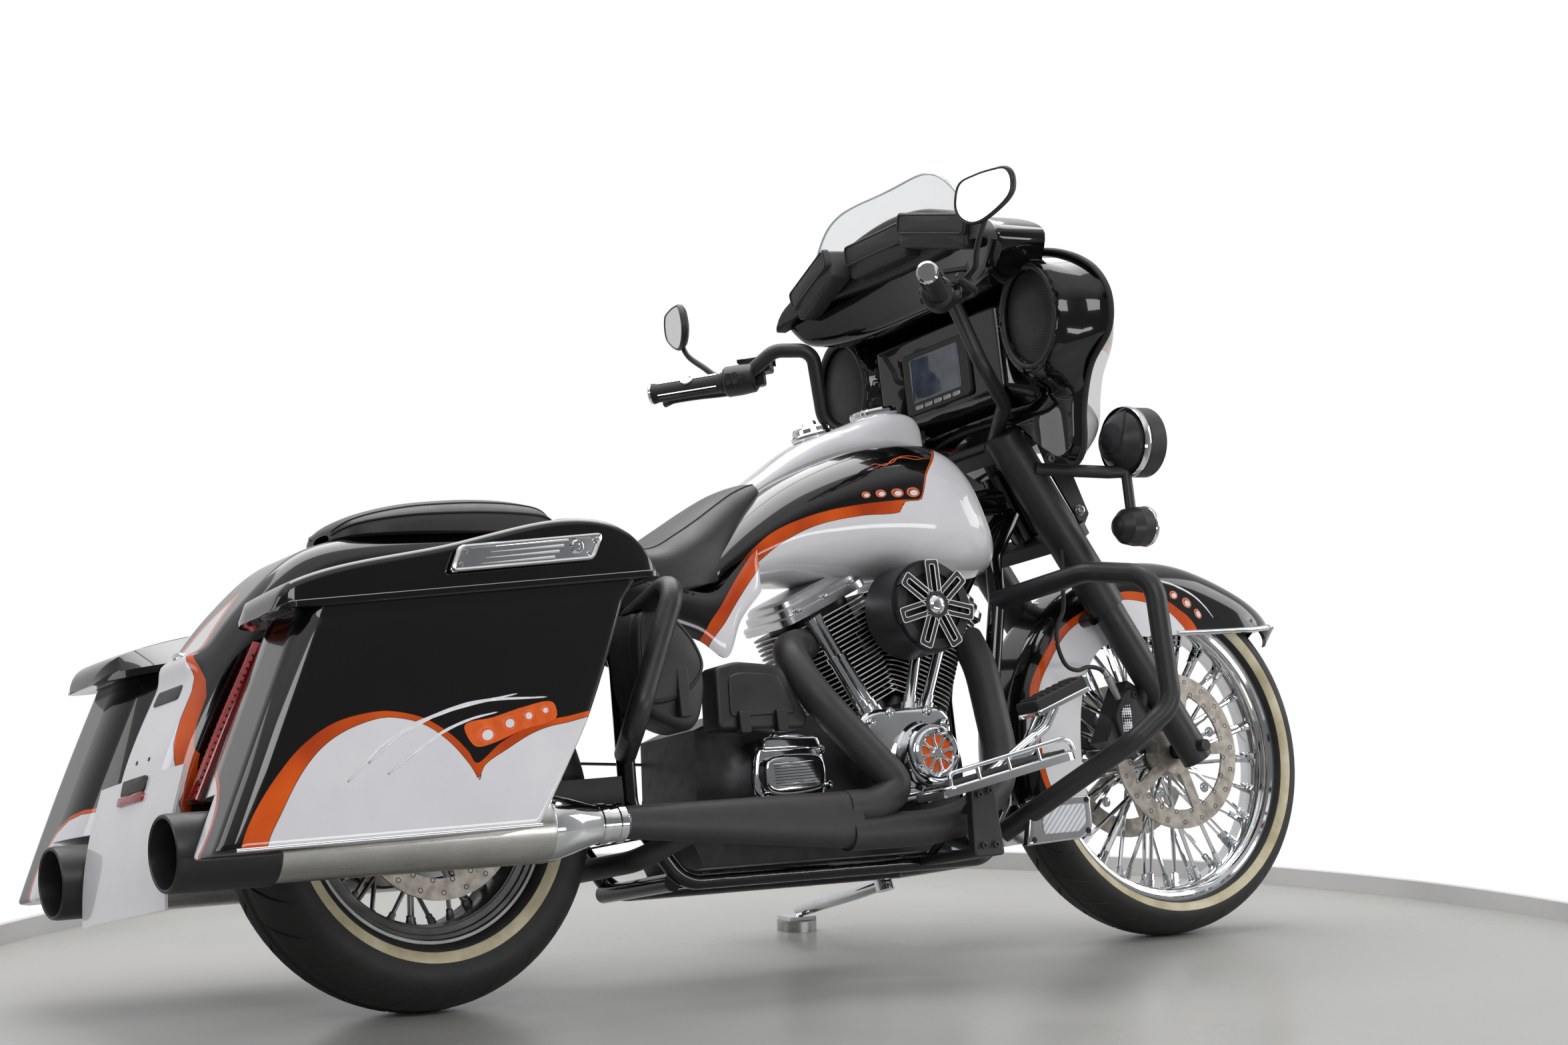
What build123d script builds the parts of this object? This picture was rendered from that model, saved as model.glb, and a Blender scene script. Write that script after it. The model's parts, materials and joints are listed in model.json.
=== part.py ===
"""Touring motorcycle parked on its side stand: one solid or group of solids for each sub-part.

Every piece is modelled upright in the bike's own frame, in millimetres: X forward from the rear
axle, Y to the rider's left, Z up from the ground under the tyres. At the end the whole bike leans
to its left about the line through the tyres and is set down with the origin under the centre of
its box.
"""
from build123d import *
import math
import os

# ---------------------------------------------------------------- driving dimensions (mm, degrees)
WHEELBASE = 1596.0
LEAN = 11.24                   # how far the parked bike leans on its side stand
CLEAR = 0.3                    # gap between pieces that seat on each other in curved faces
RUN_FIT = 0.05                 # radial gap of an axle in its hub

FRONT_TYRE_R = 346.0
FRONT_TYRE_W = 130.0
FRONT_RIM_R = 286.0            # top of the rim lip
FRONT_BEAD_Y = 40.0            # inner face of the rim lip
FRONT_SPOKES = 40
FRONT_HUB_Y = 44.0             # end of the hub, where the discs are bolted
FRONT_DISC_R = 150.0
FRONT_DISC_Y = 79.0            # middle of the disc's thickness

REAR_TYRE_R = 320.0
REAR_TYRE_W = 180.0
REAR_RIM_R = 217.0
REAR_BEAD_Y = 63.0
REAR_SPOKES = 40
REAR_HUB_Y = 60.0
REAR_DISC_R = 146.0
REAR_DISC_Y = 98.0

BEAD_DEPTH = 17.0              # from the lip's top down to the bead seat
RIM_WALL = 4.0
DISC_T = 5.0
AXLE_R = 12.5
HUB_R = 32.0

NECK_X, NECK_Z = 1330.0, 850.0  # a point on the steering axis
STEER_RAKE = 26.0              # steering axis from the vertical
FORK_RAKE = 31.0               # fork legs from the vertical
FORK_Y = 125.0
FORK_TOP_Z = 952.0
FORK_UPPER_R = 37.0
FORK_LOWER_R = 30.0
AXLE_STEP_Y = 157.0            # front axle steps down just outside the fork legs
AXLE_END_Y = 169.0
AXLE_STUB_R = 11.0
NECK_R = 32.0
STEM_R = 15.0
LOWER_TREE_Z = 752.0
UPPER_TREE_Z = 930.0
TREE_T = 26.0

FRAME_TUBE_R = 16.0
SEAT_RAIL_Y = 131.0            # rails beside the rear fender, which carry it and the bags
BAG_POST_X = (110.0, -170.0)
BACKBONE_R = 26.0
RAIL_Y = 118.0                 # lower frame rails
RAIL_Z = 172.0
DOWNTUBE_X = 1174.0
GUARD_X = 1212.0               # knee of the downtubes, where the engine guard is clamped
DOWNTUBE_Y = 75.0
KNEE_Z = 645.0
GUARD_R = 19.0

BACKBONE_PATH = [(1300, 0, 850), (900, 0, 812), (640, 0, 724), (420, 0, 650)]

TANK_NOSE_X, TANK_NOSE_Z = 1178.0, 800.0

CRANK_X, CRANK_Z = 957.0, 340.0
CYL_TILT = 22.5                # each cylinder from the vertical
CYL_BASE = 105.0               # along the cylinder from the crank
HEAD_BASE = 262.0
HEAD_TOP = 330.0
FIN_T = 3.0
FIN_GAP = 9.0

PIPE_Y = 242.0                 # exhaust and mufflers beside the wheel
MUFFLER_R = 54.0
TIP_R = 60.0
TIP_X, TIP_Z = -528.0, 274.0

BAG_OUT_Y = 450.0
BAG_IN_Y = 188.0
BAG_WALL = 4.0
BAG_CORNER = 26.0
BAG_REAR_SLOPE = 150 / 352     # how far the rear and front walls run forward for each mm up
BAG_FRONT_SLOPE = 30 / 37
HINGE_X = (-260.0, 120.0)      # hinges along the lid's inner edge
HINGE_PIN_R, HINGE_HALF = 4.0, 30.0
LID_LIP = 8.0                  # how far the lid overhangs the tub
LID_KERB = 12.0                # height of the lid's inner edge above the joint
LID_DRAFT = 80.0               # how far the lid's inner wall leans outward at its top
LID_SLOPE = math.degrees(math.atan2(36, 590))
FENDER_HALF = 114.0            # rear fender half width
F_FENDER_HALF = 86.0
F_FENDER_R = 374.0
F_SHOULDER = 52.0              # height of a fender's rounded crown
SKIRT_R = 238.0                # the skirt's lower edge from the axle, above the wheel
FLARE_ANGLE, FLARE_R = 71.6, 740.0   # from here forward the front fender straightens to this radius
FENDER_WALL = 3.0

PAD_X, PAD_Y = 1035.0, 446.0   # side stand's foot in the upright frame
PAD_T = 8.0
PUCK_R, PUCK_H = 38.5, 20.0
STAND_R = 12.0
PIVOT = Vector(1042, 150, 150)   # side stand's pivot, under the left lower rail
PIVOT_AXIS = Vector(-0.0414, 0.1597, 0.977).normalized()
PIVOT_PIN_R = 6.0
BARREL_R = 18.0
BARREL_HALF = 13.0

LAMP_X, LAMP_Y, LAMP_Z = 1394.0, 230.0, 917.0   # back of the right-hand passing lamp
LAMP_R, LAMP_LENGTH = 66.0, 92.0
SIGNAL_Z, SIGNAL_R = 756.0, 37.0
HEADLAMP_Z, HEADLAMP_R = 1075.0, 96.0
FAIRING_X, NOSE_X = 1262.0, 1486.0   # open back edge and closed front of the batwing
FAIRING_WALL = 4.0

MIRROR_AT = Vector(942, -492, 1297)   # middle of the right-hand mirror glass
MIRROR_W, MIRROR_H, MIRROR_T = 156.0, 94.0, 22.0
MIRROR_YAW = 16.0
SCREEN_T = 4.0

BAR_R = 14.0
GRIP_ROOT = Vector(965, -330, 1158)     # last bend of the right-hand bar
GRIP_DIR = Vector(-124, -138, 0).normalized()
BAR_END = 172.0
GRIP_END = 186.0

LEAN_RAD = math.radians(LEAN)
SIDES = (-1, 1)                # right, left


# ---------------------------------------------------------------- small helpers
def side_face(points, y=0.0):
    """A face drawn in X and Z, standing at y and facing the right-hand side (-Y)."""
    plane = Plane(origin=(0, y, 0), x_dir=(1, 0, 0), z_dir=(0, -1, 0))
    return plane * make_face(Polyline(*points, close=True))


def side_slab(points, y_low, y_high):
    """A slab of the side outline between two Y values."""
    return extrude(side_face(points, y_high), amount=y_high - y_low)


def box(x0, x1, y0, y1, z0, z1):
    """A block between six limits."""
    return Pos((x0 + x1) / 2, (y0 + y1) / 2, (z0 + z1) / 2) * Box(x1 - x0, y1 - y0, z1 - z0)


def rod(a, b, radius, far_radius=None):
    """A round bar or cone from point a to point b."""
    a, b = Vector(*a), Vector(*b)
    plane = Plane(origin=a, z_dir=(b - a).normalized())
    length = (b - a).length
    if far_radius is None:
        return extrude(plane * Circle(radius), amount=length)
    return plane * Cone(radius, far_radius, length, align=(Align.CENTER, Align.CENTER, Align.MIN))


def bar(a, b, radius, sides):
    """A prism of a few sides from a to b, for thin spokes."""
    a, b = Vector(*a), Vector(*b)
    plane = Plane(origin=a, z_dir=(b - a).normalized())
    return extrude(plane * RegularPolygon(radius, sides), amount=(b - a).length)


def tube(points, radius, bend):
    """A bent round tube: straight runs joined by arcs of the given radius or radii."""
    points = [tuple(p) for p in points]
    path = FilletPolyline(*points, radius=bend) if len(points) > 2 else Line(*points)
    return sweep(Plane(origin=path @ 0, z_dir=path % 0) * Circle(radius), path=path)


def turn_y(points, x, z, y=0.0):
    """Turn a closed profile of (radius, y) points about a cross axis through x and z."""
    face = make_face(Polyline(*points, close=True))
    return Pos(x, y, z) * revolve(face, axis=Axis.Y)


def drum_x(x0, x1, y, z, radius):
    """A cylinder along the bike."""
    return extrude(Plane(origin=(x0, y, z), x_dir=(0, 1, 0), z_dir=(1, 0, 0)) * Circle(radius),
            amount=x1 - x0)


def drum(x, z, radius, y0, y1):
    """A cylinder across the bike."""
    plane = Plane(origin=(x, min(y0, y1), z), x_dir=(1, 0, 0), z_dir=(0, 1, 0))
    return extrude(plane * Circle(radius), amount=abs(y1 - y0))


def turn_along(points, a, b):
    """Turn a profile of (distance, radius) points about the line from a towards b."""
    a, b = Vector(*a), Vector(*b)
    face = make_face(Polyline((points[0][0], 0), *points, (points[-1][0], 0), close=True))
    turned = revolve(face, axis=Axis.X)
    across = Vector(0, 1, 0)
    return Plane(origin=a, x_dir=(b - a).normalized(), z_dir=(b - a).cross(across).normalized()) * turned


def mirror_y(shape):
    """The same piece on the other side of the bike."""
    return mirror(shape, about=Plane.XZ)


def both(shape):
    """A piece and its twin on the other side, as separate solids."""
    return Compound(children=[*shape.solids(), *mirror_y(shape).solids()])


def group(*shapes):
    """Several solids that do not touch, kept in one node."""
    return Compound(children=[s for shape in shapes for s in shape.solids()])


def on_steer(z):
    """X of the steering axis at a height."""
    return NECK_X - (z - NECK_Z) * math.tan(math.radians(STEER_RAKE))


def on_fork(z):
    """X of the fork legs at a height; their line runs through the front axle."""
    return WHEELBASE - (z - FRONT_AXLE_Z) * math.tan(math.radians(FORK_RAKE))


def crown_radius(tyre_r, width, side_r):
    """Radius of the arc through a tyre's crown and its two widest points."""
    rise = tyre_r - side_r
    return (width ** 2 / 4 + rise ** 2) / (2 * rise)


FRONT_SIDE_R = FRONT_RIM_R + 17.0
REAR_SIDE_R = REAR_RIM_R + 45.0
FRONT_CROWN = crown_radius(FRONT_TYRE_R, FRONT_TYRE_W, FRONT_SIDE_R)
REAR_CROWN = crown_radius(REAR_TYRE_R, REAR_TYRE_W, REAR_SIDE_R)
REAR_AXLE_Z = REAR_TYRE_R
# both leaning tyres touch the floor, so the rounder front tyre sits a hair lower
FRONT_AXLE_Z = FRONT_TYRE_R + (FRONT_CROWN - REAR_CROWN) * (1 / math.cos(LEAN_RAD) - 1)
GROUND_LIFT = REAR_CROWN * (1 - math.cos(LEAN_RAD))
# the foot lies level on the puck once the bike leans
PAD_Z = (PUCK_H + PAD_T / 2 + CLEAR - GROUND_LIFT + PAD_Y * math.sin(LEAN_RAD)) / math.cos(LEAN_RAD)


# ---------------------------------------------------------------- wheels
def tyre(x, z, outer_r, width, side_r, rim_r, bead_y):
    """A tyre with a round crown, seated between the rim's lips."""
    half = width / 2
    bead_r = rim_r - BEAD_DEPTH
    lip_gap = 1.0
    crown = ThreePointArc((side_r, half), (outer_r, 0), (side_r, -half))
    upper = ThreePointArc((rim_r + lip_gap, bead_y), ((rim_r + side_r) / 2 - 2,
            half - (half - bead_y) * 0.22),
                          (side_r, half))
    lower = ThreePointArc((side_r, -half), ((rim_r + side_r) / 2 - 2, -half + (half - bead_y) * 0.22),
                          (rim_r + lip_gap, -bead_y))
    bead = Polyline((rim_r + lip_gap, -bead_y), (bead_r, -bead_y), (bead_r, bead_y), (rim_r + lip_gap,
            bead_y))
    face = make_face(Curve(children=[crown, upper, lower, bead]))
    return Pos(x, 0, z) * revolve(face, axis=Axis.Y)


def spoked_wheel(x, z, rim_r, bead_y, spokes, spoke_r, hub_y):
    """Rim, hub and crossing spokes in one piece."""
    flange_y = hub_y - 4.0
    seat = rim_r - BEAD_DEPTH
    well = seat - 22.0
    lip = 4.0
    slope = 12.0
    shelf = bead_y - 15.0
    outer = [(rim_r, bead_y + lip), (rim_r, bead_y), (seat, bead_y), (seat, shelf), (well, shelf - slope)]
    inner = [(well - RIM_WALL, shelf - slope - 1), (seat - RIM_WALL - 2, shelf + 1), (seat - RIM_WALL,
            bead_y + lip)]
    half = outer + [(r, -y) for r, y in reversed(outer)]
    back = [(r, -y) for r, y in reversed(inner)] + inner
    rim = turn_y(half + back, x, z)
    hub = drum(x, z, HUB_R, -hub_y, hub_y) + drum(x, z, HUB_R + 14, -hub_y, 8 - hub_y)
    hub += drum(x, z, HUB_R + 14, hub_y - 8, hub_y)
    pieces = []
    for i in range(spokes):
        side = 1 if i % 2 else -1
        sweep_on = 1 if (i // 2) % 2 else -1
        at = 2 * math.pi * i / spokes
        root = at + sweep_on * math.radians(52)
        a = (x + (HUB_R + 8) * math.cos(root), side * flange_y, z + (HUB_R + 8) * math.sin(root))
        b = (x + (well - 2) * math.cos(at), side * 7.0, z + (well - 2) * math.sin(at))
        pieces.append(bar(a, b, spoke_r, 4))
    wheel = rim + hub + pieces
    return wheel - drum(x, z, AXLE_R + RUN_FIT, -flange_y - 40, flange_y + 40)


def brake_disc(x, z, radius, y, carrier_y):
    """Disc ring with a five-armed carrier that bolts to the hub's end."""
    inward = 1 if carrier_y < y else -1
    ring = drum(x, z, radius, y - DISC_T / 2, y + DISC_T / 2) - drum(x, z, radius * 0.76, y - 9, y + 9)
    boss = drum(x, z, 46.0, y - DISC_T / 2, y + DISC_T / 2)
    if inward > 0:
        boss += drum(x, z, 44.0, carrier_y, y)
    else:
        boss += drum(x, z, 44.0, y, carrier_y)
    arms = []
    for i in range(5):
        arm = box(30, radius * 0.78, y - DISC_T / 2, y + DISC_T / 2, -11, 11)
        arms.append(Pos(x, 0, z) * Rot(0, 72 * i, 0) * arm)
    disc = ring + boss + arms
    return disc - drum(x, z, AXLE_R + 4, y - 60, y + 60)


# ---------------------------------------------------------------- frame and rear suspension
def frame_tubes():
    """Backbone, steering neck, twin downtubes and cradle, seat rails and cross members."""
    top = (on_steer(UPPER_TREE_Z - TREE_T), 0, UPPER_TREE_Z - TREE_T)
    low = (on_steer(LOWER_TREE_Z + TREE_T), 0, LOWER_TREE_Z + TREE_T)
    neck = rod(low, top, NECK_R)
    body = neck + tube(BACKBONE_PATH, BACKBONE_R, 120)
    for s in SIDES:
        body += tube([(1318, s * 16, 820), (1250, s * 30, 735), (GUARD_X, s * DOWNTUBE_Y, KNEE_Z),
                (DOWNTUBE_X, s * DOWNTUBE_Y, 480),
                      (DOWNTUBE_X, s * DOWNTUBE_Y, 260),
                      (1080, s * RAIL_Y, RAIL_Z), (440, s * RAIL_Y, RAIL_Z), (350, s * RAIL_Y, 300),
                      (350, s * SEAT_RAIL_Y, 600), (-220, s * SEAT_RAIL_Y, 540)], FRAME_TUBE_R,
                     [60, 40, 60, 60, 60, 60, 60, 60])
        for x in BAG_POST_X:
            z = 600 - (350 - x) * 60 / 570
            body += rod((x, s * (FENDER_HALF - FENDER_WALL), z), (x, s * BAG_IN_Y, z), 9.0)
    body += rod((350, -SEAT_RAIL_Y, 600), (350, SEAT_RAIL_Y, 600), FRAME_TUBE_R)
    body += rod((420, -RAIL_Y, RAIL_Z), (420, RAIL_Y, RAIL_Z), FRAME_TUBE_R)
    body += rod((1060, -RAIL_Y, RAIL_Z), (1060, RAIL_Y, RAIL_Z), FRAME_TUBE_R)
    body += rod((350, -116, 330), (350, 116, 330), 20.0)
    body += rod((420, 0, 650), (350, 0, 602), BACKBONE_R)
    lug_foot = PIVOT + PIVOT_AXIS * (BARREL_HALF + CLEAR)
    body += rod(lug_foot, lug_foot + PIVOT_AXIS * 14, BARREL_R)
    body += rod(PIVOT - PIVOT_AXIS * BARREL_HALF, lug_foot, PIVOT_PIN_R)
    body += box(PIVOT.X - BARREL_R, PIVOT.X + BARREL_R, RAIL_Y, PIVOT.Y, RAIL_Z - 4, RAIL_Z + 8)
    return body - rod(low, top, STEM_R + RUN_FIT)


def rear_suspension():
    """Swing arm with the rear axle, two shock absorbers and the rear caliper."""
    arm = rod((0, -150, REAR_AXLE_Z), (0, 150, REAR_AXLE_Z), AXLE_R)
    for s in SIDES:
        arm += side_slab([(-40, REAR_AXLE_Z - 26), (-40, REAR_AXLE_Z + 26), (330, REAR_AXLE_Z + 34),
                          (330, REAR_AXLE_Z - 24)], min(s * 116, s * 138), max(s * 116, s * 138))
    shocks = []
    for s in SIDES:
        shocks.append(rod((40, s * 160, REAR_AXLE_Z + 10), (75, s * 160, 560), 24.0))
        arm += rod((40, s * 130, REAR_AXLE_Z + 10), (40, s * 172, REAR_AXLE_Z + 10), 9.0)
    body = arm
    for shock in shocks:
        body += shock
    return body


# ---------------------------------------------------------------- engine
def along(tilt, length, offset=0.0):
    """Point at a length up a tilted cylinder and an offset across it, in X and Z."""
    t = math.radians(tilt)
    return (CRANK_X + length * math.sin(t) + offset * math.cos(t),
            CRANK_Z + length * math.cos(t) - offset * math.sin(t))


def cylinder_plane(tilt, length):
    """Plane square to a cylinder's axis: x across the bike, y forward."""
    t = math.radians(tilt)
    x, z = along(tilt, length)
    return Plane(origin=(x, 0, z), x_dir=(0, 1, 0), z_dir=(math.sin(t), 0, math.cos(t)))


def fin(tilt, length, half_across, half_along, thickness=FIN_T):
    """One cooling fin with cut corners."""
    cut = 26.0
    a, b = half_across, half_along
    outline = [(-a, -b + cut), (-a + cut, -b), (a - cut, -b), (a, -b + cut), (a, b - cut), (a - cut, b),
               (-a + cut, b), (-a, b - cut)]
    return extrude(cylinder_plane(tilt, length) * make_face(Polyline(*outline, close=True)), amount=thickness)


def engine_cylinders():
    """Two finned cylinders and heads, each fused with its core."""
    made = []
    for tilt in (-CYL_TILT, CYL_TILT):
        core = extrude(cylinder_plane(tilt, CYL_BASE) * Circle(62), amount=HEAD_TOP - CYL_BASE)
        core += extrude(cylinder_plane(tilt, HEAD_BASE) * Rectangle(130, 150), amount=HEAD_TOP - HEAD_BASE)
        count = int((HEAD_TOP - CYL_BASE - 30) / FIN_GAP)
        for i in range(count):
            length = CYL_BASE + 30 + i * FIN_GAP
            grown = 12.0 if length > HEAD_BASE else 0.0
            core += fin(tilt, length, 78 + grown, 80 + grown * 1.4)
        made.append(core)
    both_cylinders = made[0] + made[1]
    return both_cylinders - drum(CRANK_X, CRANK_Z, 121.0, -100, 100)


def engine_case():
    """Crankcase, gearbox and oil pan as one heavy block."""
    crank = drum(CRANK_X, CRANK_Z, 120.0, -88, 88)
    gearbox = side_slab([(520, 235), (500, 300), (510, 430), (600, 462), (800, 440), (900, 300), (900,
            235)], -92, 92)
    pan = side_slab([(500, 192), (480, 240), (1000, 240), (1010, 215), (980, 192)], -96, 96)
    case = crank + gearbox + pan
    case += side_slab([(800, 420), (840, 452), (1060, 452), (1050, 300), (1080, 240), (850, 240)], -80, 80)
    return case


def valve_gear():
    """Rocker boxes on the heads and the four pushrod tubes with their collars."""
    boxes = []
    for tilt in (-CYL_TILT, CYL_TILT):
        lower = extrude(cylinder_plane(tilt, HEAD_TOP) * RectangleRounded(160, 204, 24), amount=16)
        cap = extrude(cylinder_plane(tilt, HEAD_TOP + 16) * RectangleRounded(152, 192, 22), amount=24,
                taper=12)
        boxes.append(lower + cap)
    tubes = []
    for low_x, tilt, across, y in ((838, -CYL_TILT, -20, -124), (866, -CYL_TILT, 14, -108),
                                   (948, CYL_TILT, -14, -108), (980, CYL_TILT, 20, -124)):
        x, z = along(tilt, HEAD_BASE - 4, across)
        tubes.append(rod((low_x, y - 6, 452), (x, y, z), 8.0) + rod((low_x, y - 6, 440), (low_x, y - 6,
                462), 15.0))
    return boxes, tubes


def cam_cover():
    """Chrome cam cover with its round nose and spoked badge."""
    outline = [(816, 428), (850, 446), (1000, 446), (1022, 424), (1016, 330), (960, 284), (872, 276), (846,
            300)]
    plate = side_slab(outline, -150, -121)
    nose = drum(CRANK_X - 10, 357, 64.0, -188, -150)
    ring = drum(CRANK_X - 10, 357, 42.0, -194, -188) - drum(CRANK_X - 10, 357, 36.0, -195, -190)
    badge = ring + drum(CRANK_X - 10, 357, 8.0, -194, -188)
    for i in range(8):
        spoke = box(6, 38, -194, -188, -2.5, 2.5)
        badge += Pos(CRANK_X - 10, 0, 357) * Rot(0, 45 * i, 0) * spoke
    web = side_slab([(860, 430), (990, 430), (1000, 320), (900, 290)], -121, -88)
    return plate + nose + badge + web


def drive_covers():
    """Gearbox end cover on the right and the long primary cover on the left."""
    end = drum(657, 345, 78.0, -150, -92.3)
    oval = extrude(Plane(origin=(660, -150, 338), x_dir=(1, 0, 0), z_dir=(0, -1, 0)) * SlotOverall(130, 62),
                   amount=14)
    right = end + oval
    primary = hull_slab(((CRANK_X + 10, 345, 112), (640, 330, 100)), 92.3, 170)
    dome = drum(640, 330, 78.0, 170, 186)
    left = primary + dome
    return group(right, left)


def hull_slab(circles, y0, y1):
    """Slab of the outline round two circles given as x, z, radius."""
    (xa, za, ra), (xb, zb, rb) = circles
    d = math.hypot(xb - xa, zb - za)
    base = math.atan2(zb - za, xb - xa)
    spread = math.acos((ra - rb) / d)
    corners = []
    for x, z, r, ang in ((xa, za, ra, base + spread), (xb, zb, rb, base + spread),
                         (xb, zb, rb, base - spread), (xa, za, ra, base - spread)):
        corners.append((x + r * math.cos(ang), z + r * math.sin(ang)))
    low, high = min(y0, y1), max(y0, y1)
    return side_slab(corners, low, high) + drum(xa, za, ra, low, high) + drum(xb, zb, rb, low, high)


def drive_belt():
    """Toothed belt's outline round the rear pulley and the hidden front one."""
    outer = hull_slab(((0, REAR_AXLE_Z, 109), (560, 330, 62)), 97, 111)
    return outer - hull_slab(((0, REAR_AXLE_Z, 105.5), (560, 330, 58.5)), 96, 112)


def air_cleaner():
    """Drum facing outward with seven slotted spokes on its face."""
    x, z = CRANK_X - 3, 617.0
    body = drum(x, z, 84.0, -212, -130) + drum(x, z, 40.0, -130, -30)
    face = drum(x, z, 78.0, -224, -212) - drum(x, z, 60.0, -225, -216)
    for i in range(7):
        spoke = box(14, 80, -232, -215, -13, 13) - box(24, 72, -233, -214, -5, 5)
        face += Pos(x, 0, z) * Rot(0, 360 / 7 * i + 12, 0) * spoke
    face += drum(x, z, 24.0, -234, -215)
    return body + face


# ---------------------------------------------------------------- exhaust
def exhaust_headers():
    """Front and rear header pipes that join in a flat-sided collector, and the crossover."""
    front_x, front_z = along(CYL_TILT, 290, 84)
    front = tube([(front_x - 6, -62, front_z), (1128, -110, 520), (1100, -185, 300), (940, -238, 224),
                  (700, -PIPE_Y, 224)], 31.0, [50, 120, 90])
    rear_x, rear_z = along(-CYL_TILT, 290, -84)
    rear = tube([(rear_x + 6, -66, rear_z), (640, -190, 560), (700, -222, 450), (830, -236, 300),
                 (770, -PIPE_Y, 268), (700, -PIPE_Y, 268)], 30.0, [40, 60, 38, 30])
    fat = Plane(origin=(720, -PIPE_Y, 247), x_dir=(0, 1, 0), z_dir=(-1, 0, 0)) * SlotOverall(100, 58,
            rotation=90)
    slim = Plane(origin=(262, -PIPE_Y, 268.5), x_dir=(0, 1, 0), z_dir=(-1, 0, 0)) * Circle(27)
    collector = loft([fat, slim])
    cross = tube([(430, -PIPE_Y + 4, 262), (335, -160, 210), (335, 160, 210), (318, PIPE_Y, 262)], 19.0, 45)
    left_end = turn_along([(0, 27), (70, 27)], (262, PIPE_Y, 268.5), (330, PIPE_Y, 268.5))
    return front + rear + collector + cross + left_end


def mufflers():
    """Chrome cone and brushed body of each muffler."""
    start, end = (262, -PIPE_Y, 268.5), (TIP_X, -PIPE_Y, 268.5)
    return both(turn_along([(0, 27), (20, 27), (90, MUFFLER_R), (628, MUFFLER_R)], start, end))


def muffler_tips():
    """Black end sleeves, open at the back."""
    tip = rod((-366, -PIPE_Y, 268.5), (TIP_X, -PIPE_Y, TIP_Z), TIP_R)
    tip -= rod((-440, -PIPE_Y, 271), (TIP_X - 5, -PIPE_Y, TIP_Z), TIP_R - 6)
    return both(tip)


# ---------------------------------------------------------------- bodywork
def loft_sections(sections):
    """Loft through rounded rectangles given as (x, y half width, z low, z high, corner)."""
    faces = []
    for x, half, z0, z1, corner in sections:
        plane = Plane(origin=(x, 0, (z0 + z1) / 2), x_dir=(0, 1, 0), z_dir=(1, 0, 0))
        faces.append(plane * RectangleRounded(2 * half, z1 - z0, corner))
    return loft(faces)


def fuel_tank():
    """Stretched teardrop tank, raked at the front like the fork; a tunnel runs over the backbone."""
    body = loft_sections([(1215, 128, 690, 900, 60), (1120, 168, 690, 938, 95), (1000, 176, 690, 946, 105),
                          (850, 168, 700, 920, 95), (700, 150, 690, 850, 70), (580, 132, 640, 750, 45)])
    nose = side_slab([(TANK_NOSE_X, TANK_NOSE_Z), (TANK_NOSE_X - 120, TANK_NOSE_Z + 246), (1400, 1100),
            (1400, 600),
                      (TANK_NOSE_X - 70, 600)], -300, 300)
    body -= nose
    front = body.faces().sort_by(Axis.X)[-2:]
    rim = [e for e in front.edges() if e.center().X > TANK_NOSE_X - 90]
    body = fillet(rim, 24.0)
    tunnel = box(560, 1260, -34, 34, 600, 800)
    return body - tunnel - tube(BACKBONE_PATH, BACKBONE_R + 4, 120)


def tank_console():
    """Console along the tank's top with the gauge and the filler cap."""
    body = loft_sections([(1105, 30, 900, 985, 12), (1050, 62, 900, 1012, 30), (900, 66, 880, 975, 28),
                          (740, 44, 830, 880, 18)])
    body += rod((1035, 0, 1000), (1030, 0, 1022), 46.0)
    body += rod((890, 0, 960), (888, 0, 986), 34.0)
    return body


def rider_seat():
    """Dished saddle whose nose climbs on to the tank."""
    outline = [(285, 700), (290, 770), (340, 760), (420, 742), (512, 773), (594, 821), (671, 856), (720, 866),
               (720, 852), (640, 700), (560, 680), (420, 690)]
    return side_slab(outline, -140, 140)


def passenger_pad():
    """Low pad on the rear fender."""
    return side_slab([(-106, 778), (-64, 814), (-7, 833), (108, 840), (247, 833), (280, 800), (270, 786)],
            -110, 110)


def rear_fender():
    """Stretched rear fender shell with rounded shoulders and flat sides."""
    crown = Spline((262, 786), (100, 784), (-106, 773), (-200, 748), (-290, 678), (-360, 600), (-420, 500),
                   (-464, 400), (-492, 262))
    base = Polyline(crown @ 1, (-420, 262), (-370, 400), (-330, 480), (290, 480), (330, 600), (330, 700),
            crown @ 0)
    side = Plane(origin=(0, FENDER_HALF, 0), x_dir=(1, 0, 0), z_dir=(0, -1, 0)) * make_face([crown, base])
    body = extrude(side, amount=2 * FENDER_HALF)
    w = FENDER_WALL
    shoulders = [e for e in body.edges() if abs(abs(e.center().Y) - FENDER_HALF) < 1 and e.length > 600
                 and e.center().Z > 490]
    body = fillet(shoulders, 46.0)
    inner_crown = Spline((262, 786 - w), (100, 784 - w), (-106 + w * 0.2, 773 - w), (-200 + w * 0.6,
            748 - w * 0.8),
                         (-290 + w * 0.7, 678 - w * 0.7), (-360 + w * 0.8, 600 - w * 0.6),
                         (-420 + w * 0.9, 500 - w * 0.4), (-464 + w, 400 - w * 0.2), (-492 + w, 262))
    inner_base = Polyline(inner_crown @ 1, (-488 + w, 240), (-400, 240), (340, 300), (340, 690),
            inner_crown @ 0)
    inner_side = Plane(origin=(0, FENDER_HALF - w, 0), x_dir=(1, 0, 0), z_dir=(0, -1, 0)) * make_face(
        [inner_crown, inner_base])
    hollow = extrude(inner_side, amount=2 * (FENDER_HALF - w))
    ridges = [e for e in hollow.edges() if abs(abs(e.center().Y) - FENDER_HALF + w) < 1 and e.length > 600
              and e.center().Z > 490]
    return body - fillet(ridges, 46.0 - w)


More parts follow.
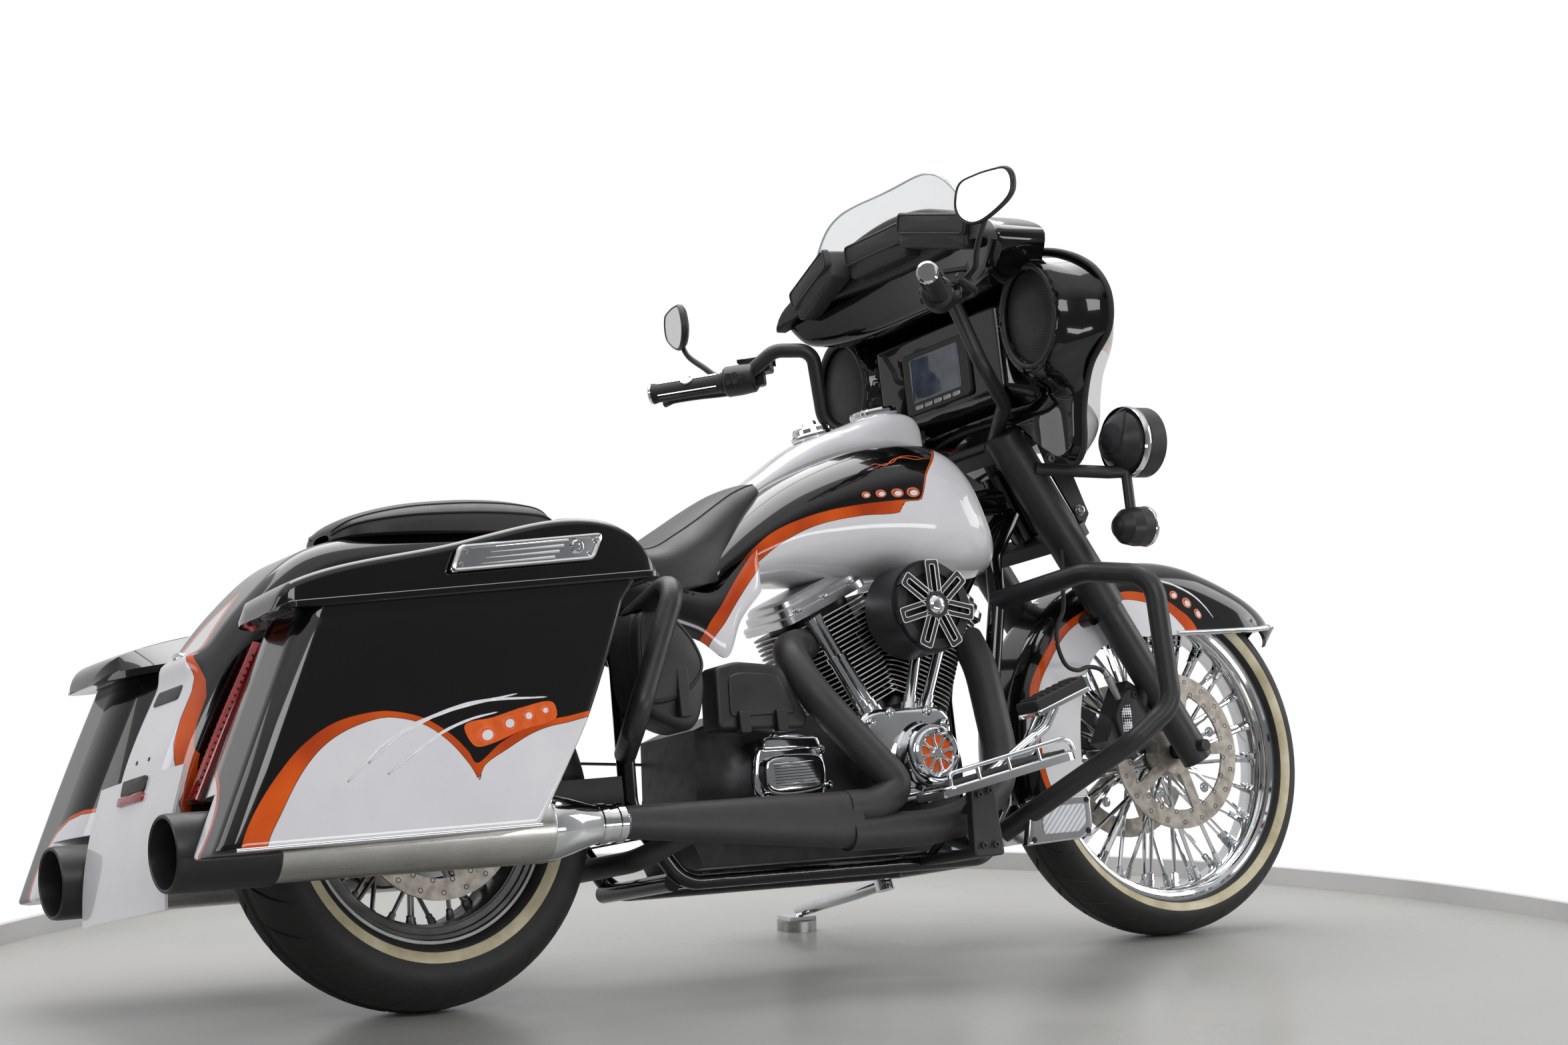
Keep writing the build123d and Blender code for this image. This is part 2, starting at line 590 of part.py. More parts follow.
def fender_filler():
    """Curved lower panel across the tail between the mufflers."""
    outside = Spline((-467, 404), (-488, 330), (-503, 262), (-510, 192))
    inside = Spline((-500, 192), (-493, 262), (-478, 330), (-458, 404))
    face = make_face([outside, Line(outside @ 1, inside @ 0), inside, Line(inside @ 1, outside @ 0)])
    plane = Plane(origin=(0, 176, 0), x_dir=(1, 0, 0), z_dir=(0, -1, 0))
    return extrude(plane * face, amount=352)


def rear_lamps():
    """Slim light bars between the fender and the bags."""
    bar_l = side_slab([(-300, 590), (-318, 590), (-440, 350), (-424, 350)], -BAG_IN_Y, -FENDER_HALF)
    return both(bar_l)


def bag_top(x):
    """Height of the joint between tub and lid."""
    return 600 + (x + 375) * 36 / 590


def bag_outline(grow=0.0, top=0.0):
    """Side outline of a saddlebag tub, grown outward or raised at its open top."""
    g = grow
    return [(-525 - g, 248 - g), (0 + g, 256 - g), (95 + g, 407), (185 + g, 576),
            (215 + g + BAG_FRONT_SLOPE * top, bag_top(215) + top),
            (-375 - g + BAG_REAR_SLOPE * top, bag_top(-375) + top)]


def bag_block(grow, top, corner):
    """Solid of a saddlebag's side outline with rounded outer corners."""
    block = side_slab(bag_outline(grow, top), -BAG_OUT_Y - grow, -BAG_IN_Y + grow)
    outer = [e for e in block.edges() if abs(e.center().Y + BAG_OUT_Y + grow) < 0.5]
    return fillet([e for e in outer if e.center().Z < 600], corner)


def bag_tub():
    """Right-hand tub: open at the top, with a tunnel over the muffler."""
    shell = bag_block(0.0, 0.0, BAG_CORNER)
    tunnel = box(-700, 400, -PIPE_Y - 70, -100, 100, 346)
    inner = bag_block(-BAG_WALL, 30.0, BAG_CORNER - BAG_WALL)
    inner -= box(-700, 400, -PIPE_Y - 70 - BAG_WALL, -100, 100, 346 + BAG_WALL)
    tub = shell - tunnel - inner
    for x in HINGE_X:
        tub += hinge_pin(x, HINGE_PIN_R, HINGE_HALF)
    return tub


def hinge_pin(x, radius, half):
    """Cylinder on the right-hand lid's hinge axis, centred at x."""
    z = bag_top(x)
    run = Vector(590, 0, 36).normalized() * half
    middle = Vector(x, -BAG_IN_Y, z)
    return rod(middle - run, middle + run, radius)


def bag_lid():
    """Right-hand lid: a shallow hollow cap with a raised speaker pod."""
    seam = [(x, bag_top(x) + CLEAR) for x in (-407, 262)]
    outline = [seam[0], (-370, 643), (-287, 665), (58, 733), (155, 734), (233, 690), seam[1]]
    lid = side_slab(outline, -BAG_OUT_Y - LID_LIP, -BAG_IN_Y)
    inner = [(-398, 560), (-365, 638), (-285, 660), (58, 728), (155, 729), (229, 688), (255, 560)]
    lid -= side_slab(inner, -BAG_OUT_Y - LID_LIP + BAG_WALL, -BAG_IN_Y - BAG_WALL)
    rim = side_slab([seam[0], seam[1], (256, bag_top(256) + 4), (-400, bag_top(-400) + 4)],
                    -BAG_OUT_Y - LID_LIP, -BAG_OUT_Y + BAG_WALL - 1)
    draft = Plane(origin=(-420, 0, 0), x_dir=(0, 1, 0), z_dir=(1, 0, 0)) * make_face(
        Polyline((-BAG_IN_Y, LID_KERB), (-BAG_IN_Y - LID_DRAFT, 160), (-100, 160), (-100, LID_KERB),
                close=True))
    slope = Pos(0, 0, bag_top(0)) * Rot(0, -LID_SLOPE, 0) * extrude(draft, amount=720)
    skin = Pos(0, -BAG_WALL, -BAG_WALL) * slope
    panel = (skin - slope) & side_slab(outline, -BAG_OUT_Y, -BAG_IN_Y)
    lid = (lid - slope) + rim + panel
    for x in HINGE_X:
        lid -= hinge_pin(x, HINGE_PIN_R + CLEAR, HINGE_HALF + CLEAR)
    return lid


def bag_latch():
    """Slanted latch plate over the joint of lid and tub, carried by the lid."""
    outline = [(-125, 648), (-105, 690), (150, 708), (128, 665)]
    return side_slab(outline, -BAG_OUT_Y - LID_LIP - 8, -BAG_OUT_Y - LID_LIP)


def side_covers():
    """Panels under the seat that carry on from the tank's tail."""
    cover = side_slab([(330, 690), (580, 690), (600, 640), (556, 539), (509, 575), (430, 600), (330, 610)],
            -172, -150)
    return both(cover)


def electrics_box():
    """Box above the gearbox and the rounded cover behind it."""
    case = side_slab([(492, 417), (498, 524), (542, 533), (632, 524), (679, 430), (669, 412)], -196, -118)
    pouch = side_slab([(372, 432), (330, 470), (330, 620), (400, 620), (455, 552), (462, 493), (423, 417)],
                      -238, -150)
    return group(case, pouch)


# ---------------------------------------------------------------- guards and foot controls
def guard_bars():
    """Engine guard loops and the hoops ahead of the saddlebags."""
    loop = tube([(GUARD_X, -DOWNTUBE_Y, KNEE_Z), (1258, -290, 662), (1318, -400, 636), (1323, -400, 400),
                 (1262, -360, 345), (1110, -140, 210)], GUARD_R, [60, 55, 55, 60])
    hoop = tube([(352, -SEAT_RAIL_Y, 600), (362, -330, 660), (238, -352, 415), (350, -124, 392)],
                GUARD_R, [45, 45])
    return both(loop), both(hoop)


def floorboards():
    """Footboards on their brackets."""
    board = side_slab([(812, 262), (815, 280), (1095, 330), (1102, 314)], -400, -285)
    bracket = box(925, 985, -300, -RAIL_Y - FRAME_TUBE_R - CLEAR, RAIL_Z - 8, RAIL_Z + 8)
    bracket += side_slab([(925, RAIL_Z - 8), (925, 290), (985, 302), (985, RAIL_Z - 8)], -300, -286)
    return both(board + bracket)


def foot_controls():
    """Brake pedal on the right and shifter on the left."""
    pad = side_slab([(1068, 402), (1180, 440), (1190, 462), (1078, 424)], -350, -290)
    arm = tube([(1120, -320, 415), (1095, -318, 380), (985, -270, 300), (985, -150, 300)], 9.0, [25, 25])
    return group(pad + arm, mirror_y(pad + arm))


def chin_fairing():
    """Chin panel ahead of the crankcase with framed side plates."""
    side = side_slab([(1120, 182), (1270, 190), (1274, 262), (1140, 262)], -196, -184)
    front = box(1180, 1186, -190, 190, 190, 262)
    return side + mirror_y(side) + front


# ---------------------------------------------------------------- steered pieces
def fork_uppers():
    """Covered fork tubes with the upper and lower yokes, the stem and the lamp brackets."""
    steer = Vector(-math.sin(math.radians(STEER_RAKE)), 0, math.cos(math.radians(STEER_RAKE)))
    stem = rod((on_steer(LOWER_TREE_Z + 5), 0, LOWER_TREE_Z + 5), (on_steer(UPPER_TREE_Z), 0,
            UPPER_TREE_Z), STEM_R)
    body = stem
    for s in SIDES:
        body += rod((on_fork(620), s * FORK_Y, 620), (on_fork(FORK_TOP_Z), s * FORK_Y, FORK_TOP_Z),
                FORK_UPPER_R)
        wing = [(1305, 948), (1372, 905), (1410, 800), (1392, 772), (1330, 880)]
        body += side_slab(wing, min(s * 128, s * 134), max(s * 128, s * 134))
    for z in (LOWER_TREE_Z, UPPER_TREE_Z):
        plane = Plane(origin=(on_steer(z), 0, z), x_dir=(0, 1, 0), z_dir=(steer.X, steer.Y, steer.Z))
        body += extrude(plane * Pos(0, 15) * RectangleRounded(2 * FORK_Y + 60, 86, 30), amount=TREE_T - 1)
    return body


def fork_lowers():
    """Lower fork legs with the front axle."""
    body = rod((WHEELBASE, -AXLE_STEP_Y, FRONT_AXLE_Z), (WHEELBASE, AXLE_STEP_Y, FRONT_AXLE_Z), AXLE_R)
    body += rod((WHEELBASE, -AXLE_END_Y, FRONT_AXLE_Z), (WHEELBASE, AXLE_END_Y, FRONT_AXLE_Z), AXLE_STUB_R)
    for s in SIDES:
        body += rod((on_fork(FRONT_AXLE_Z - 22), s * FORK_Y, FRONT_AXLE_Z - 22),
                    (on_fork(620), s * FORK_Y, 620), FORK_LOWER_R)
    return body


def front_calipers():
    """Calipers on the fork legs, slotted over the discs."""
    x, z = WHEELBASE - 128, FRONT_AXLE_Z + 62
    block = Pos(x, -85, z) * Rot(0, 30, 0) * Box(70, 54, 130)
    slot = drum(WHEELBASE, FRONT_AXLE_Z, FRONT_DISC_R + 4, -FRONT_DISC_Y - 5.5, -FRONT_DISC_Y + 5.5)
    lug = rod((x + 30, -104, z + 10), (on_fork(z + 60) - 20, -FORK_Y, z + 60), 12.0)
    return both(block - slot + lug)


def fender_ring(half, crown, depth):
    """Ring of a fender's cross profile: flat sides up to the shoulder and an elliptical crown."""
    arc = EllipticalCenterArc((crown - F_SHOULDER, 0), F_SHOULDER, half, start_angle=-90, arc_size=180)
    side = Polyline(arc @ 1, (crown - depth, half), (crown - depth, -half), arc @ 0)
    return revolve(make_face([arc, side]), axis=Axis.Y)


def fender_part(crown, region):
    """Hollow fender ring of a crown radius that meets the arch at the flare angle, cut to a region."""
    wall = FENDER_WALL
    ring = fender_ring(F_FENDER_HALF, crown, 180) - fender_ring(F_FENDER_HALF - wall, crown - wall, 190)
    back = crown - F_FENDER_R
    flare = math.radians(FLARE_ANGLE)
    ring = Pos(WHEELBASE - back * math.cos(flare), 0, FRONT_AXLE_Z - back * math.sin(flare)) * ring
    return ring & side_slab(region, -200, 200)


def front_fender():
    """Deep front fender that wraps the tyre, with long side skirts and a flared tip."""
    flare = math.radians(FLARE_ANGLE)
    top = (WHEELBASE + 700 * math.cos(flare), FRONT_AXLE_Z + 700 * math.sin(flare))
    low = (WHEELBASE + SKIRT_R * math.cos(flare), FRONT_AXLE_Z + SKIRT_R * math.sin(flare))
    skirt = [(1100, 262), (1362, 267), (1360, 362), (1391, 491), (1440, 548), (1500, 566), low, top, (1100,
            1000)]
    tip = [low, (1846, 572), (1932, 588), (1990, 640), (1990, 1000), top]
    shell = fender_part(F_FENDER_R, skirt) + fender_part(FLARE_R, tip)
    for s in SIDES:
        shell += rod((on_fork(600), s * (F_FENDER_HALF - 2), 600), (on_fork(600), s * (FORK_Y - 12), 600),
                12.0)
    return shell


def fairing_outline(share, inset=0.0):
    """Closed outline of the batwing, from the wide back edge (share 0) to the lamp nacelle (share 1)."""
    back = [(0, 1298), (150, 1292), (300, 1262), (400, 1212), (444, 1150), (436, 1085), (372, 1030), (338,
            960),
            (322, 885), (290, 862), (250, 898), (150, 968), (0, 988)]
    nose = [(0, 1205), (70, 1200), (130, 1185), (172, 1158), (190, 1120), (186, 1082), (168, 1045), (150,
            1010),
            (126, 985), (100, 968), (74, 958), (40, 952), (0, 950)]
    half = []
    for (y0, z0), (y1, z1) in zip(back, nose):
        y, z = y0 + (y1 - y0) * share, z0 + (z1 - z0) * share
        reach = math.hypot(y, z - 1080)
        keep = (reach - inset) / reach
        half.append((y * keep, 1080 + (z - 1080) * keep))
    return half + [(-y, z) for y, z in reversed(half[1:-1])]


def fairing_body(inset, start, end):
    """Loft of the batwing whose sides round in towards the nose like a quarter of an ellipse."""
    faces = []
    last = math.radians(72)
    for step in range(4):
        a = last * step / 3
        x = start + (end - start) * math.sin(a) / math.sin(last)
        share = (1 - math.cos(a)) / (1 - math.cos(last))
        ring = Spline(*fairing_outline(share, inset), periodic=True)
        faces.append(Plane(origin=(x, 0, 0), x_dir=(0, 1, 0), z_dir=(1, 0, 0)) * make_face(ring))
    return loft(faces)


def fairing_shell():
    """Batwing shell round the bars with its headlamp rim; the dash closes its back."""
    outer = fairing_body(0.0, FAIRING_X, NOSE_X)
    inner = fairing_body(FAIRING_WALL, FAIRING_X - 1, NOSE_X - FAIRING_WALL)
    rim = drum_x(NOSE_X - 2, NOSE_X + 14, 0, HEADLAMP_Z, HEADLAMP_R)
    return outer - inner + rim


def fairing_dash():
    """Inner fairing: a plate that swells towards the rider, with speaker pods and the display."""
    ring = Spline(*fairing_outline(0.0, FAIRING_WALL + 2), periodic=True)
    panel = extrude(Plane(origin=(FAIRING_X + 6, 0, 0), x_dir=(0, 1, 0), z_dir=(1, 0,
            0)) * make_face(ring), amount=-22)
    pod = turn_along([(0, 126), (24, 118), (52, 96), (58, 84)], (FAIRING_X - 14, -311, 1130),
                     (FAIRING_X - 72, -311, 1130))
    middle = loft([Plane(origin=(FAIRING_X - 10, 0, 1110), x_dir=(0, 1, 0), z_dir=(-1, 0, 0))
                   * RectangleRounded(440, 220, 50),
                   Plane(origin=(FAIRING_X - 64, 0, 1105), x_dir=(0, 1, 0), z_dir=(-1, 0, 0))
                   * RectangleRounded(300, 150, 30)])
    screen = box(FAIRING_X - 72, FAIRING_X - 60, -98, 98, 1040, 1150)
    return panel + pod + mirror_y(pod) + middle + screen


def windscreen():
    """Low curved screen that rises from the fairing's brow."""
    faces = []
    for z, back, wide, grow in ((1278, 1150, 300, 1.0), (1370, 1112, 286, 0.86), (1452, 1080, 190, 0.62)):
        outer = ThreePointArc((back, -wide), (back + 186 * grow, 0), (back, wide))
        inner = ThreePointArc((back, wide - SCREEN_T), (back + 186 * grow - SCREEN_T, 0), (back,
                -wide + SCREEN_T))
        ring = [outer, Line(outer @ 1, inner @ 0), inner, Line(inner @ 1, outer @ 0)]
        faces.append(Pos(0, 0, z) * make_face(ring))
    return loft(faces, ruled=True)


def screen_pouch():
    """Three-pocket pouch under the screen, on the brow of the inner fairing."""
    pockets = [box(1168, 1236, -86, 86, 1214, 1272)]
    for s in SIDES:
        pockets.append(Pos(1196, s * 160, 1232) * Rot(s * -12, 0, s * 16) * Box(58, 140, 58))
    body = pockets[0] + pockets[1] + pockets[2]
    return body


def passing_lamps():
    """Passing lamps with bullet indicators under them, on arms from the fork covers."""
    lamp = turn_along([(0, 16), (10, 36), (34, 57), (58, LAMP_R), (LAMP_LENGTH, LAMP_R)],
                      (LAMP_X, -LAMP_Y, LAMP_Z), (LAMP_X + LAMP_LENGTH, -LAMP_Y, LAMP_Z))
    arm = tube([(on_fork(880), -FORK_Y - FORK_UPPER_R + 4, 880), (1400, -LAMP_Y + 12, 862),
                (1440, -LAMP_Y, 862)], 12.0, 30)
    stalk = rod((1432, -LAMP_Y, 870), (1432, -LAMP_Y, SIGNAL_Z), 10.0)
    signal = turn_along([(0, 8), (6, 20), (22, 33), (44, SIGNAL_R), (72, SIGNAL_R)],
                        (1390, -LAMP_Y, SIGNAL_Z), (1462, -LAMP_Y, SIGNAL_Z))
    return both(lamp + arm + stalk + signal)


def lamp_lenses():
    """Glass of the headlamp and the passing lamps."""
    front = LAMP_X + LAMP_LENGTH
    passing = turn_along([(0, 60), (6, 56), (11, 40), (13, 20)], (front, -LAMP_Y, LAMP_Z), (front + 40,
            -LAMP_Y, LAMP_Z))
    head = turn_along([(0, 84), (10, 80), (20, 58), (25, 26)], (NOSE_X + 14, 0, HEADLAMP_Z),
                      (NOSE_X + 60, 0, HEADLAMP_Z))
    return group(passing, mirror_y(passing), head)


def handlebar():
    """Bars from the upper yoke up past the dash and out to the grips, with a cross tube."""
    root = Vector(1255, -60, 935)
    bar_path = [root, (1206, -176, 998), (1100, -258, 1050), (1068, -226, 1195), (1010, -272, 1204),
            GRIP_ROOT,
                GRIP_ROOT + GRIP_DIR * BAR_END]
    half = tube(bar_path, BAR_R, [60, 50, 30, 40, 50])
    cross = rod(root + Vector(-6, 0, 8), root + Vector(-6, 120, 8), BAR_R - 3)
    return half + mirror_y(half) + cross


def hand_grips():
    """Grips on the bar ends."""
    start, end = GRIP_ROOT + GRIP_DIR * 35, GRIP_ROOT + GRIP_DIR * GRIP_END
    grip = rod(start, end, 19.0)
    bore = rod(start, (GRIP_ROOT + GRIP_DIR * BAR_END), BAR_R)
    return both(grip - bore)


def hand_controls():
    """Switch housings with brake and clutch levers."""
    housing = rod((1000, -322, 1150), (955, -342, 1158), 26.0)
    lever = tube([(985, -330, 1140), (1010, -350, 1138), (905, -480, 1135)], 7.0, 20)
    return both(housing + lever)


def mirrors():
    """Mirrors on stalks from the control housings."""
    u = Vector(-math.cos(math.radians(MIRROR_YAW)), -math.sin(math.radians(MIRROR_YAW)), 0)
    plane = Plane(origin=MIRROR_AT, x_dir=(-u.Y, u.X, 0), z_dir=(u.X, u.Y, u.Z))
    head = extrude(plane * RectangleRounded(MIRROR_W, MIRROR_H, MIRROR_H * 0.46), amount=-MIRROR_T)
    stalk = tube([(985, -336, 1165), (966, -420, 1215), MIRROR_AT - u * (MIRROR_T / 2) - Vector(0, 0, 30)],
            6.0, 40)
    return both(head + stalk)


# ---------------------------------------------------------------- side stand
def side_stand():
    """Stand leg from its pivot under the frame to the foot."""
    barrel = rod(PIVOT - PIVOT_AXIS * BARREL_HALF, PIVOT + PIVOT_AXIS * BARREL_HALF, BARREL_R)
    leg = tube([PIVOT, (PIVOT.X - 2, 240, 140), (PAD_X, PAD_Y - 12, PAD_Z + 12)], STAND_R, 60)
    foot = Pos(PAD_X, PAD_Y, PAD_Z) * Rot(LEAN, 0, 0) * Box(60, 46, PAD_T)
    bore = rod(PIVOT - PIVOT_AXIS * 30, PIVOT + PIVOT_AXIS * 30, PIVOT_PIN_R + RUN_FIT)
    return leg + barrel + foot - bore


def stand_puck():
    """Round puck under the stand's foot: modelled level on the floor, then turned into the upright frame."""
    floor_y = PAD_Y * math.cos(LEAN_RAD) + PAD_Z * math.sin(LEAN_RAD)
    puck = Pos(PAD_X, floor_y, PUCK_H / 2) * Cylinder(PUCK_R, PUCK_H)
    return (Rot(LEAN, 0, 0) * Pos(0, 0, -GROUND_LIFT) * puck)


# ---------------------------------------------------------------- assembly
def build_upright():
    """Every node in the upright frame."""
    front_disc = brake_disc(WHEELBASE, FRONT_AXLE_Z, FRONT_DISC_R, -FRONT_DISC_Y, -FRONT_HUB_Y)
    pulley = drum(0, REAR_AXLE_Z, 104.0, 96, 112) + drum(0, REAR_AXLE_Z, 44.0, REAR_HUB_Y, 96)
    pulley -= drum(0, REAR_AXLE_Z, AXLE_R + 4, 50, 140)
    rocker_boxes, pushrods = valve_gear()
    guard, hoops = guard_bars()
    tub, lid, latch = bag_tub(), bag_lid(), bag_latch()
    return {
        "front_tyre": tyre(WHEELBASE, FRONT_AXLE_Z, FRONT_TYRE_R, FRONT_TYRE_W, FRONT_SIDE_R, FRONT_RIM_R,
                           FRONT_BEAD_Y),
        "front_rim": spoked_wheel(WHEELBASE, FRONT_AXLE_Z, FRONT_RIM_R, FRONT_BEAD_Y, FRONT_SPOKES, 4.0,
                FRONT_HUB_Y),
        "front_discs": both(front_disc),
        "rear_tyre": tyre(0, REAR_AXLE_Z, REAR_TYRE_R, REAR_TYRE_W, REAR_SIDE_R, REAR_RIM_R, REAR_BEAD_Y),
        "rear_rim": spoked_wheel(0, REAR_AXLE_Z, REAR_RIM_R, REAR_BEAD_Y, REAR_SPOKES, 2.5, REAR_HUB_Y),
        "rear_disc": group(brake_disc(0, REAR_AXLE_Z, REAR_DISC_R, -REAR_DISC_Y, -REAR_HUB_Y), pulley),
        "frame_tubes": frame_tubes(),
        "rear_suspension": rear_suspension(),
        "engine_case": engine_case(),
        "engine_cylinders": engine_cylinders(),
        "valve_gear": group(*rocker_boxes, *pushrods),
        "cam_cover": cam_cover(),
        "drive_covers": drive_covers(),
        "air_cleaner": air_cleaner(),
        "exhaust_headers": exhaust_headers(),
        "mufflers": mufflers(),
        "muffler_tips": muffler_tips(),
        "drive_belt": drive_belt(),
        "fuel_tank": fuel_tank(),
        "tank_console": tank_console(),
        "rider_seat": rider_seat(),
        "passenger_pad": passenger_pad(),
        "side_covers": side_covers(),
        "electrics_box": electrics_box(),
        "rear_fender": rear_fender(),
        "fender_filler": fender_filler(),
        "rear_lamps": rear_lamps(),
        "bag_tubs": both(tub),
        "guard_bars": group(guard, hoops),
        "floorboards": both(floorboards()),
        "foot_controls": foot_controls(),
        "chin_fairing": chin_fairing(),
        "fork_uppers": fork_uppers(),
        "fork_lowers": fork_lowers(),
        "front_calipers": front_calipers(),
        "front_fender": front_fender(),
        "fairing_shell": fairing_shell(),
        "fairing_dash": fairing_dash(),
        "windscreen": windscreen(),
        "screen_pouch": screen_pouch(),
        "passing_lamps": passing_lamps(),
        "lamp_lenses": lamp_lenses(),
        "handlebar": handlebar(),
        "hand_grips": hand_grips(),
        "hand_controls": hand_controls(),
        "mirrors": mirrors(),
        "bag_lid_right": lid,
        "bag_lid_left": mirror_y(lid),
        "bag_latch_right": latch,
        "bag_latch_left": mirror_y(latch),
        "side_stand": side_stand(),
        "stand_puck": stand_puck(),
    }


# each piece that is coped or notched to the pieces it meets
CUT_BY = {
    "frame_tubes": ["engine_case"],
    "rear_suspension": ["frame_tubes", "drive_covers", "engine_case"],
    "engine_cylinders": ["engine_case", "frame_tubes"],
    "valve_gear": ["engine_cylinders", "engine_case"],
    "cam_cover": ["engine_case", "valve_gear"],
    "drive_covers": ["engine_case", "frame_tubes"],
    "air_cleaner": ["engine_cylinders", "valve_gear"],
    "exhaust_headers": ["engine_cylinders", "engine_case", "cam_cover", "drive_covers", "frame_tubes",
                        "rear_suspension"],
    "drive_belt": ["engine_case", "drive_covers", "frame_tubes", "exhaust_headers"],
    "mufflers": ["exhaust_headers"],
    "muffler_tips": ["mufflers"],
    "fuel_tank": ["frame_tubes", "valve_gear", "engine_cylinders", "air_cleaner"],
    "tank_console": ["fuel_tank"],
    "rider_seat": ["fuel_tank", "tank_console", "frame_tubes"],
    "passenger_pad": ["rear_fender"],
    "side_covers": ["fuel_tank", "rider_seat", "frame_tubes", "exhaust_headers"],
    "electrics_box": ["side_covers", "exhaust_headers", "frame_tubes", "drive_covers"],
    "rear_fender": ["frame_tubes", "rear_suspension", "rider_seat"],
    "fender_filler": ["rear_fender", "muffler_tips"],
    "rear_lamps": ["rear_fender", "fender_filler"],
    "bag_tubs": ["rear_lamps", "mufflers", "muffler_tips", "rear_suspension"],
    "guard_bars": ["frame_tubes", "bag_tubs", "side_covers", "electrics_box", "exhaust_headers"],
    "chin_fairing": ["frame_tubes", "guard_bars", "exhaust_headers"],
    "floorboards": ["frame_tubes", "exhaust_headers", "drive_covers", "engine_case", "cam_cover"],
    "foot_controls": ["cam_cover", "frame_tubes", "floorboards", "exhaust_headers", "drive_covers",
            "guard_bars"],
    "fork_lowers": ["fork_uppers"],
    "front_calipers": ["fork_lowers", "fork_uppers"],
    "front_fender": ["fork_lowers", "fork_uppers"],
    "fairing_shell": ["fork_uppers"],
    "fairing_dash": ["fairing_shell", "fork_uppers"],
    "screen_pouch": ["fairing_shell", "fairing_dash"],
    "windscreen": ["fairing_shell", "fairing_dash"],
    "passing_lamps": ["fork_uppers", "fairing_shell"],
    "handlebar": ["fork_uppers", "fairing_dash", "fairing_shell"],
    "hand_controls": ["handlebar", "hand_grips"],
    "mirrors": ["hand_controls", "handlebar"],
}


def coped(parts):
    """Trim each piece against the ones it meets, so that neighbours seat face to face."""
    done = dict(parts)
    for name, others in CUT_BY.items():
        shape = done[name]
        for other in others:
            shape = shape - list(done[other].solids())
        done[name] = shape
    return done


def lean(shape):
    """Set a piece of the upright bike down as it parks."""
    return Pos(0, 0, GROUND_LIFT) * Rot(-LEAN, 0, 0) * shape


def main():
    """Build, lean, centre and write every node."""
    os.makedirs("parts", exist_ok=True)
    parked = {name: lean(shape) for name, shape in coped(build_upright()).items()}
    limits = Compound(children=[Compound(children=list(p.solids())) for p in parked.values()]).bounding_box()
    centre = ((limits.min.X + limits.max.X) / 2, (limits.min.Y + limits.max.Y) / 2, limits.min.Z)
    print("centre shift", [round(-c, 4) for c in centre])
    for name, shape in parked.items():
        solids = (Pos(-centre[0], -centre[1], -centre[2]) * Compound(children=list(shape.solids()))).solids()
        export_step(solids[0] if len(solids) == 1 else Compound(children=list(solids)), f"parts/{name}.step")


if __name__ == "__main__":
    main()
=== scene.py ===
# %% [markdown]
# # Dressing a touring motorcycle
# The construction model brings every part at its real size and place. This notebook gives each part its
# finish, and replaces the painted bodywork, the leather and the tyres with surfaces worked out by formula.
# Everything is drawn in the frame of an upright bike: x forward from the rear axle, y to the rider's left,
# z up from the floor, in millimetres. One function then sets a shape down as the bike parks.

# %% Load the frame
import itertools
import json
import math
import bmesh
import bpy
import numpy as np
from mathutils import Matrix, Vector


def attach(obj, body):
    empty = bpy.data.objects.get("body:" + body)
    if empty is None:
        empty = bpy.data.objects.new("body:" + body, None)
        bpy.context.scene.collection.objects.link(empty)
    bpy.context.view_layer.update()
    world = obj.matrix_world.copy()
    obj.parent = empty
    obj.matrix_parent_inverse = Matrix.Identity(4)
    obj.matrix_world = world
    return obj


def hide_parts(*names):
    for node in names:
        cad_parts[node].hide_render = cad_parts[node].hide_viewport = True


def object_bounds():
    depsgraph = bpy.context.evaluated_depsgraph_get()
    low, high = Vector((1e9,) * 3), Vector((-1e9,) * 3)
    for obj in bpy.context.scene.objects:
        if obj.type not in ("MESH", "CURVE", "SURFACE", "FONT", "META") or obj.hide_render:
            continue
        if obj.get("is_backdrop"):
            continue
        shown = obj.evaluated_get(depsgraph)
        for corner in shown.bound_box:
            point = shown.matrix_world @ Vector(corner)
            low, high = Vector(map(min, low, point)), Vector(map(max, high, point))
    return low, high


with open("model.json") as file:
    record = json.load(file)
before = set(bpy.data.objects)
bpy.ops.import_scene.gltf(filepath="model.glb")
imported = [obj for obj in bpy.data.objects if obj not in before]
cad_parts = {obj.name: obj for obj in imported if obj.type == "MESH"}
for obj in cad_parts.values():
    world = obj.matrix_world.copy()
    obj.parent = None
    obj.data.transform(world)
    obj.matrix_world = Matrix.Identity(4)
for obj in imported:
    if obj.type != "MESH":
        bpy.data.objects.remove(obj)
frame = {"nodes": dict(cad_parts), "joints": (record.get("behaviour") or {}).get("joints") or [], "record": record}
bpy.context.scene.view_settings.view_transform = "Standard"
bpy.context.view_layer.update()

# %% [markdown]
# ## From the upright bike to the parked one
# The rear wheel's joint tells where the axle is and how far the bike leans, so nothing is measured twice.
# A shape is turned about the axle line by the lean and moved to the axle's place.

# %% Parking transform
def xyz(*parts):
    """Coordinates side by side as points; a single number or a row is spread to the shape of the others."""
    return np.stack(np.broadcast_arrays(*parts), -1)


JOINTS = {j["name"]: j for j in frame["joints"]}
HUB = np.array(JOINTS["rear_wheel_spin"]["pos_m"])
AXLE_DIRECTION = np.array(JOINTS["rear_wheel_spin"]["axis"])
LEAN = math.atan2(-AXLE_DIRECTION[2], AXLE_DIRECTION[1])
REAR_AXLE_Z = 320.0


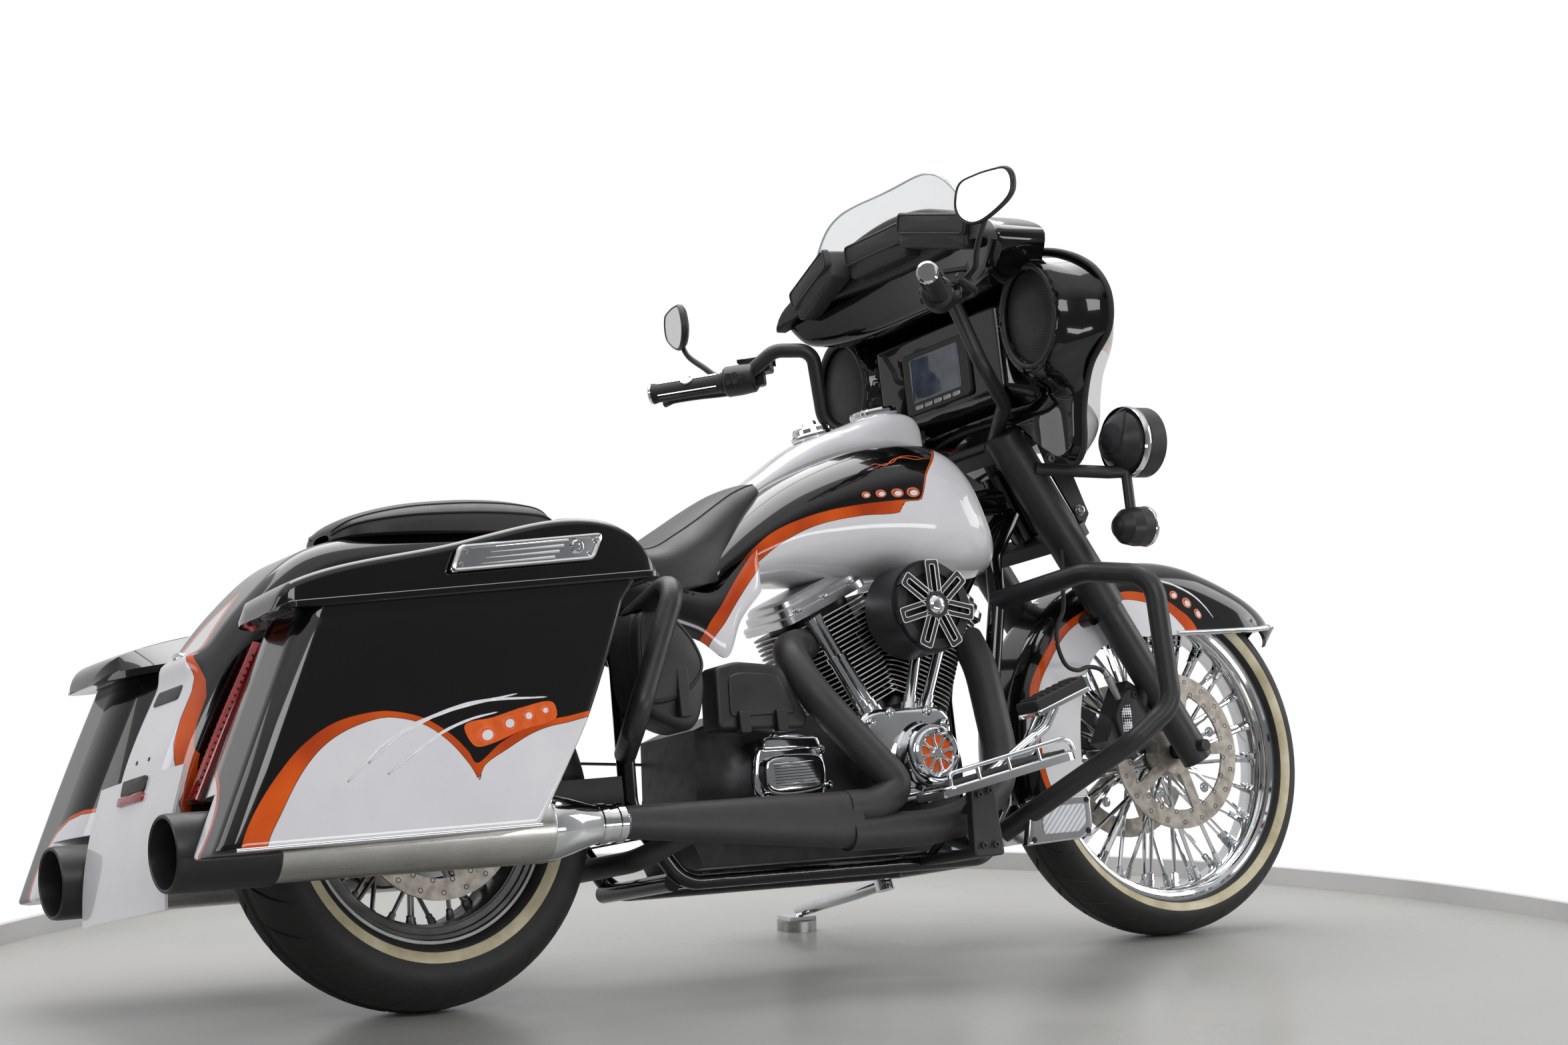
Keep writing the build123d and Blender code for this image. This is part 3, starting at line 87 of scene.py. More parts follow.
def park(points):
    """Upright millimetres to parked metres: turn about the rear axle by the lean, then add its place."""
    p = np.asarray(points, float)
    x, y, z = p[..., 0], p[..., 1], p[..., 2] - REAR_AXLE_Z
    turned = xyz(x, y * math.cos(LEAN) + z * math.sin(LEAN), z * math.cos(LEAN) - y * math.sin(LEAN))
    return turned / 1000 + HUB


FRONT_AXLE_X = 1596.0
FRONT_AXLE_Z = REAR_AXLE_Z + (JOINTS["front_wheel_spin"]["pos_m"][2] - HUB[2]) * 1000 / math.cos(LEAN)
print("lean", round(math.degrees(LEAN), 2), "front axle height", round(FRONT_AXLE_Z, 1))

# %% [markdown]
# ## Grids become meshes
# A surface is a function of two parameters, sampled on a grid of rows and columns. Each cell of the grid is
# one face. Grids that close on themselves join the last row or column to the first. Equal points are merged
# at the end, which closes seams and poles.

# %% Grid helpers
def grid_faces(rows, columns, close_rows, close_columns):
    """Corner numbers of every cell: (i, j), (i + 1, j), (i + 1, j + 1), (i, j + 1), counted row by row."""
    i = np.arange(rows if close_rows else rows - 1)
    j = np.arange(columns if close_columns else columns - 1)
    a, b = [m.ravel() for m in np.meshgrid(i, j, indexing="ij")]
    c, d = (a + 1) % rows, (b + 1) % columns
    return xyz(a * columns + b, c * columns + b, c * columns + d, a * columns + d)


def sheet(grid, close_rows=False, close_columns=False):
    """A grid of points as a list of points and a list of faces."""
    rows, columns = grid.shape[:2]
    return grid.reshape(-1, 3), grid_faces(rows, columns, close_rows, close_columns)


def merged(*shapes):
    """Several shapes as one: the points are stacked, and each face list is raised by the points before it."""
    points, faces, start = [], [], 0
    for p, f in shapes:
        points.append(p)
        faces.append(f + start)
        start += len(p)
    return np.concatenate(points), np.concatenate(faces)


def mirrored(shape):
    """The same shape on the other side of the bike: y changes sign, and the faces turn over."""
    points, faces = shape
    return points * (1, -1, 1), faces[:, ::-1]


def twins(*shapes):
    """Shapes and their mirror images as one shape."""
    shape = merged(*shapes)
    return merged(shape, mirrored(shape))

# %% [markdown]
# ## One call makes a finished piece
# `make_piece` writes the arrays straight into a mesh with `foreach_set`, merges equal points, points the
# faces outward, gives the piece its finish and fastens it to the body it moves with.

# %% Piece maker
def make_piece(name, shape, body, slot, finish=None, replaces=(), flat_angle=40, values=None):
    """Mesh from upright points and faces; edges over flat_angle stay crisp; the slot may give the finish."""
    points, faces = shape
    mesh = bpy.data.meshes.new(name)
    mesh.vertices.add(len(points))
    mesh.vertices.foreach_set("co", park(points).astype(np.float32).ravel())
    mesh.loops.add(faces.size)
    mesh.loops.foreach_set("vertex_index", faces.astype(np.int32).ravel())
    mesh.polygons.add(len(faces))
    mesh.polygons.foreach_set("loop_start", np.arange(0, faces.size, 4, dtype=np.int32))
    for key, array in (values or {}).items():
        mesh.attributes.new(key, "FLOAT", "POINT").data.foreach_set("value", array.astype(np.float32).ravel())
    mesh.update(calc_edges=True)
    bm = bmesh.new()
    bm.from_mesh(mesh)
    bmesh.ops.remove_doubles(bm, verts=bm.verts, dist=2e-6)
    bmesh.ops.dissolve_degenerate(bm, edges=bm.edges, dist=1e-7)
    bmesh.ops.recalc_face_normals(bm, faces=bm.faces)
    bm.to_mesh(mesh)
    bm.free()
    mesh.shade_smooth()
    mesh.set_sharp_from_angle(angle=math.radians(flat_angle))
    piece = bpy.data.objects.new(name, mesh)
    bpy.context.scene.collection.objects.link(piece)
    mesh.materials.append(finish or SLOT_FINISH[slot])
    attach(piece, body)
    if replaces:
        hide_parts(*replaces)
    print(name, len(mesh.polygons), "faces")
    return piece

# %% [markdown]
# ## Smooth curves through a few points
# A form needs few points when a curve runs through them. This one is a cubic from point to point whose slope
# at each point comes from its two neighbours, so it never swings wide of them.

# %% Curves
def smooth_path(points, count, closed=False):
    """Cubic Hermite curve through the points; slopes are (next - last) / (their distance along the curve)."""
    p = np.asarray(points, float)
    if closed:
        p = np.concatenate([p[-2:], p, p[:3]])
    step = np.linalg.norm(np.diff(p, axis=0), axis=1)
    at = np.concatenate([[0], np.cumsum(step)])
    slope = np.empty_like(p)
    slope[1:-1] = (p[2:] - p[:-2]) / (at[2:] - at[:-2])[:, None]
    slope[0], slope[-1] = (p[1] - p[0]) / step[0], (p[-1] - p[-2]) / step[-1]
    start, stop = (at[2], at[-3]) if closed else (0, at[-1])
    s = np.linspace(start, stop, count + 1)[:-1] if closed else np.linspace(start, stop, count)
    k = np.clip(np.searchsorted(at, s, side="right") - 1, 0, len(step) - 1)
    h = step[k]
    t = ((s - at[k]) / h)[:, None]
    h = h[:, None]
    return ((2 * t ** 3 - 3 * t ** 2 + 1) * p[k] + (t ** 3 - 2 * t ** 2 + t) * h * slope[k]
        + (3 * t ** 2 - 2 * t ** 3) * p[k + 1] + (t ** 3 - t ** 2) * h * slope[k + 1])


def unit(v):
    """Vectors of length one."""
    v = np.asarray(v, float)
    return v / np.maximum(np.linalg.norm(v, axis=-1, keepdims=True), 1e-9)


def distance_along(path):
    """Length walked from the first point to each point of a path: the running sum of its steps."""
    return np.concatenate([[0], np.cumsum(np.linalg.norm(np.diff(path, axis=0), axis=1))])


def full_turn(count):
    """Angles of a full turn in equal steps, without the last one, which is the first again."""
    return np.linspace(0, 2 * np.pi, count, endpoint=False)


def rounded_path(points, radius, count):
    """Straight runs whose corners are replaced by a quadratic arc that starts `radius` before each corner."""
    p = np.asarray(points, float)
    made = [p[:1]]
    t = np.linspace(0, 1, count)[:, None]
    for a, b, c in zip(p[:-2], p[1:-1], p[2:]):
        reach = min(radius, 0.48 * np.linalg.norm(a - b), 0.48 * np.linalg.norm(c - b))
        start, stop = b + unit(a - b) * reach, b + unit(c - b) * reach
        made.append((1 - t) ** 2 * start + 2 * t * (1 - t) * b + t ** 2 * stop)
    return np.concatenate(made + [p[-1:]])

# %% [markdown]
# ## Tubes and turned parts
# Bars, hoses and spokes are a circle carried along a path. Wheels, lamps and mufflers are a profile turned
# about a line. Both are grids whose columns join up, so they need no end caps but a point at each end.

# %% Tubes
def tube(path, radius, sides=14, ends=True, reference=(0, 0, 1)):
    """Circle along a path: centre + radius (cos a side + sin a up); side is square to path and reference."""
    p = np.asarray(path, float)
    along = unit(np.gradient(p, axis=0))
    side = unit(np.cross(along, np.asarray(reference, float)))
    up = np.cross(side, along)
    r = np.broadcast_to(np.asarray(radius, float), (len(p),))
    if ends:
        p = np.concatenate([p[:1], p, p[-1:]])
        r = np.concatenate([[0], r, [0]])
        side = np.concatenate([side[:1], side, side[-1:]])
        up = np.concatenate([up[:1], up, up[-1:]])
    a = full_turn(sides)[None, :, None]
    grid = p[:, None] + r[:, None, None] * (np.cos(a) * side[:, None] + np.sin(a) * up[:, None])
    return sheet(grid, close_columns=True)


def turned(profile, centre, direction, sides):
    """Profile of (distance along, radius) turned about a line: centre + s d + r (cos a u + sin a v)."""
    d = unit(direction)
    u = unit(np.cross(d, (0, 0, 1) if abs(d[2]) < 0.9 else (1, 0, 0)))
    v = np.cross(d, u)
    a = np.radians(np.linspace(0, 360, sides, endpoint=False))[None, :, None]
    s, r = [np.asarray(c, float)[:, None, None] for c in zip(*profile)]
    grid = np.asarray(centre, float) + s * d + r * (np.cos(a) * u + np.sin(a) * v)
    return sheet(grid, close_columns=True)

# %% [markdown]
# ## Flat lines and slabs
# Most covers are cut from plate, so their outline says nearly everything. An outline drawn in two
# directions is set at one depth, closed into a tube, or thickened with a rounded edge.

# %% Slabs
def at_y(line, y):
    """A line of (x, z) set at one y."""
    return xyz(line[:, 0], y, line[:, 1])


def at_x(line, x):
    """A line of (y, z) set at one x."""
    return xyz(x, line[:, 0], line[:, 1])


def ring_tube(ring, radius, sides, facing, overlap=1):
    """Tube along a closed ring that lies square to `facing`: its first points come again at the end."""
    return tube(np.concatenate([ring, ring[:overlap]]), radius, sides, ends=False, reference=facing)


def inset(outline, depth):
    """Closed outline moved inward by a depth: each point goes along the mean of its two edges' normals."""
    p = np.asarray(outline, float)
    before, after = unit(p - np.roll(p, 1, 0)), unit(np.roll(p, -1, 0) - p)
    normal = unit(xyz(before[:, 1] + after[:, 1], -before[:, 0] - after[:, 0]))
    stretch = 1 / np.maximum((1 + (before * after).sum(-1)) / 2, 0.35) ** 0.5
    area = (p[:, 0] * np.roll(p[:, 1], -1) - p[:, 1] * np.roll(p[:, 0], -1)).sum()
    return p + normal * (-math.copysign(1, area) * depth * stretch)[:, None]


def slab(outline, y_in, y_out, edge, crown=0.0, rings=5, fill=8):
    """Side outline between y_in and y_out; the outer edge is a quarter circle, the face swells by crown."""
    p = np.asarray(outline, float)
    sign = math.copysign(1, y_out - y_in)
    middle = (p.max(0) + p.min(0)) / 2
    rows = [(p, y_in)]
    for a in np.linspace(0, np.pi / 2, rings):
        rows.append((inset(p, edge * (1 - math.cos(a))), y_out - sign * edge * (1 - math.sin(a))))
    face = inset(p, edge)
    for k in range(1, fill + 1):
        t = k / fill
        rows.append((face + (middle - face) * t, y_out + sign * crown * (1 - (1 - t) ** 2)))
    back = [(p + (middle - p) * t, y_in) for t in (1.0, 0.66, 0.33)]
    grid = np.stack([at_y(q, y) for q, y in back + rows])
    return sheet(grid, close_columns=True)


def block(x0, x1, y0, y1, z0, z1, edge=2.0):
    """Box with bevelled edges, as a slab of a rounded rectangle."""
    c = min(edge, (x1 - x0) / 3, (z1 - z0) / 3)
    a = np.radians(np.arange(0, 360, 15))
    px = np.where(np.cos(a) > 0, x1 - c, x0 + c) + c * np.cos(a)
    pz = np.where(np.sin(a) > 0, z1 - c, z0 + c) + c * np.sin(a)
    return slab(xyz(px, pz), y0, y1, min(edge, abs(y1 - y0) / 3), rings=3, fill=2)

# %% [markdown]
# ## The viewpoint
# The camera stands behind the bike's right side, a little above the height of the seat, and looks level
# across it. A long lens keeps the near saddlebag from growing too large.

# %% Camera
CAMERA_FROM_HUB = np.array([-2.2200, -4.4574, 0.5202])
HEADING = 33.6
camera_data = bpy.data.cameras.new("camera")
camera_data.lens = 68.91
camera_data.sensor_width = 36
camera = bpy.data.objects.new("camera", camera_data)
camera.location = HUB + CAMERA_FROM_HUB
camera.rotation_euler = (math.radians(90 - 0.41), 0, math.radians(-HEADING))
bpy.context.scene.collection.objects.link(camera)
bpy.context.scene.camera = camera
print("camera at", [round(v, 3) for v in camera.location])

# %% [markdown]
# ## Light for black paint
# Black gloss shows its shape only through what it mirrors. Large soft panels above, beside and behind the
# bike draw long highlights along its edges. One more panel, just above the floor, lights the right side
# from below.

# %% Lights
def lamp(name, place, target, size, power):
    """Area light at `place`, in metres from the bike's middle, turned to face `target`."""
    data = bpy.data.lights.new(name, "AREA")
    data.shape = "RECTANGLE"
    data.size, data.size_y = size
    data.energy = power
    light = bpy.data.objects.new(name, data)
    d = unit(np.array(target, float) - np.array(place, float))
    right = unit(np.cross(d, (0, 0, 1)))
    up = np.cross(right, d)
    columns = np.stack([right, up, -d, np.array(place, float)], 1)
    light.matrix_world = Matrix([*columns.tolist(), [0, 0, 0, 1]])
    bpy.context.scene.collection.objects.link(light)


lamp("sky_panel", (0.2, 0.6, 3.6), (0, 0, 0.5), (4.2, 2.2), 95)
lamp("back_panel", (0.8, 3.0, 3.9), (0, 0, 0.7), (4.5, 1.4), 60)
lamp("front_panel", (4.0, -1.6, 1.9), (0.4, 0, 0.6), (2.0, 2.2), 45)
lamp("near_panel", (-1.8, -4.8, 3.1), (0, 0, 0.6), (3.0, 1.4), 70)
lamp("rear_panel", (-4.0, 0.6, 1.7), (-0.6, 0, 0.6), (1.8, 1.8), 24)
lamp("low_panel", (1.3, -4.2, 0.22), (0.4, 0, 0.8), (3.4, 0.5), 32)

# %% [markdown]
# ## Building blocks of a finish
# A finish is a small tree of shader nodes. Each helper below adds one node and gives back what it puts out,
# so a pattern reads like a formula. Patterns are worked out from the place on the piece, so nothing has to
# be unwrapped or painted by hand.

# %% Node helpers
def paint(red, green, blue):
    """Screen colour 0-255 to the linear colour that shaders work in."""
    c = np.array([red, green, blue]) / 255
    return (*np.where(c <= 0.04045, c / 12.92, ((c + 0.055) / 1.055) ** 2.4), 1.0)


def add_node(tree, kind, inputs=None, **settings):
    """New shader node; each input is a constant, or the output socket that feeds it."""
    made = tree.nodes.new("ShaderNode" + kind)
    for key, value in settings.items():
        setattr(made, key, value)
    for key, value in (inputs or {}).items():
        if isinstance(value, bpy.types.NodeSocket):
            tree.links.new(value, made.inputs[key])
        else:
            made.inputs[key].default_value = value
    return made


def blank_material(name):
    """Material with an empty node tree but its output, and the two of them."""
    material = bpy.data.materials.new(name)
    material.use_nodes = True
    tree = material.node_tree
    tree.nodes.clear()
    return material, tree, tree.nodes.new("ShaderNodeOutputMaterial")


def spread(tree, value, low, high, low_to=0, high_to=1):
    """A value's range mapped to another range, held at its ends."""
    return add_node(tree, "MapRange", {"Value": value, "From Min": low, "From Max": high, "To Min": low_to,
        "To Max": high_to}).outputs["Result"]


def noise(tree, place, scale, detail):
    """Soft random pattern with `scale` lumps to the metre."""
    return add_node(tree, "TexNoise", {"Vector": place, "Scale": scale, "Detail": detail}).outputs["Fac"]


def mixed(tree, factor, low, high):
    """Colour between two colours by a factor."""
    return add_node(tree, "Mix", {"Factor": factor, 6: low, 7: high}, data_type="RGBA").outputs[2]


def maths(tree, operation, *values, **settings):
    """One arithmetic step of a shader, such as ADD or SINE."""
    return add_node(tree, "Math", dict(enumerate(values)), operation=operation, **settings).outputs[0]


def finish(name, colour, rough, metal=0.0, shade=0.12, blur=0.08, lumps=40, fine=900, bump=0.15,
        depth=0.0002, pattern=None, **shader):
    """Finish whose colour drifts by `shade` and roughness by `blur` over broad lumps, under a fine bump."""
    material, tree, out = blank_material(name)
    place = add_node(tree, "TexCoord").outputs["Object"]
    broad = noise(tree, place, lumps, 3)
    drift = spread(tree, broad, 0.3, 0.7)
    tint = np.array(colour)
    darker, lighter = (*tint[:3] * (1 - shade), 1), (*np.minimum(tint[:3] * (1 + shade), 1), 1)
    inputs = {"Base Color": mixed(tree, drift, darker, lighter),
        "Roughness": spread(tree, broad, 0.3, 0.7, max(rough - blur / 2, 0.02), rough + blur / 2)}
    height = noise(tree, place, fine, 1)
    if pattern:
        inputs, height = pattern(tree, place, inputs, height)
    relief = add_node(tree, "Bump", {"Height": height, "Strength": bump, "Distance": depth})
    inputs["Normal"] = relief.outputs["Normal"]
    inputs.update({key.replace("_", " "): value for key, value in shader.items()})
    if metal:
        inputs["Metallic"] = metal
    body = add_node(tree, "BsdfPrincipled", inputs)
    tree.links.new(body.outputs[0], out.inputs["Surface"])
    return material

# %% [markdown]
# ## Finishes for the parts that keep their shape
# Metal parts differ less in colour than in how sharply they mirror. Chrome is almost a mirror, brushed steel
# is blurred along fine lines, powder coat has a soft sheen over tiny lumps. Each finish adds a slow drift of
# colour and roughness, because no real surface is the same all over.

# %% Metals
CHROME = finish("chrome", paint(226, 228, 231), 0.07, 1.0, shade=0.05, blur=0.05, lumps=25, bump=0.03)
STEEL = finish("cast_steel", paint(176, 176, 174), 0.34, 1.0, shade=0.12, blur=0.16, lumps=60, bump=0.25)
SATIN_BLACK = finish("satin_black", paint(34, 34, 36), 0.42, shade=0.1, blur=0.1, fine=1400, bump=0.22)
PIPE_BLACK = finish("pipe_black", paint(48, 46, 47), 0.5, shade=0.12, blur=0.12, fine=1600, bump=0.25)
ENGINE_BLACK = finish("engine_black", paint(22, 22, 23), 0.36, shade=0.2, blur=0.16, fine=1100, bump=0.3)
GLOSS_BLACK = finish("gloss_black", paint(9, 9, 10), 0.16, shade=0.15, blur=0.04, lumps=12, bump=0.012,
    depth=0.0001, Coat_Weight=1.0, Coat_Roughness=0.03, Specular_IOR_Level=0.12)
POLISHED = finish("polished_alloy", paint(232, 233, 235), 0.24, 1.0, shade=0.05, blur=0.08, lumps=25,
    bump=0.05)
MOULDED_BLACK = finish("moulded_black", paint(26, 26, 27), 0.45, shade=0.15, blur=0.1, fine=1800, bump=0.35)
RUBBER = finish("rubber", paint(24, 24, 24), 0.62, shade=0.2, blur=0.12, fine=1200, bump=0.3)


def brushed_lines(tree, place, inputs, height):
    """Fine lines that run along the bike: noise stretched far along x."""
    flat = add_node(tree, "Mapping", {"Vector": place, "Scale": (3.0, 260.0, 260.0)}).outputs["Vector"]
    lines = noise(tree, flat, 4.0, 4)
    inputs["Roughness"] = spread(tree, lines, 0.3, 0.7, 0.2, 0.36)
    return inputs, lines


BRUSHED = finish("brushed_steel", paint(196, 195, 192), 0.3, 1.0, shade=0.08, lumps=14, bump=0.12,
    pattern=brushed_lines)

# %% [markdown]
# ## Lenses and glass
# A lens is coloured plastic with small facets, so a lumpy bump does more for it than true refraction. The
# windscreen lets nearly all light through and has a faint painted glow, which keeps it a pale film before dark
# parts.

# %% Lenses and glass
RED_LENS = finish("red_lens", paint(150, 10, 14), 0.12, shade=0.3, blur=0.04, fine=700, bump=0.3,
    Coat_Weight=0.6)
LAMP_GLASS = finish("lamp_glass", paint(214, 218, 222), 0.08, shade=0.06, blur=0.05, lumps=70, bump=0.25,
    Transmission_Weight=0.45, IOR=1.45)
MIRROR_GLASS = finish("mirror_glass", paint(236, 238, 240), 0.03, 1.0, shade=0.02, blur=0.01, bump=0.01)
# The faint white emission is painted light: a glow that keeps the screen pale, though it is no lamp.
GLOWING_SCREEN = finish("clear_screen_painted_glow", paint(250, 251, 252), 0.04, shade=0.01, blur=0.02, bump=0.01,
    Transmission_Weight=0.92, IOR=1.06, Emission_Color=(1, 1, 1, 1), Emission_Strength=0.12)

# %% [markdown]
# ## A finish for every part that arrives
# Each part of the frame has a record slot. A table from slot to finish dresses them all at once, and parts
# that need a closer look are made again further down.

# %% Dress the frame
SLOT_FINISH = {"black_paint": GLOSS_BLACK, "white_paint": GLOSS_BLACK, "satin_black": SATIN_BLACK,
    "pipe_black": PIPE_BLACK, "chrome": CHROME, "brushed": BRUSHED, "steel": STEEL,
    "engine_black": ENGINE_BLACK, "tyre_rubber": RUBBER, "rubber": RUBBER, "leather": MOULDED_BLACK,
    "plastic": MOULDED_BLACK, "gloss_plastic": GLOSS_BLACK, "red_lens": RED_LENS, "lamp_glass": LAMP_GLASS,
    "screen": GLOWING_SCREEN, "mirror_glass": MIRROR_GLASS}
PARTS = frame["nodes"]
for part in frame["record"]["subparts"]:
    slots = PARTS[part["node"]].data.materials
    slots.clear()
    slots.append(SLOT_FINISH[part["material_slot"]])
print(len(PARTS), "parts dressed")

# %% [markdown]
# ## Two-tone paint with a stripe
# The bodywork is black above and pearl white below, with an orange band where they meet. The border is drawn
# once as a polygon in the side view. Every point of the surface stores how far it is inside that polygon, in
# millimetres, and the paint turns that distance into colour, so the edge stays sharp at any size.

# %% Border distance
def border_distance(points, polygon):
    """Signed distance from 2-D points to a closed polygon: least distance to its edges, positive inside."""
    q = np.asarray(points, float).reshape(-1, 2)
    a = np.asarray(polygon, float)
    b = np.roll(a, -1, 0)
    edge = b - a
    best = np.full(len(q), 1e9)
    inside = np.zeros(len(q), bool)
    for start, stop, e in zip(a, b, edge):
        t = np.clip(((q - start) @ e) / max(e @ e, 1e-9), 0, 1)
        best = np.minimum(best, np.linalg.norm(q - start - t[:, None] * e, axis=1))
        crosses = (start[1] > q[:, 1]) != (stop[1] > q[:, 1])
        with np.errstate(divide="ignore", invalid="ignore"):
            inside ^= crosses & (q[:, 0] < start[0] + (q[:, 1] - start[1]) * e[0] / e[1])
    return np.where(inside, best, -best)


OUTSIDE, INSIDE = -50.0, 50.0


def painted_values(orange, white):
    """The two distances that the paint reads, as named arrays."""
    return {"orange_edge": orange.ravel(), "white_edge": white.ravel()}


PAINT_BLACK = paint(8, 8, 9)
PAINT_ORANGE = paint(226, 92, 14)
PAINT_DEEP_ORANGE = paint(176, 58, 8)
PAINT_WHITE = paint(226, 224, 226)


def scheme_colour(tree, place, inputs, height):
    """Black outside, orange past the first border, white past the second, each edged with a hair of black."""
    orange = add_node(tree, "Attribute", attribute_name="orange_edge").outputs["Fac"]
    white = add_node(tree, "Attribute", attribute_name="white_edge").outputs["Fac"]
    flow = noise(tree, place, 7, 2)
    band = mixed(tree, spread(tree, flow, 0.35, 0.65), PAINT_DEEP_ORANGE, PAINT_ORANGE)
    colour = mixed(tree, spread(tree, orange, -0.4, 0.4), PAINT_BLACK, band)
    pearl = mixed(tree, spread(tree, noise(tree, place, 9, 3), 0.3, 0.7), paint(218, 216, 219), PAINT_WHITE)
    hair = mixed(tree, spread(tree, white, -1.2, -0.6), colour, PAINT_BLACK)
    inputs["Base Color"] = mixed(tree, spread(tree, white, -0.4, 0.4), hair, pearl)
    return inputs, height


SCHEME_PAINT = finish("two_tone_paint", PAINT_WHITE, 0.2, blur=0.05, lumps=12, bump=0.012, depth=0.0001,
    pattern=scheme_colour, Coat_Weight=1.0, Coat_Roughness=0.03, Specular_IOR_Level=0.15)

# %% [markdown]
# ## Saddlebag tubs
# A stretched saddlebag runs out to the rear as it goes down, and forward as it goes up. At every height its
# plan is a rectangle with rounded corners, so the tub is a stack of such rings. The outer face swells a few
# millimetres, which is what bends the reflections. The inner rear corner is cut back in a wide arc, and a
# tunnel along the inner foot lets the muffler pass.

# %% Tub rings
BAG_OUT, BAG_IN, TUNNEL_IN = -450.0, -188.0, -312.0
TUB_ROUND, REAR_ROUND = (34.0, 14.0, 8.0), 150.0
ARC_COUNT, TUNNEL_ROWS = 9, 23


def bag_seam(x):
    """Height of the joint between tub and lid: it climbs 36 mm in 590 mm."""
    return 600 + (np.asarray(x, float) + 375) * 36 / 590


def rounded_rings(x0, x1, y0, y1, radii, runs):
    """Per row a rectangle with arcs at its corners x0y0, x1y0, x1y1, x0y1; runs = points along each side."""
    corner_x, corner_y = [x0, x1, x1, x0], [y0, y0, y1, y1]
    toward_x, toward_y = [1, -1, -1, 1], [1, 1, -1, -1]
    start = [180, 270, 0, 90]
    made = []
    for k in range(4):
        r = radii[k][:, None]
        a = np.radians(np.linspace(start[k], start[k] + 90, ARC_COUNT))[None]
        px = corner_x[k][:, None] + toward_x[k] * r + r * np.cos(a)
        py = corner_y[k][:, None] + toward_y[k] * r + r * np.sin(a)
        made.append(xyz(px, py))
    full = []
    for k in range(4):
        t = np.linspace(0, 1, runs[k] + 2)[1:-1][None, :, None]
        full += [made[k], made[k][:, -1:] * (1 - t) + made[(k + 1) % 4][:, :1] * t]
    return np.concatenate(full, 1)


def tub_grid():
    """Rings by height share t: z = foot + t (seam - foot); the front edge leans out, the rear one in."""
    t = np.concatenate([[0, 0, 0.004, 0.012, 0.022], np.linspace(0.04, 0.272, 18), [0.272],
        np.linspace(0.29, 1, 50), [1.0]])
    n = len(t)
    tuck = np.interp(t, [0, 0.004, 0.012, 0.022], [7, 3.5, 1, 0])
    rear = -525 + 165 * t + tuck - 3 * np.sin(np.pi * t)
    front = np.interp(t, [0, 0.43, 0.92, 1], [0, 95, 187, 215]) - tuck + 6 * np.sin(np.pi * t)
    out = BAG_OUT + 5 - 6 * np.sin(np.pi * np.clip(t * 1.05, 0, 1)) ** 0.7 + tuck
    in_tunnel = np.arange(n) < TUNNEL_ROWS
    inner = np.where(in_tunnel, TUNNEL_IN, BAG_IN) - tuck
    round_inside = np.where(in_tunnel, 40.0, REAR_ROUND)
    rings = rounded_rings(rear, front, out, inner, [*[np.full(n, r) for r in TUB_ROUND], round_inside],
        [110, 24, 30, 24])
    middle = np.array([-200.0, -380.0])
    rings[0] = middle
    rings[-1] = np.array([-80.0, -320.0])
    x, y = rings[..., 0], rings[..., 1]
    foot = 248 + 8 * np.clip((x + 525) / 525, 0, 1)
    z = foot + t[:, None] * (bag_seam(x) - foot)
    return xyz(x, y, z)


TUB = tub_grid()
BAG_ORANGE = np.concatenate([[(-488, 200), (-491, 252), (-462, 312), (-407, 378), (-367, 410), (-327, 430),
    (-276, 441), (-237, 442), (-186, 430), (-143, 404), (-112, 372)], [(-104, 356), (-59, 387), (-2, 412),
    (47, 421), (140, 421), (140, 200)]])
BAG_WHITE = [(-449, 200), (-449, 255), (-426, 299), (-391, 354), (-356, 391), (-316, 415), (-264, 431),
    (-232, 432), (-186, 420), (-146, 392), (-112, 352), (-100, 330), (-92, 352), (-50, 376), (0, 400),
    (47, 411), (140, 413), (140, 200)]


def tub_values(grid):
    """Distances from the side-view borders on the outer face, and from a scallop round the muffler behind."""
    x, y, z = grid[..., 0].ravel(), grid[..., 1].ravel(), grid[..., 2].ravel()
    side = xyz(x, z)
    orange = border_distance(side, smooth_path(BAG_ORANGE, 90))
    white = border_distance(side, smooth_path(BAG_WHITE, 90))
    scallop = 96 - np.hypot((y + 268) * 0.86, z - 292)
    outer = y < BAG_OUT + 34
    behind = (x < -300) & ~outer
    return painted_values(np.where(outer, orange, np.where(behind, scallop, OUTSIDE)),
        np.where(outer, white, np.where(behind, scallop - 7, OUTSIDE)))


def doubled(values):
    """The same values for the mirror half."""
    return {key: np.concatenate([array, array]) for key, array in values.items()}


make_piece("saddlebag_tubs", twins(sheet(TUB, close_columns=True)), "frame", "black_paint", SCHEME_PAINT,
    replaces=["bag_tubs"], values=doubled(tub_values(TUB)), flat_angle=35)

# %% [markdown]
# A thin bright moulding closes the foot of each bag. It is one tube, half sunk in the panel.

# %% Foot moulding
foot_x = np.linspace(-498, 2, 40)
foot_line = xyz(foot_x, BAG_OUT + 6, 251 + 8 * (foot_x + 525) / 525)
make_piece("bag_foot_moulding", twins(tube(foot_line, 3.4, 10)), "frame", "chrome")

# %% [markdown]
# ## Saddlebag lids
# A lid is a low roof. Across the bag its section is a lip, a wall, a rounded edge, a roof that falls gently
# inward and a slanted inner wall. The section is carried along the bag, and its height follows a ridge line.
# Its inner rear corner follows the same wide arc as the tub.

# %% Lid sections
LID_OUT, LID_IN_TOP = BAG_OUT - 8, -268.0
LID_REAR, LID_FRONT, LID_ROUND = -407.0, 262.0, 34.0
RIDGE = smooth_path([(-407, 600), (-394, 628), (-372, 645), (-287, 668), (-120, 695), (58, 731), (150, 733),
    (205, 713), (240, 676), (262, 640)], 200)


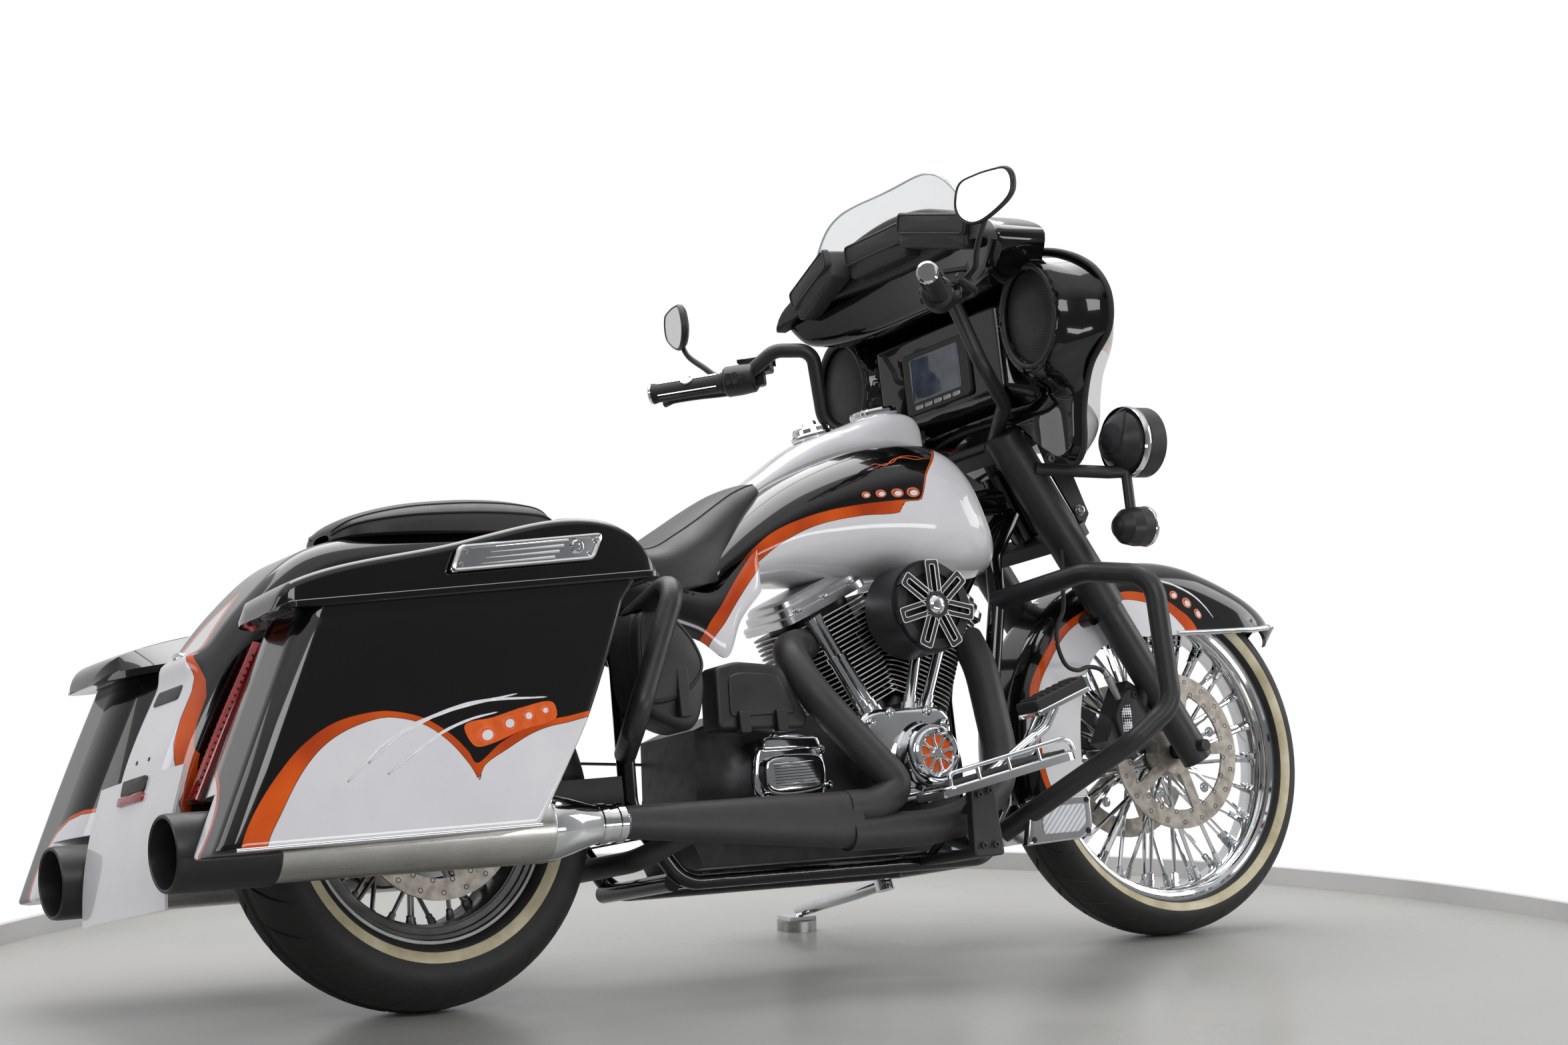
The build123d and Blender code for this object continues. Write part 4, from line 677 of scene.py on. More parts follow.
def lid_grid(count=120):
    """Rows along x: (y, z) runs seam, lip, wall, edge arc, roof, inner slope, seam; pull rounds the ends."""
    x = LID_REAR + (LID_FRONT - LID_REAR) * (1 - np.cos(np.linspace(0, np.pi, count))) / 2
    top = np.interp(x, RIDGE[:, 0], RIDGE[:, 1])
    seam = bag_seam(x) + 0.4
    rise = np.maximum(top - seam, 0.4)
    near = np.clip(np.minimum(x - LID_REAR, LID_FRONT - x) / LID_ROUND, 0, 1)
    pull = LID_ROUND * (1 - np.sqrt(1 - (1 - near) ** 2))
    lip = LID_OUT + pull
    wall = np.minimum(lip + 7, -330)
    turn = np.clip((x - LID_REAR) / REAR_ROUND, 0, 1)
    foot = BAG_IN - np.maximum(pull * 0.3, REAR_ROUND * (1 - np.sqrt(1 - (1 - turn) ** 2)))
    lip_z = seam + np.minimum(11, rise * 0.3)
    a = np.linspace(0, np.pi / 2, 7)
    r = np.minimum(13, rise * 0.45)
    rows = [(lip + 2, seam), (lip, seam + 1.5 * rise / 60), (lip, lip_z - 1), (lip + 1, lip_z),
        (wall, lip_z + 1)]
    rows += [(wall + r * (1 - np.cos(k)), top - r * (1 - np.sin(k))) for k in a]
    inner_top = np.maximum(np.minimum(LID_IN_TOP, foot - 24), wall + r + 2)
    rows += [(wall + r + (inner_top - wall - r) * s, top - 5 * s ** 2) for s in np.linspace(0.12, 1, 10)]
    kerb = seam + np.minimum(12, rise * 0.3)
    rows += [(inner_top + (foot - inner_top) * s, top - 5 + (kerb - top + 5) * s)
        for s in np.linspace(0.05, 1, 8)]
    rows += [(foot, seam)]
    y, z = [np.stack(part, -1) for part in zip(*rows)]
    return xyz(x[:, None], y, np.maximum(z, seam[:, None]))


def on_lids(part, shape, slot, finish=None, node=None, flat_angle=40):
    """The right-hand piece and its mirror image, each riding on its own lid."""
    for side, form in (("right", shape), ("left", mirrored(shape))):
        make_piece(f"{side}_{part}", form, "lid_" + side, slot, finish, [f"{node}_{side}"] if node else (),
            flat_angle)


on_lids("lid_shell", sheet(lid_grid(), close_columns=True), "black_paint", node="bag_lid", flat_angle=28)

# %% [markdown]
# Two hinges join each lid to its tub along the inner edge. The pin, its bracket and its lug stay with the
# tub, and two knuckles turn with the lid round the same pin.

# %% Lid hinges
def on_hinge(x, start, stop, radius, bore=0.0):
    """Round bar or sleeve on the hinge line at x, from start to stop along the seam's slope."""
    profile = [(start, bore), (start, radius), (stop, radius), (stop, bore)]
    if bore:
        profile.append((start, bore))
    return turned(profile, (x, BAG_IN, bag_seam(x)), (590, 0, 36), 20)


HINGE_X = (-260.0, 120.0)
hinges = []
for x in HINGE_X:
    z = float(bag_seam(x))
    hinges += [on_hinge(x, -30, 30, 4), block(x - 30, x + 30, -214, -186, z - 28, z - 7),
        block(x - 7, x + 7, -193, -183, z - 9, z + 2)]
make_piece("bag_hinge_pins", twins(*hinges), "frame", "satin_black")
knuckles = merged(*[on_hinge(x, s, s + 16, 6.4, 4.8) for x in HINGE_X for s in (-25, 9)])
on_lids("lid_knuckles", knuckles, "satin_black")

# %% [markdown]
# ## Latch plates
# Each lid carries a slanted chrome plate with a raised rim, four tapered grooves, a lock and four screws. The
# plate is a slab from its outline; the rim is a tube along the same outline.

# %% Latches
LATCH = np.array([(-125, 648), (-105, 690), (150, 708), (128, 665)], float)
LATCH_OUT = LID_OUT - 8


def corner_rounded(outline, radius, count=6):
    """Closed outline whose corners become quadratic arcs of the given reach."""
    p = np.asarray(outline, float)
    ring = rounded_path(np.concatenate([p[-1:], p, p[:1]]), radius, count)
    return ring[1:-1]


def latch():
    """Plate, rim, tapered grooves, lock and screws of the right-hand latch."""
    plate = slab(corner_rounded(LATCH, 9), LID_OUT + 1, LATCH_OUT + 4, 1.2, rings=3, fill=3)
    ring = at_y(corner_rounded(inset(LATCH, 3), 9), LATCH_OUT + 3.5)
    parts = [plate, ring_tube(ring, 3.4, 8, (0, 1, 0))]
    for row in range(4):
        start = np.array([-70 + row * 9, LATCH_OUT + 3, 661 + row * 9.0])
        line = start + np.linspace(0, 1, 8)[:, None] * (128, 0, 9)
        parts.append(tube(line, np.linspace(0.4, 2.6, 8), 6))
    parts.append(turned([(0, 0), (0, 9), (3, 11), (5, 9), (5, 5), (3.5, 4), (3.5, 0)],
        (100, LATCH_OUT + 4, 686), (0, -1, 0), 20))
    for x, z in ((-104, 661), (-94, 680), (134, 696), (122, 676)):
        parts.append(turned([(0, 0), (0, 3.5), (2, 3), (2.6, 0)], (x, LATCH_OUT + 4, z), (0, -1, 0), 10))
    return merged(*parts)


on_lids("latch", latch(), "chrome", node="bag_latch")

# %% [markdown]
# A speaker sits in the front of each lid under a wire grille. The pod is a low cushion that follows the roof,
# and its finish draws the holes of the mesh as dots of painted shade on a fine square lattice.

# %% Speaker grilles
MESH_PITCH = 0.0052


def mesh_holes(tree, place, inputs, height):
    """Holes on a square lattice: low in the bump and near black with painted shade where the cosines along the
    three axes add up high.
    """
    axes = add_node(tree, "SeparateXYZ", {"Vector": place}).outputs
    ripple = []
    for axis in (0, 1, 2):
        wave = maths(tree, "MULTIPLY", axes[axis], 2 * math.pi / MESH_PITCH)
        ripple.append(maths(tree, "COSINE", wave))
    total = maths(tree, "ADD", ripple[0], ripple[1])
    total = maths(tree, "ADD", total, ripple[2])
    hole_shade = spread(tree, total, 0.1, 0.5)
    # The holes get painted shade: near black where the lattice peaks.
    inputs["Base Color"] = mixed(tree, hole_shade, inputs["Base Color"], paint(3, 3, 3))
    return inputs, spread(tree, total, 0.0, 0.6, 1, 0)


MESH_BLACK = finish("speaker_mesh", paint(40, 40, 42), 0.42, shade=0.1, bump=0.8, depth=0.0008,
    pattern=mesh_holes)


def pod_grid(rows=26, columns=34):
    """Pod on the roof: z = roof - 7 + 13 (1 - |u|^6)(1 - |v|^6), with u along x and v across."""
    u = np.linspace(-1, 1, rows)[:, None]
    v = np.linspace(-1, 1, columns)[None, :]
    x = 150 + 72 * u + 12 * v
    y = -372 + 62 * v
    roof = np.interp(x, RIDGE[:, 0], RIDGE[:, 1])
    lift = (1 - np.abs(u) ** 6) * (1 - np.abs(v) ** 6)
    return xyz(x, y, roof - 7 + 13 * lift)


on_lids("lid_grille", sheet(pod_grid()), "satin_black", MESH_BLACK, flat_angle=60)

# %% [markdown]
# ## Rear fender
# The fender is a strip that follows a crown line. Across it, the section has flat sides and shoulders that
# are quarter ellipses. The white centre panel with its stripe widens towards the tail.

# %% Rear fender
CROWN_COUNT = 150
CROWN = smooth_path([(262, 786), (100, 784), (-106, 773), (-200, 748), (-290, 678), (-360, 600),
    (-420, 500), (-464, 400), (-492, 262)], CROWN_COUNT)
FENDER_HALF, SHOULDER = 114.0, 46.0
SKIRT_ROWS = 14
FOOT_LINE = rounded_path([(330, 700), (330, 600), (290, 480), (-330, 480), (-370, 400), (-420, 262)], 30, 8)


def even(path, count):
    """The path sampled again at equal steps of its own length."""
    p = np.asarray(path, float)
    at = distance_along(p)
    s = np.linspace(0, at[-1], count)
    return np.stack([np.interp(s, at, p[:, k]) for k in range(p.shape[1])], -1)


def fender_grid(crown, foot, half, shoulder, across=20):
    """Point = crown + (section depth) inward: foot line, side to the shoulder, quarter ellipse, flat top."""
    along = unit(np.gradient(crown, axis=0))
    inward = xyz(along[:, 1], -along[:, 0])
    inward *= np.sign(((foot - crown) * inward).sum(-1).mean())
    a = np.linspace(0, np.pi / 2, 9)[1:]
    y = np.concatenate([np.full(SKIRT_ROWS, half), half - shoulder + shoulder * np.cos(a),
        np.linspace(half - shoulder, 0, across)[1:]])
    deep = np.concatenate([np.full(SKIRT_ROWS, shoulder), shoulder - shoulder * np.sin(a),
        np.zeros(across - 1)])
    share = np.concatenate([np.linspace(1, 0, SKIRT_ROWS), np.zeros(len(y) - SKIRT_ROWS)])
    edge = crown + inward * shoulder
    base = crown[:, None] + inward[:, None] * deep[None, :, None]
    base = base + (foot - edge)[:, None] * share[None, :, None]
    full_y = np.concatenate([y, -y[-2::-1]])
    base = np.concatenate([base, base[:, -2::-1]], 1)
    return xyz(base[..., 0], full_y, base[..., 1])


def with_wall(grid, thickness):
    """Grid closed by an inner copy, moved against the normal by the thickness, and by a seam at each end."""
    du, dv = np.gradient(grid, axis=0), np.gradient(grid, axis=1)
    normal = unit(np.cross(du, dv))
    inner, middle = grid - normal * thickness, grid - normal * thickness / 2
    ring = np.concatenate([grid, inner[:, ::-1]], 1)
    ends = np.concatenate([middle, middle[:, ::-1]], 1)
    return sheet(np.concatenate([ends[:1], ring, ends[-1:]]), close_columns=True)


def walled(outer):
    """Values for `with_wall`: the outer face's own, and OUTSIDE on the inner face and along both ends."""
    ring = np.concatenate([outer, np.full_like(outer, OUTSIDE)], 1)
    end = np.full_like(ring[:1], OUTSIDE)
    return np.concatenate([end, ring, end]).ravel()


crown_line = even(CROWN, CROWN_COUNT)


def fender_bulge(grid):
    """Ledge over the lamp slot: outward by 20 exp(-((z - 576)/20)^2) in the middle, fading to the sides."""
    z, y = grid[..., 2], grid[..., 1]
    swell = 20 * np.exp(-((z - 576) / 20) ** 2) / (1 + (np.abs(y) / 66) ** 8)
    swell = swell * (grid[..., 0] < -250)
    return grid + xyz(-swell * 0.85, 0, swell * 0.5)


FENDER = fender_bulge(fender_grid(crown_line, even(FOOT_LINE, CROWN_COUNT), FENDER_HALF, SHOULDER))
# Half width of the white panel and of the stripe, by distance along the crown from its front end.
PANEL_AT = [0, 530, 545, 588, 620, 660, 702, 722, 740, 766, 813, 854, 900, 960, 1100]
PANEL_WHITE = [-60, -40, -14, 10, 24, 36, 42, 62, 80, 88, 88, 92, 106, 112, 122]
PANEL_ORANGE = [-60, -24, 0, 24, 38, 50, 57, 82, 100, 108, 109, 112, 126, 130, 138]
along_crown = distance_along(crown_line)
print("crown length", round(along_crown[-1]))


def fender_values(grid):
    """Panel half width less |y|, and less up to 130 more down the sides, for the white and for the stripe."""
    across = np.abs(grid[..., 1])
    flat = grid.shape[1] // 2 + 1 - SKIRT_ROWS
    reach = np.concatenate([np.linspace(1, 0, SKIRT_ROWS), np.zeros(flat)])
    reach = np.concatenate([reach, reach[-2::-1]])[None, :] * 130
    white = np.interp(along_crown, PANEL_AT, PANEL_WHITE)[:, None] - across - reach
    orange = np.interp(along_crown, PANEL_AT, PANEL_ORANGE)[:, None] - across - reach
    return white, orange


white, orange = fender_values(FENDER)
make_piece("rear_fender_shell", with_wall(FENDER, 3.0), "frame", "black_paint", SCHEME_PAINT,
    replaces=["rear_fender"], values=painted_values(walled(orange), walled(white)), flat_angle=50)

# %% [markdown]
# ## Fittings on the rear fender
# The slot under the ledge, the box with the small lamp, two bolts and a clip sit on the fender's crown.
# Each is placed by its height alone: the crown line gives the point, the way down and the way out.

# %% Rear fender fittings
TAIL_FROM = 60


def on_crown(z, out=0.0):
    """Point of the crown line at a height, moved outward, and the direction down the crown there."""
    k = np.argmin(np.abs(crown_line[TAIL_FROM:, 1] - z)) + TAIL_FROM
    down = unit(crown_line[min(k + 1, CROWN_COUNT - 1)] - crown_line[k - 1])
    outward = np.array([-abs(down[1]), abs(down[0])])
    p = crown_line[k] + outward * out
    return np.array([p[0], 0, p[1]]), np.array([down[0], 0, down[1]]), np.array([outward[0], 0, outward[1]])


def plate_on_crown(z, half_y, half_s, thick, out=0.0, edge=2.0):
    """Small plate lying on the crown: a rounded rectangle in (y, down), raised along the outward line."""
    at, down, outward = on_crown(z, out)
    a = np.radians(np.arange(0, 360, 15))
    c = min(half_y, half_s) * 0.5
    u = np.clip(np.sign(np.round(np.cos(a), 6)), -1, 1) * (half_y - c) + c * np.cos(a)
    v = np.clip(np.sign(np.round(np.sin(a), 6)), -1, 1) * (half_s - c) + c * np.sin(a)
    rows = [(0.0, -4.0), (1.0, -4.0), (1.0, thick - edge), (1 - edge / half_s, thick), (0.0, thick)]
    grid = np.stack([at + s * (u[:, None] * (0, 1, 0) + v[:, None] * down) + h * outward for s, h in rows])
    return sheet(grid, close_columns=True)


# The slot under the ledge is a thin dark plate of painted shade; the thicker plate is the lamp box.
make_piece("fender_slot_shade_and_box", merged(plate_on_crown(533, 52, 13, 1.2, 1.0, 0.5),
    plate_on_crown(392, 50, 13, 8)), "frame", "satin_black")
make_piece("plate_lamp", plate_on_crown(371, 52, 7, 11, 0, 2), "frame", "red_lens")
bolt_holes = [turned([(0, 3.6), (1.0, 3.6), (1.0, 0)], on_crown(434)[0] + np.array([0, y, 0]),
    on_crown(434)[2], 12) for y in (-26, 26)]
make_piece("fender_bolts", merged(*bolt_holes), "frame", "satin_black")
clip_line = np.array([(0, -22, 0), (-5, -10, 4), (-5, 10, 4), (0, 22, 0)]) + on_crown(590, 12)[0]
clip = tube(smooth_path(clip_line, 14), 3.2)
make_piece("fender_clip", clip, "frame", "chrome")

# %% [markdown]
# The filler panel closes the tail between the two muffler tips. It is one curved sheet with a small wall.
# Above it a ribbed red light bar stands on a dark backing at each side, between the fender and the bag.

# %% Filler and light bars
FILLER_HALF = 176.0


def filler_grid():
    """Tail panel: x and z follow the tail line, and x bows back by 7 (1 - (y / half)^2) across it."""
    tail = smooth_path([(-462, 408), (-488, 330), (-503, 262), (-510, 190)], 30)
    y = np.linspace(-FILLER_HALF, FILLER_HALF, 40)
    bow = 7 * (1 - (y / FILLER_HALF) ** 2)
    x = tail[:, :1] - bow[None, :] + 5
    return xyz(x, y, tail[:, 1:])


def all_white(shape):
    """Values deep inside both borders, for a piece that is white all over."""
    deep = np.full(len(shape[0]), INSIDE)
    return painted_values(deep, deep)


filler = with_wall(filler_grid()[:, ::-1], 5.0)
make_piece("tail_filler", filler, "frame", "white_paint", SCHEME_PAINT, replaces=["fender_filler"],
    values=all_white(filler))
bar_line = smooth_path([(-306, -150, 590), (-372, -150, 470), (-432, -150, 352)], 24)
bars = tube(bar_line, 13, 12)
ribs = [tube(bar_line[k] + np.array([(-13.0, -14, -6), (-13.0, 14, -6)]), 1.6, 6) for k in range(1, 23)]
make_piece("tail_light_bars", twins(bars, *ribs), "frame", "red_lens", replaces=["rear_lamps"])
backing = slab([(-284, 594), (-306, 594), (-432, 350), (-408, 350)], -116, -236, 4, rings=3)
make_piece("tail_light_backing", twins(backing), "frame", "satin_black")

# %% [markdown]
# ## Mufflers and tips
# A muffler is one turned profile: a chrome cone that swells from the pipe's clamp, then a long brushed body.
# The tip slides over its end and shows a dark bore.

# %% Mufflers
MUFFLER_Y, MUFFLER_Z = 242.0, 268.5
CONE = [(40, 0), (40, 29), (34, 33), (22, 33), (20, 31), (4, 31), (2, 34), (-10, 34), (-12, 32), (-20, 33),
    (-60, 45), (-95, 54.5), (-112, 55.5)]


def along_pipe(profile, sides=56):
    """Profile of (x, radius) turned about the right-hand muffler's centre line."""
    return turned(profile, (0, -MUFFLER_Y, MUFFLER_Z), (1, 0, 0), sides)


make_piece("muffler_cones", twins(along_pipe([(x + 222, r) for x, r in CONE])), "frame", "chrome",
    flat_angle=25)
make_piece("muffler_bodies",
    twins(along_pipe([(112, 55), (108, 56.5), (100, 56), (-365, 56), (-372, 54), (-372, 0)])), "frame",
    "brushed", replaces=["mufflers"])
TIP = [(-360, 50), (-360, 58), (-364, 60), (-520, 60), (-527, 58.5), (-529, 56), (-527, 53), (-515, 51.5),
    (-420, 51.5), (-418, 0)]
make_piece("muffler_tips_turned", twins(along_pipe(TIP)), "frame", "satin_black", replaces=["muffler_tips"],
    flat_angle=25)

# %% [markdown]
# ## Fuel tank
# The tank is a long teardrop. Across it, each section is a superellipse: nearly square low down at the front,
# rounder towards the tail. The nose leans back like the fork.

# %% Tank shape
def section_rings(x, half, low, high, power, count=64, lean=None):
    """Superellipse rings |y/half|^n + |(z - mid)/rise|^n = 1, walked by angle; x may lean with height."""
    a = full_turn(count)[None, :]
    n = np.asarray(power, float)[:, None]
    c = np.sign(np.cos(a)) * np.abs(np.cos(a)) ** (2 / n)
    s = np.sign(np.sin(a)) * np.abs(np.sin(a)) ** (2 / n)
    mid, rise = (low + high) / 2, (high - low) / 2
    y = half[:, None] * c
    z = mid[:, None] + rise[:, None] * s
    return xyz(x[:, None] + (lean(x[:, None], z) if lean else 0), y, z)


def spline_columns(table, count):
    """Columns of a table of sections, each run through by a smooth curve."""
    return smooth_path(np.asarray(table, float), count).T


TANK_TABLE = [(1190, 20, 760, 800, 2.2), (1187, 60, 730, 840, 2.3), (1178, 104, 706, 880, 2.5),
    (1150, 146, 694, 918, 2.7), (1110, 166, 690, 936, 2.8), (1050, 174, 690, 946, 2.8),
    (980, 175, 692, 947, 2.7), (900, 171, 694, 934, 2.6), (820, 164, 694, 908, 2.5),
    (740, 154, 692, 872, 2.4), (660, 143, 674, 822, 2.3), (600, 134, 652, 776, 2.2),
    (560, 124, 640, 738, 2.2), (548, 60, 660, 712, 2.1)]


def nose_rake(x, z):
    """Lean of the nose: x goes back by 0.44 (z - 800), times the square of (x - 980) / 200 held in 0-1."""
    return -np.clip((x - 980) / 200, 0, 1) ** 2 * (z - 800) * 0.44


TANK = section_rings(*spline_columns(TANK_TABLE, 130), 120, nose_rake)
TANK_WHITE = [(1170, 600), (1230, 760), (1190, 900), (1120, 938), (1075, 926), (1034, 890), (1012, 866),
    (1003, 846), (993, 821), (988, 817), (952, 815), (948, 813), (944, 796), (858, 790), (772, 776),
    (701, 748), (648, 711), (601, 664), (540, 600)]
TANK_ORANGE = [(1180, 590), (1250, 770), (1200, 915), (1118, 944), (1072, 930), (1031, 893), (1009, 868),
    (1000, 848), (991, 823), (986, 819), (948, 818), (861, 811), (774, 797), (688, 769), (634, 733),
    (587, 685), (520, 610)]


def side_values(grid, orange, white, count=160):
    """Side-view border distances at every point of a grid."""
    side = xyz(grid[..., 0].ravel(), grid[..., 2].ravel())
    return painted_values(border_distance(side, smooth_path(orange, count)),
        border_distance(side, smooth_path(white, count)))


def walled_values(grid, orange, white):
    """The same distances for a grid that `with_wall` closes."""
    values = side_values(grid, orange, white)
    return {key: walled(array.reshape(grid.shape[:2])) for key, array in values.items()}


make_piece("tank_shell", sheet(TANK, close_columns=True), "frame", "white_paint", SCHEME_PAINT,
    replaces=["fuel_tank"], values=side_values(TANK, TANK_ORANGE, TANK_WHITE), flat_angle=60)

# %% [markdown]
# ## Tank console
# A slim white console runs down the tank's spine to the nose of the seat. It carries the fuel gauge in a
# chrome ring and the filler cap. It uses the tank's sections, so it needs only its own table.

# %% Console
CONSOLE_TABLE = [(1112, 30, 905, 968, 3), (1104, 44, 905, 1000, 3.4), (1080, 54, 905, 1011, 3.6),
    (1030, 63, 900, 1013, 3.6), (990, 66, 890, 1004, 3.4), (940, 66, 880, 987, 3.2),
    (880, 62, 870, 969, 3.2), (820, 54, 850, 941, 3), (760, 46, 830, 904, 3), (700, 38, 800, 866, 2.8),
    (690, 20, 800, 852, 2.6)]
console_grid = section_rings(*spline_columns(CONSOLE_TABLE, 90), 72)
console = sheet(console_grid, close_columns=True)
make_piece("console_shell", console, "frame", "white_paint", SCHEME_PAINT, replaces=["tank_console"],
    values=all_white(console), flat_angle=50)

GAUGE, GAUGE_UP = (1036, 0, 1008), unit((-0.12, 0, 1))
gauge_ring = turned([(-4, 40), (4, 47), (10, 48), (14, 46), (14, 41), (9, 39)], GAUGE, GAUGE_UP, 56)
make_piece("gauge_ring", gauge_ring, "frame", "chrome", flat_angle=30)
make_piece("gauge_face", turned([(9, 40), (9.5, 0)], GAUGE, GAUGE_UP, 40), "frame", "gloss_plastic")
tick = []
for a in np.radians(np.arange(-30, 215, 24)):
    c, n = math.cos(a), math.sin(a)
    tick.append(tube([(1036 + 26 * c, 26 * n, 1021.5), (1036 + 34 * c, 34 * n, 1020.7)], 1.0, 4))
needle = tube([(1036, 0, 1021), (1020, 22, 1023)], [1.6, 0.7], 4)
make_piece("gauge_marks", merged(needle, *tick), "frame", "white_paint",
    finish("dial_white", paint(232, 232, 230), 0.5))
CAP, CAP_UP = (890, 0, 966), unit((-0.2, 0, 1))
cap = turned([(0, 38), (4, 40), (9, 40), (12, 36), (20, 35), (24, 32), (25, 20), (23, 12), (23, 0)], CAP,
    CAP_UP, 48)
cap_grip = turned([(22, 14), (32, 13), (34, 10), (34, 0)], CAP, CAP_UP, 8)
make_piece("filler_cap", merged(cap, cap_grip), "frame", "chrome", flat_angle=25)

# %% [markdown]
# ## Leather
# Saddle leather has fine pores, a soft sheen and slow folds. The colour drifts a little, and a pattern of
# small cells under fine noise makes the grain.

# %% Leather finish
def leather_grain(tree, place, inputs, height):
    """Cells between pores: distance-to-edge of a Voronoi pattern, with fine noise on top."""
    cells = add_node(tree, "TexVoronoi", {"Vector": place, "Scale": 420.0},
        feature="DISTANCE_TO_EDGE").outputs[0]
    pores = spread(tree, cells, 0.0, 0.12)
    total = maths(tree, "ADD", pores, height)
    return inputs, total


LEATHER = finish("saddle_leather", paint(30, 29, 30), 0.44, shade=0.2, blur=0.12, lumps=16, fine=1500,
    bump=0.3, depth=0.0003, pattern=leather_grain, Sheen_Weight=0.12)
THREAD = finish("seat_thread", paint(14, 14, 14), 0.6, lumps=300, bump=0.4)

# %% [markdown]
# ## Rider's saddle
# The saddle is dished where the rider sits, wide at the back, and its nose climbs on to the tank. Its skirts
# hang down each side. A section is a padded arch; the sections follow the seat line.

# %% Saddle
SEAT_TABLE = [(268, 96, 735, 752), (276, 112, 716, 778), (300, 126, 700, 786), (345, 138, 690, 772),
    (400, 146, 684, 757), (455, 150, 678, 758), (505, 146, 676, 782), (560, 132, 682, 812),
    (610, 112, 706, 840), (655, 92, 742, 862), (695, 76, 790, 874), (718, 60, 826, 876),
    (728, 30, 850, 868)]


def arch_rings(x, half, low, high, count=60, soft=0.22):
    """Arch over a flat base: y = half sin(a)^0.8, z = high - (high - low)(1 - cos(a)^(2 soft))."""
    a = np.linspace(-np.pi / 2, np.pi / 2, count)[None, :]
    drop = 1 - np.abs(np.cos(a)) ** (2 * soft)
    y = half[:, None] * np.sign(np.sin(a)) * np.abs(np.sin(a)) ** 0.8
    z = high[:, None] - (high - low)[:, None] * drop
    return xyz(x[:, None], y, z)


SEAT = arch_rings(*spline_columns(SEAT_TABLE, 110))
dish = 6 * np.exp(-((SEAT[..., 0] - 430) / 90) ** 2) * (1 - (SEAT[..., 1] / 150) ** 2)
SEAT[..., 2] -= dish
saddle = make_piece("saddle", sheet(SEAT, close_columns=True), "frame", "leather", LEATHER,
    replaces=["rider_seat"], flat_angle=70)


def seam_on(grid, column, lift=0.6):
    """Sewn line along one column of a grid, lifted a little off the surface."""
    line = grid[3:-3, column].copy()
    line[:, 2] += lift
    return line


seams = [tube(seam_on(SEAT, k), 1.5, 6) for k in (17, 42)]
make_piece("saddle_seams", merged(*seams), "frame", "leather", THREAD)

# %% [markdown]
# The passenger's pad is a second, flatter arch on the fender, with the same leather, two seams and a piping.

# %% Passenger pad
PAD_TABLE = [(-116, 30, 778, 790), (-112, 66, 777, 800), (-96, 92, 777, 812), (-60, 108, 777, 824),
    (0, 114, 778, 836), (60, 115, 778, 842), (130, 113, 778, 845), (200, 108, 778, 842),
    (250, 100, 780, 832), (276, 84, 782, 814), (284, 50, 784, 800)]
PAD = arch_rings(*spline_columns(PAD_TABLE, 80), 56, 0.3)
pad = make_piece("pillion_pad", sheet(PAD, close_columns=True), "frame", "leather", LEATHER,
    replaces=["passenger_pad"], flat_angle=70)
pad_seams = [tube(seam_on(PAD, k), 1.5, 6) for k in (12, 43)]
pad_piping = tube(PAD[2:-2, 5] + (0, 0, 1), 2.4, 8)
make_piece("pad_seams", merged(pad_piping, *pad_seams), "frame", "leather", THREAD)

# %% [markdown]
# ## Side covers
# The cover under the saddle carries on the lines of the tank: black, then the orange stripe, then white.

# %% Side covers
def swept_panel(upper, lower, y, bulge, rows=40, columns=24):
    """Panel p = upper (1 - v) + lower v, bowed out in y by bulge sin(pi v)^0.5 sin(pi u)^0.3."""
    top, low = smooth_path(upper, rows), smooth_path(lower, rows)
    v = np.linspace(0, 1, columns)[None, :, None]
    flat = top[:, None] * (1 - v) + low[:, None] * v
    u = np.linspace(0, 1, rows)[:, None]
    out = y - bulge * np.sin(np.pi * np.clip(v[..., 0], 0.02, 0.98)) ** 0.5 * np.sin(np.pi * u) ** 0.3
    return xyz(flat[..., 0], out, flat[..., 1])


COVER = swept_panel([(640, 734), (590, 700), (540, 660), (470, 668), (380, 690), (318, 700)],
    [(640, 660), (590, 610), (552, 545), (500, 575), (420, 600), (330, 612)], -151, 14)
cover_shape = with_wall(COVER, 4.0)
values = walled_values(COVER, [(700, 790), (634, 732), (587, 684), (549, 637), (513, 597), (500, 560),
    (700, 500)], [(700, 760), (648, 711), (601, 664), (555, 610), (520, 560), (700, 500)])
make_piece("side_cover_shells", twins(cover_shape), "frame", "white_paint", SCHEME_PAINT,
    replaces=["side_covers"], values=doubled(values), flat_angle=50)

# %% [markdown]
# ## Tyres
# A tyre is a profile turned about the axle: bead, sidewall, shoulder and crown. Its tread grooves are cut
# into the grid itself. The columns of the grid lean with the grooves, so a groove is simply two columns
# pressed inward, faded out towards the middle and the shoulder.

# %% Tyre shape
def tyre_profile(outer, half, side_r, rim_r, bead):
    """(y, radius): an elliptic sidewall, then a crown, outer - drop (1 - sqrt(1 - |y/half|^2.1))."""
    a = np.linspace(0, np.pi / 2, 9)
    low_y = bead + (half - bead) * np.sin(a)
    low_r = rim_r + 2 + (side_r - rim_r - 2) * (1 - np.cos(a))
    b = np.linspace(1, 0, 16)[1:]
    high_y = half * np.sin(b * np.pi / 2) ** 0.9
    high_r = outer - (outer - side_r) * (1 - np.sqrt(np.maximum(1 - (high_y / half) ** 2.1, 0)))
    y = np.concatenate([low_y, high_y])
    r = np.concatenate([low_r, high_r])
    return np.concatenate([y, -y[-2::-1]]), np.concatenate([r, r[-2::-1]])


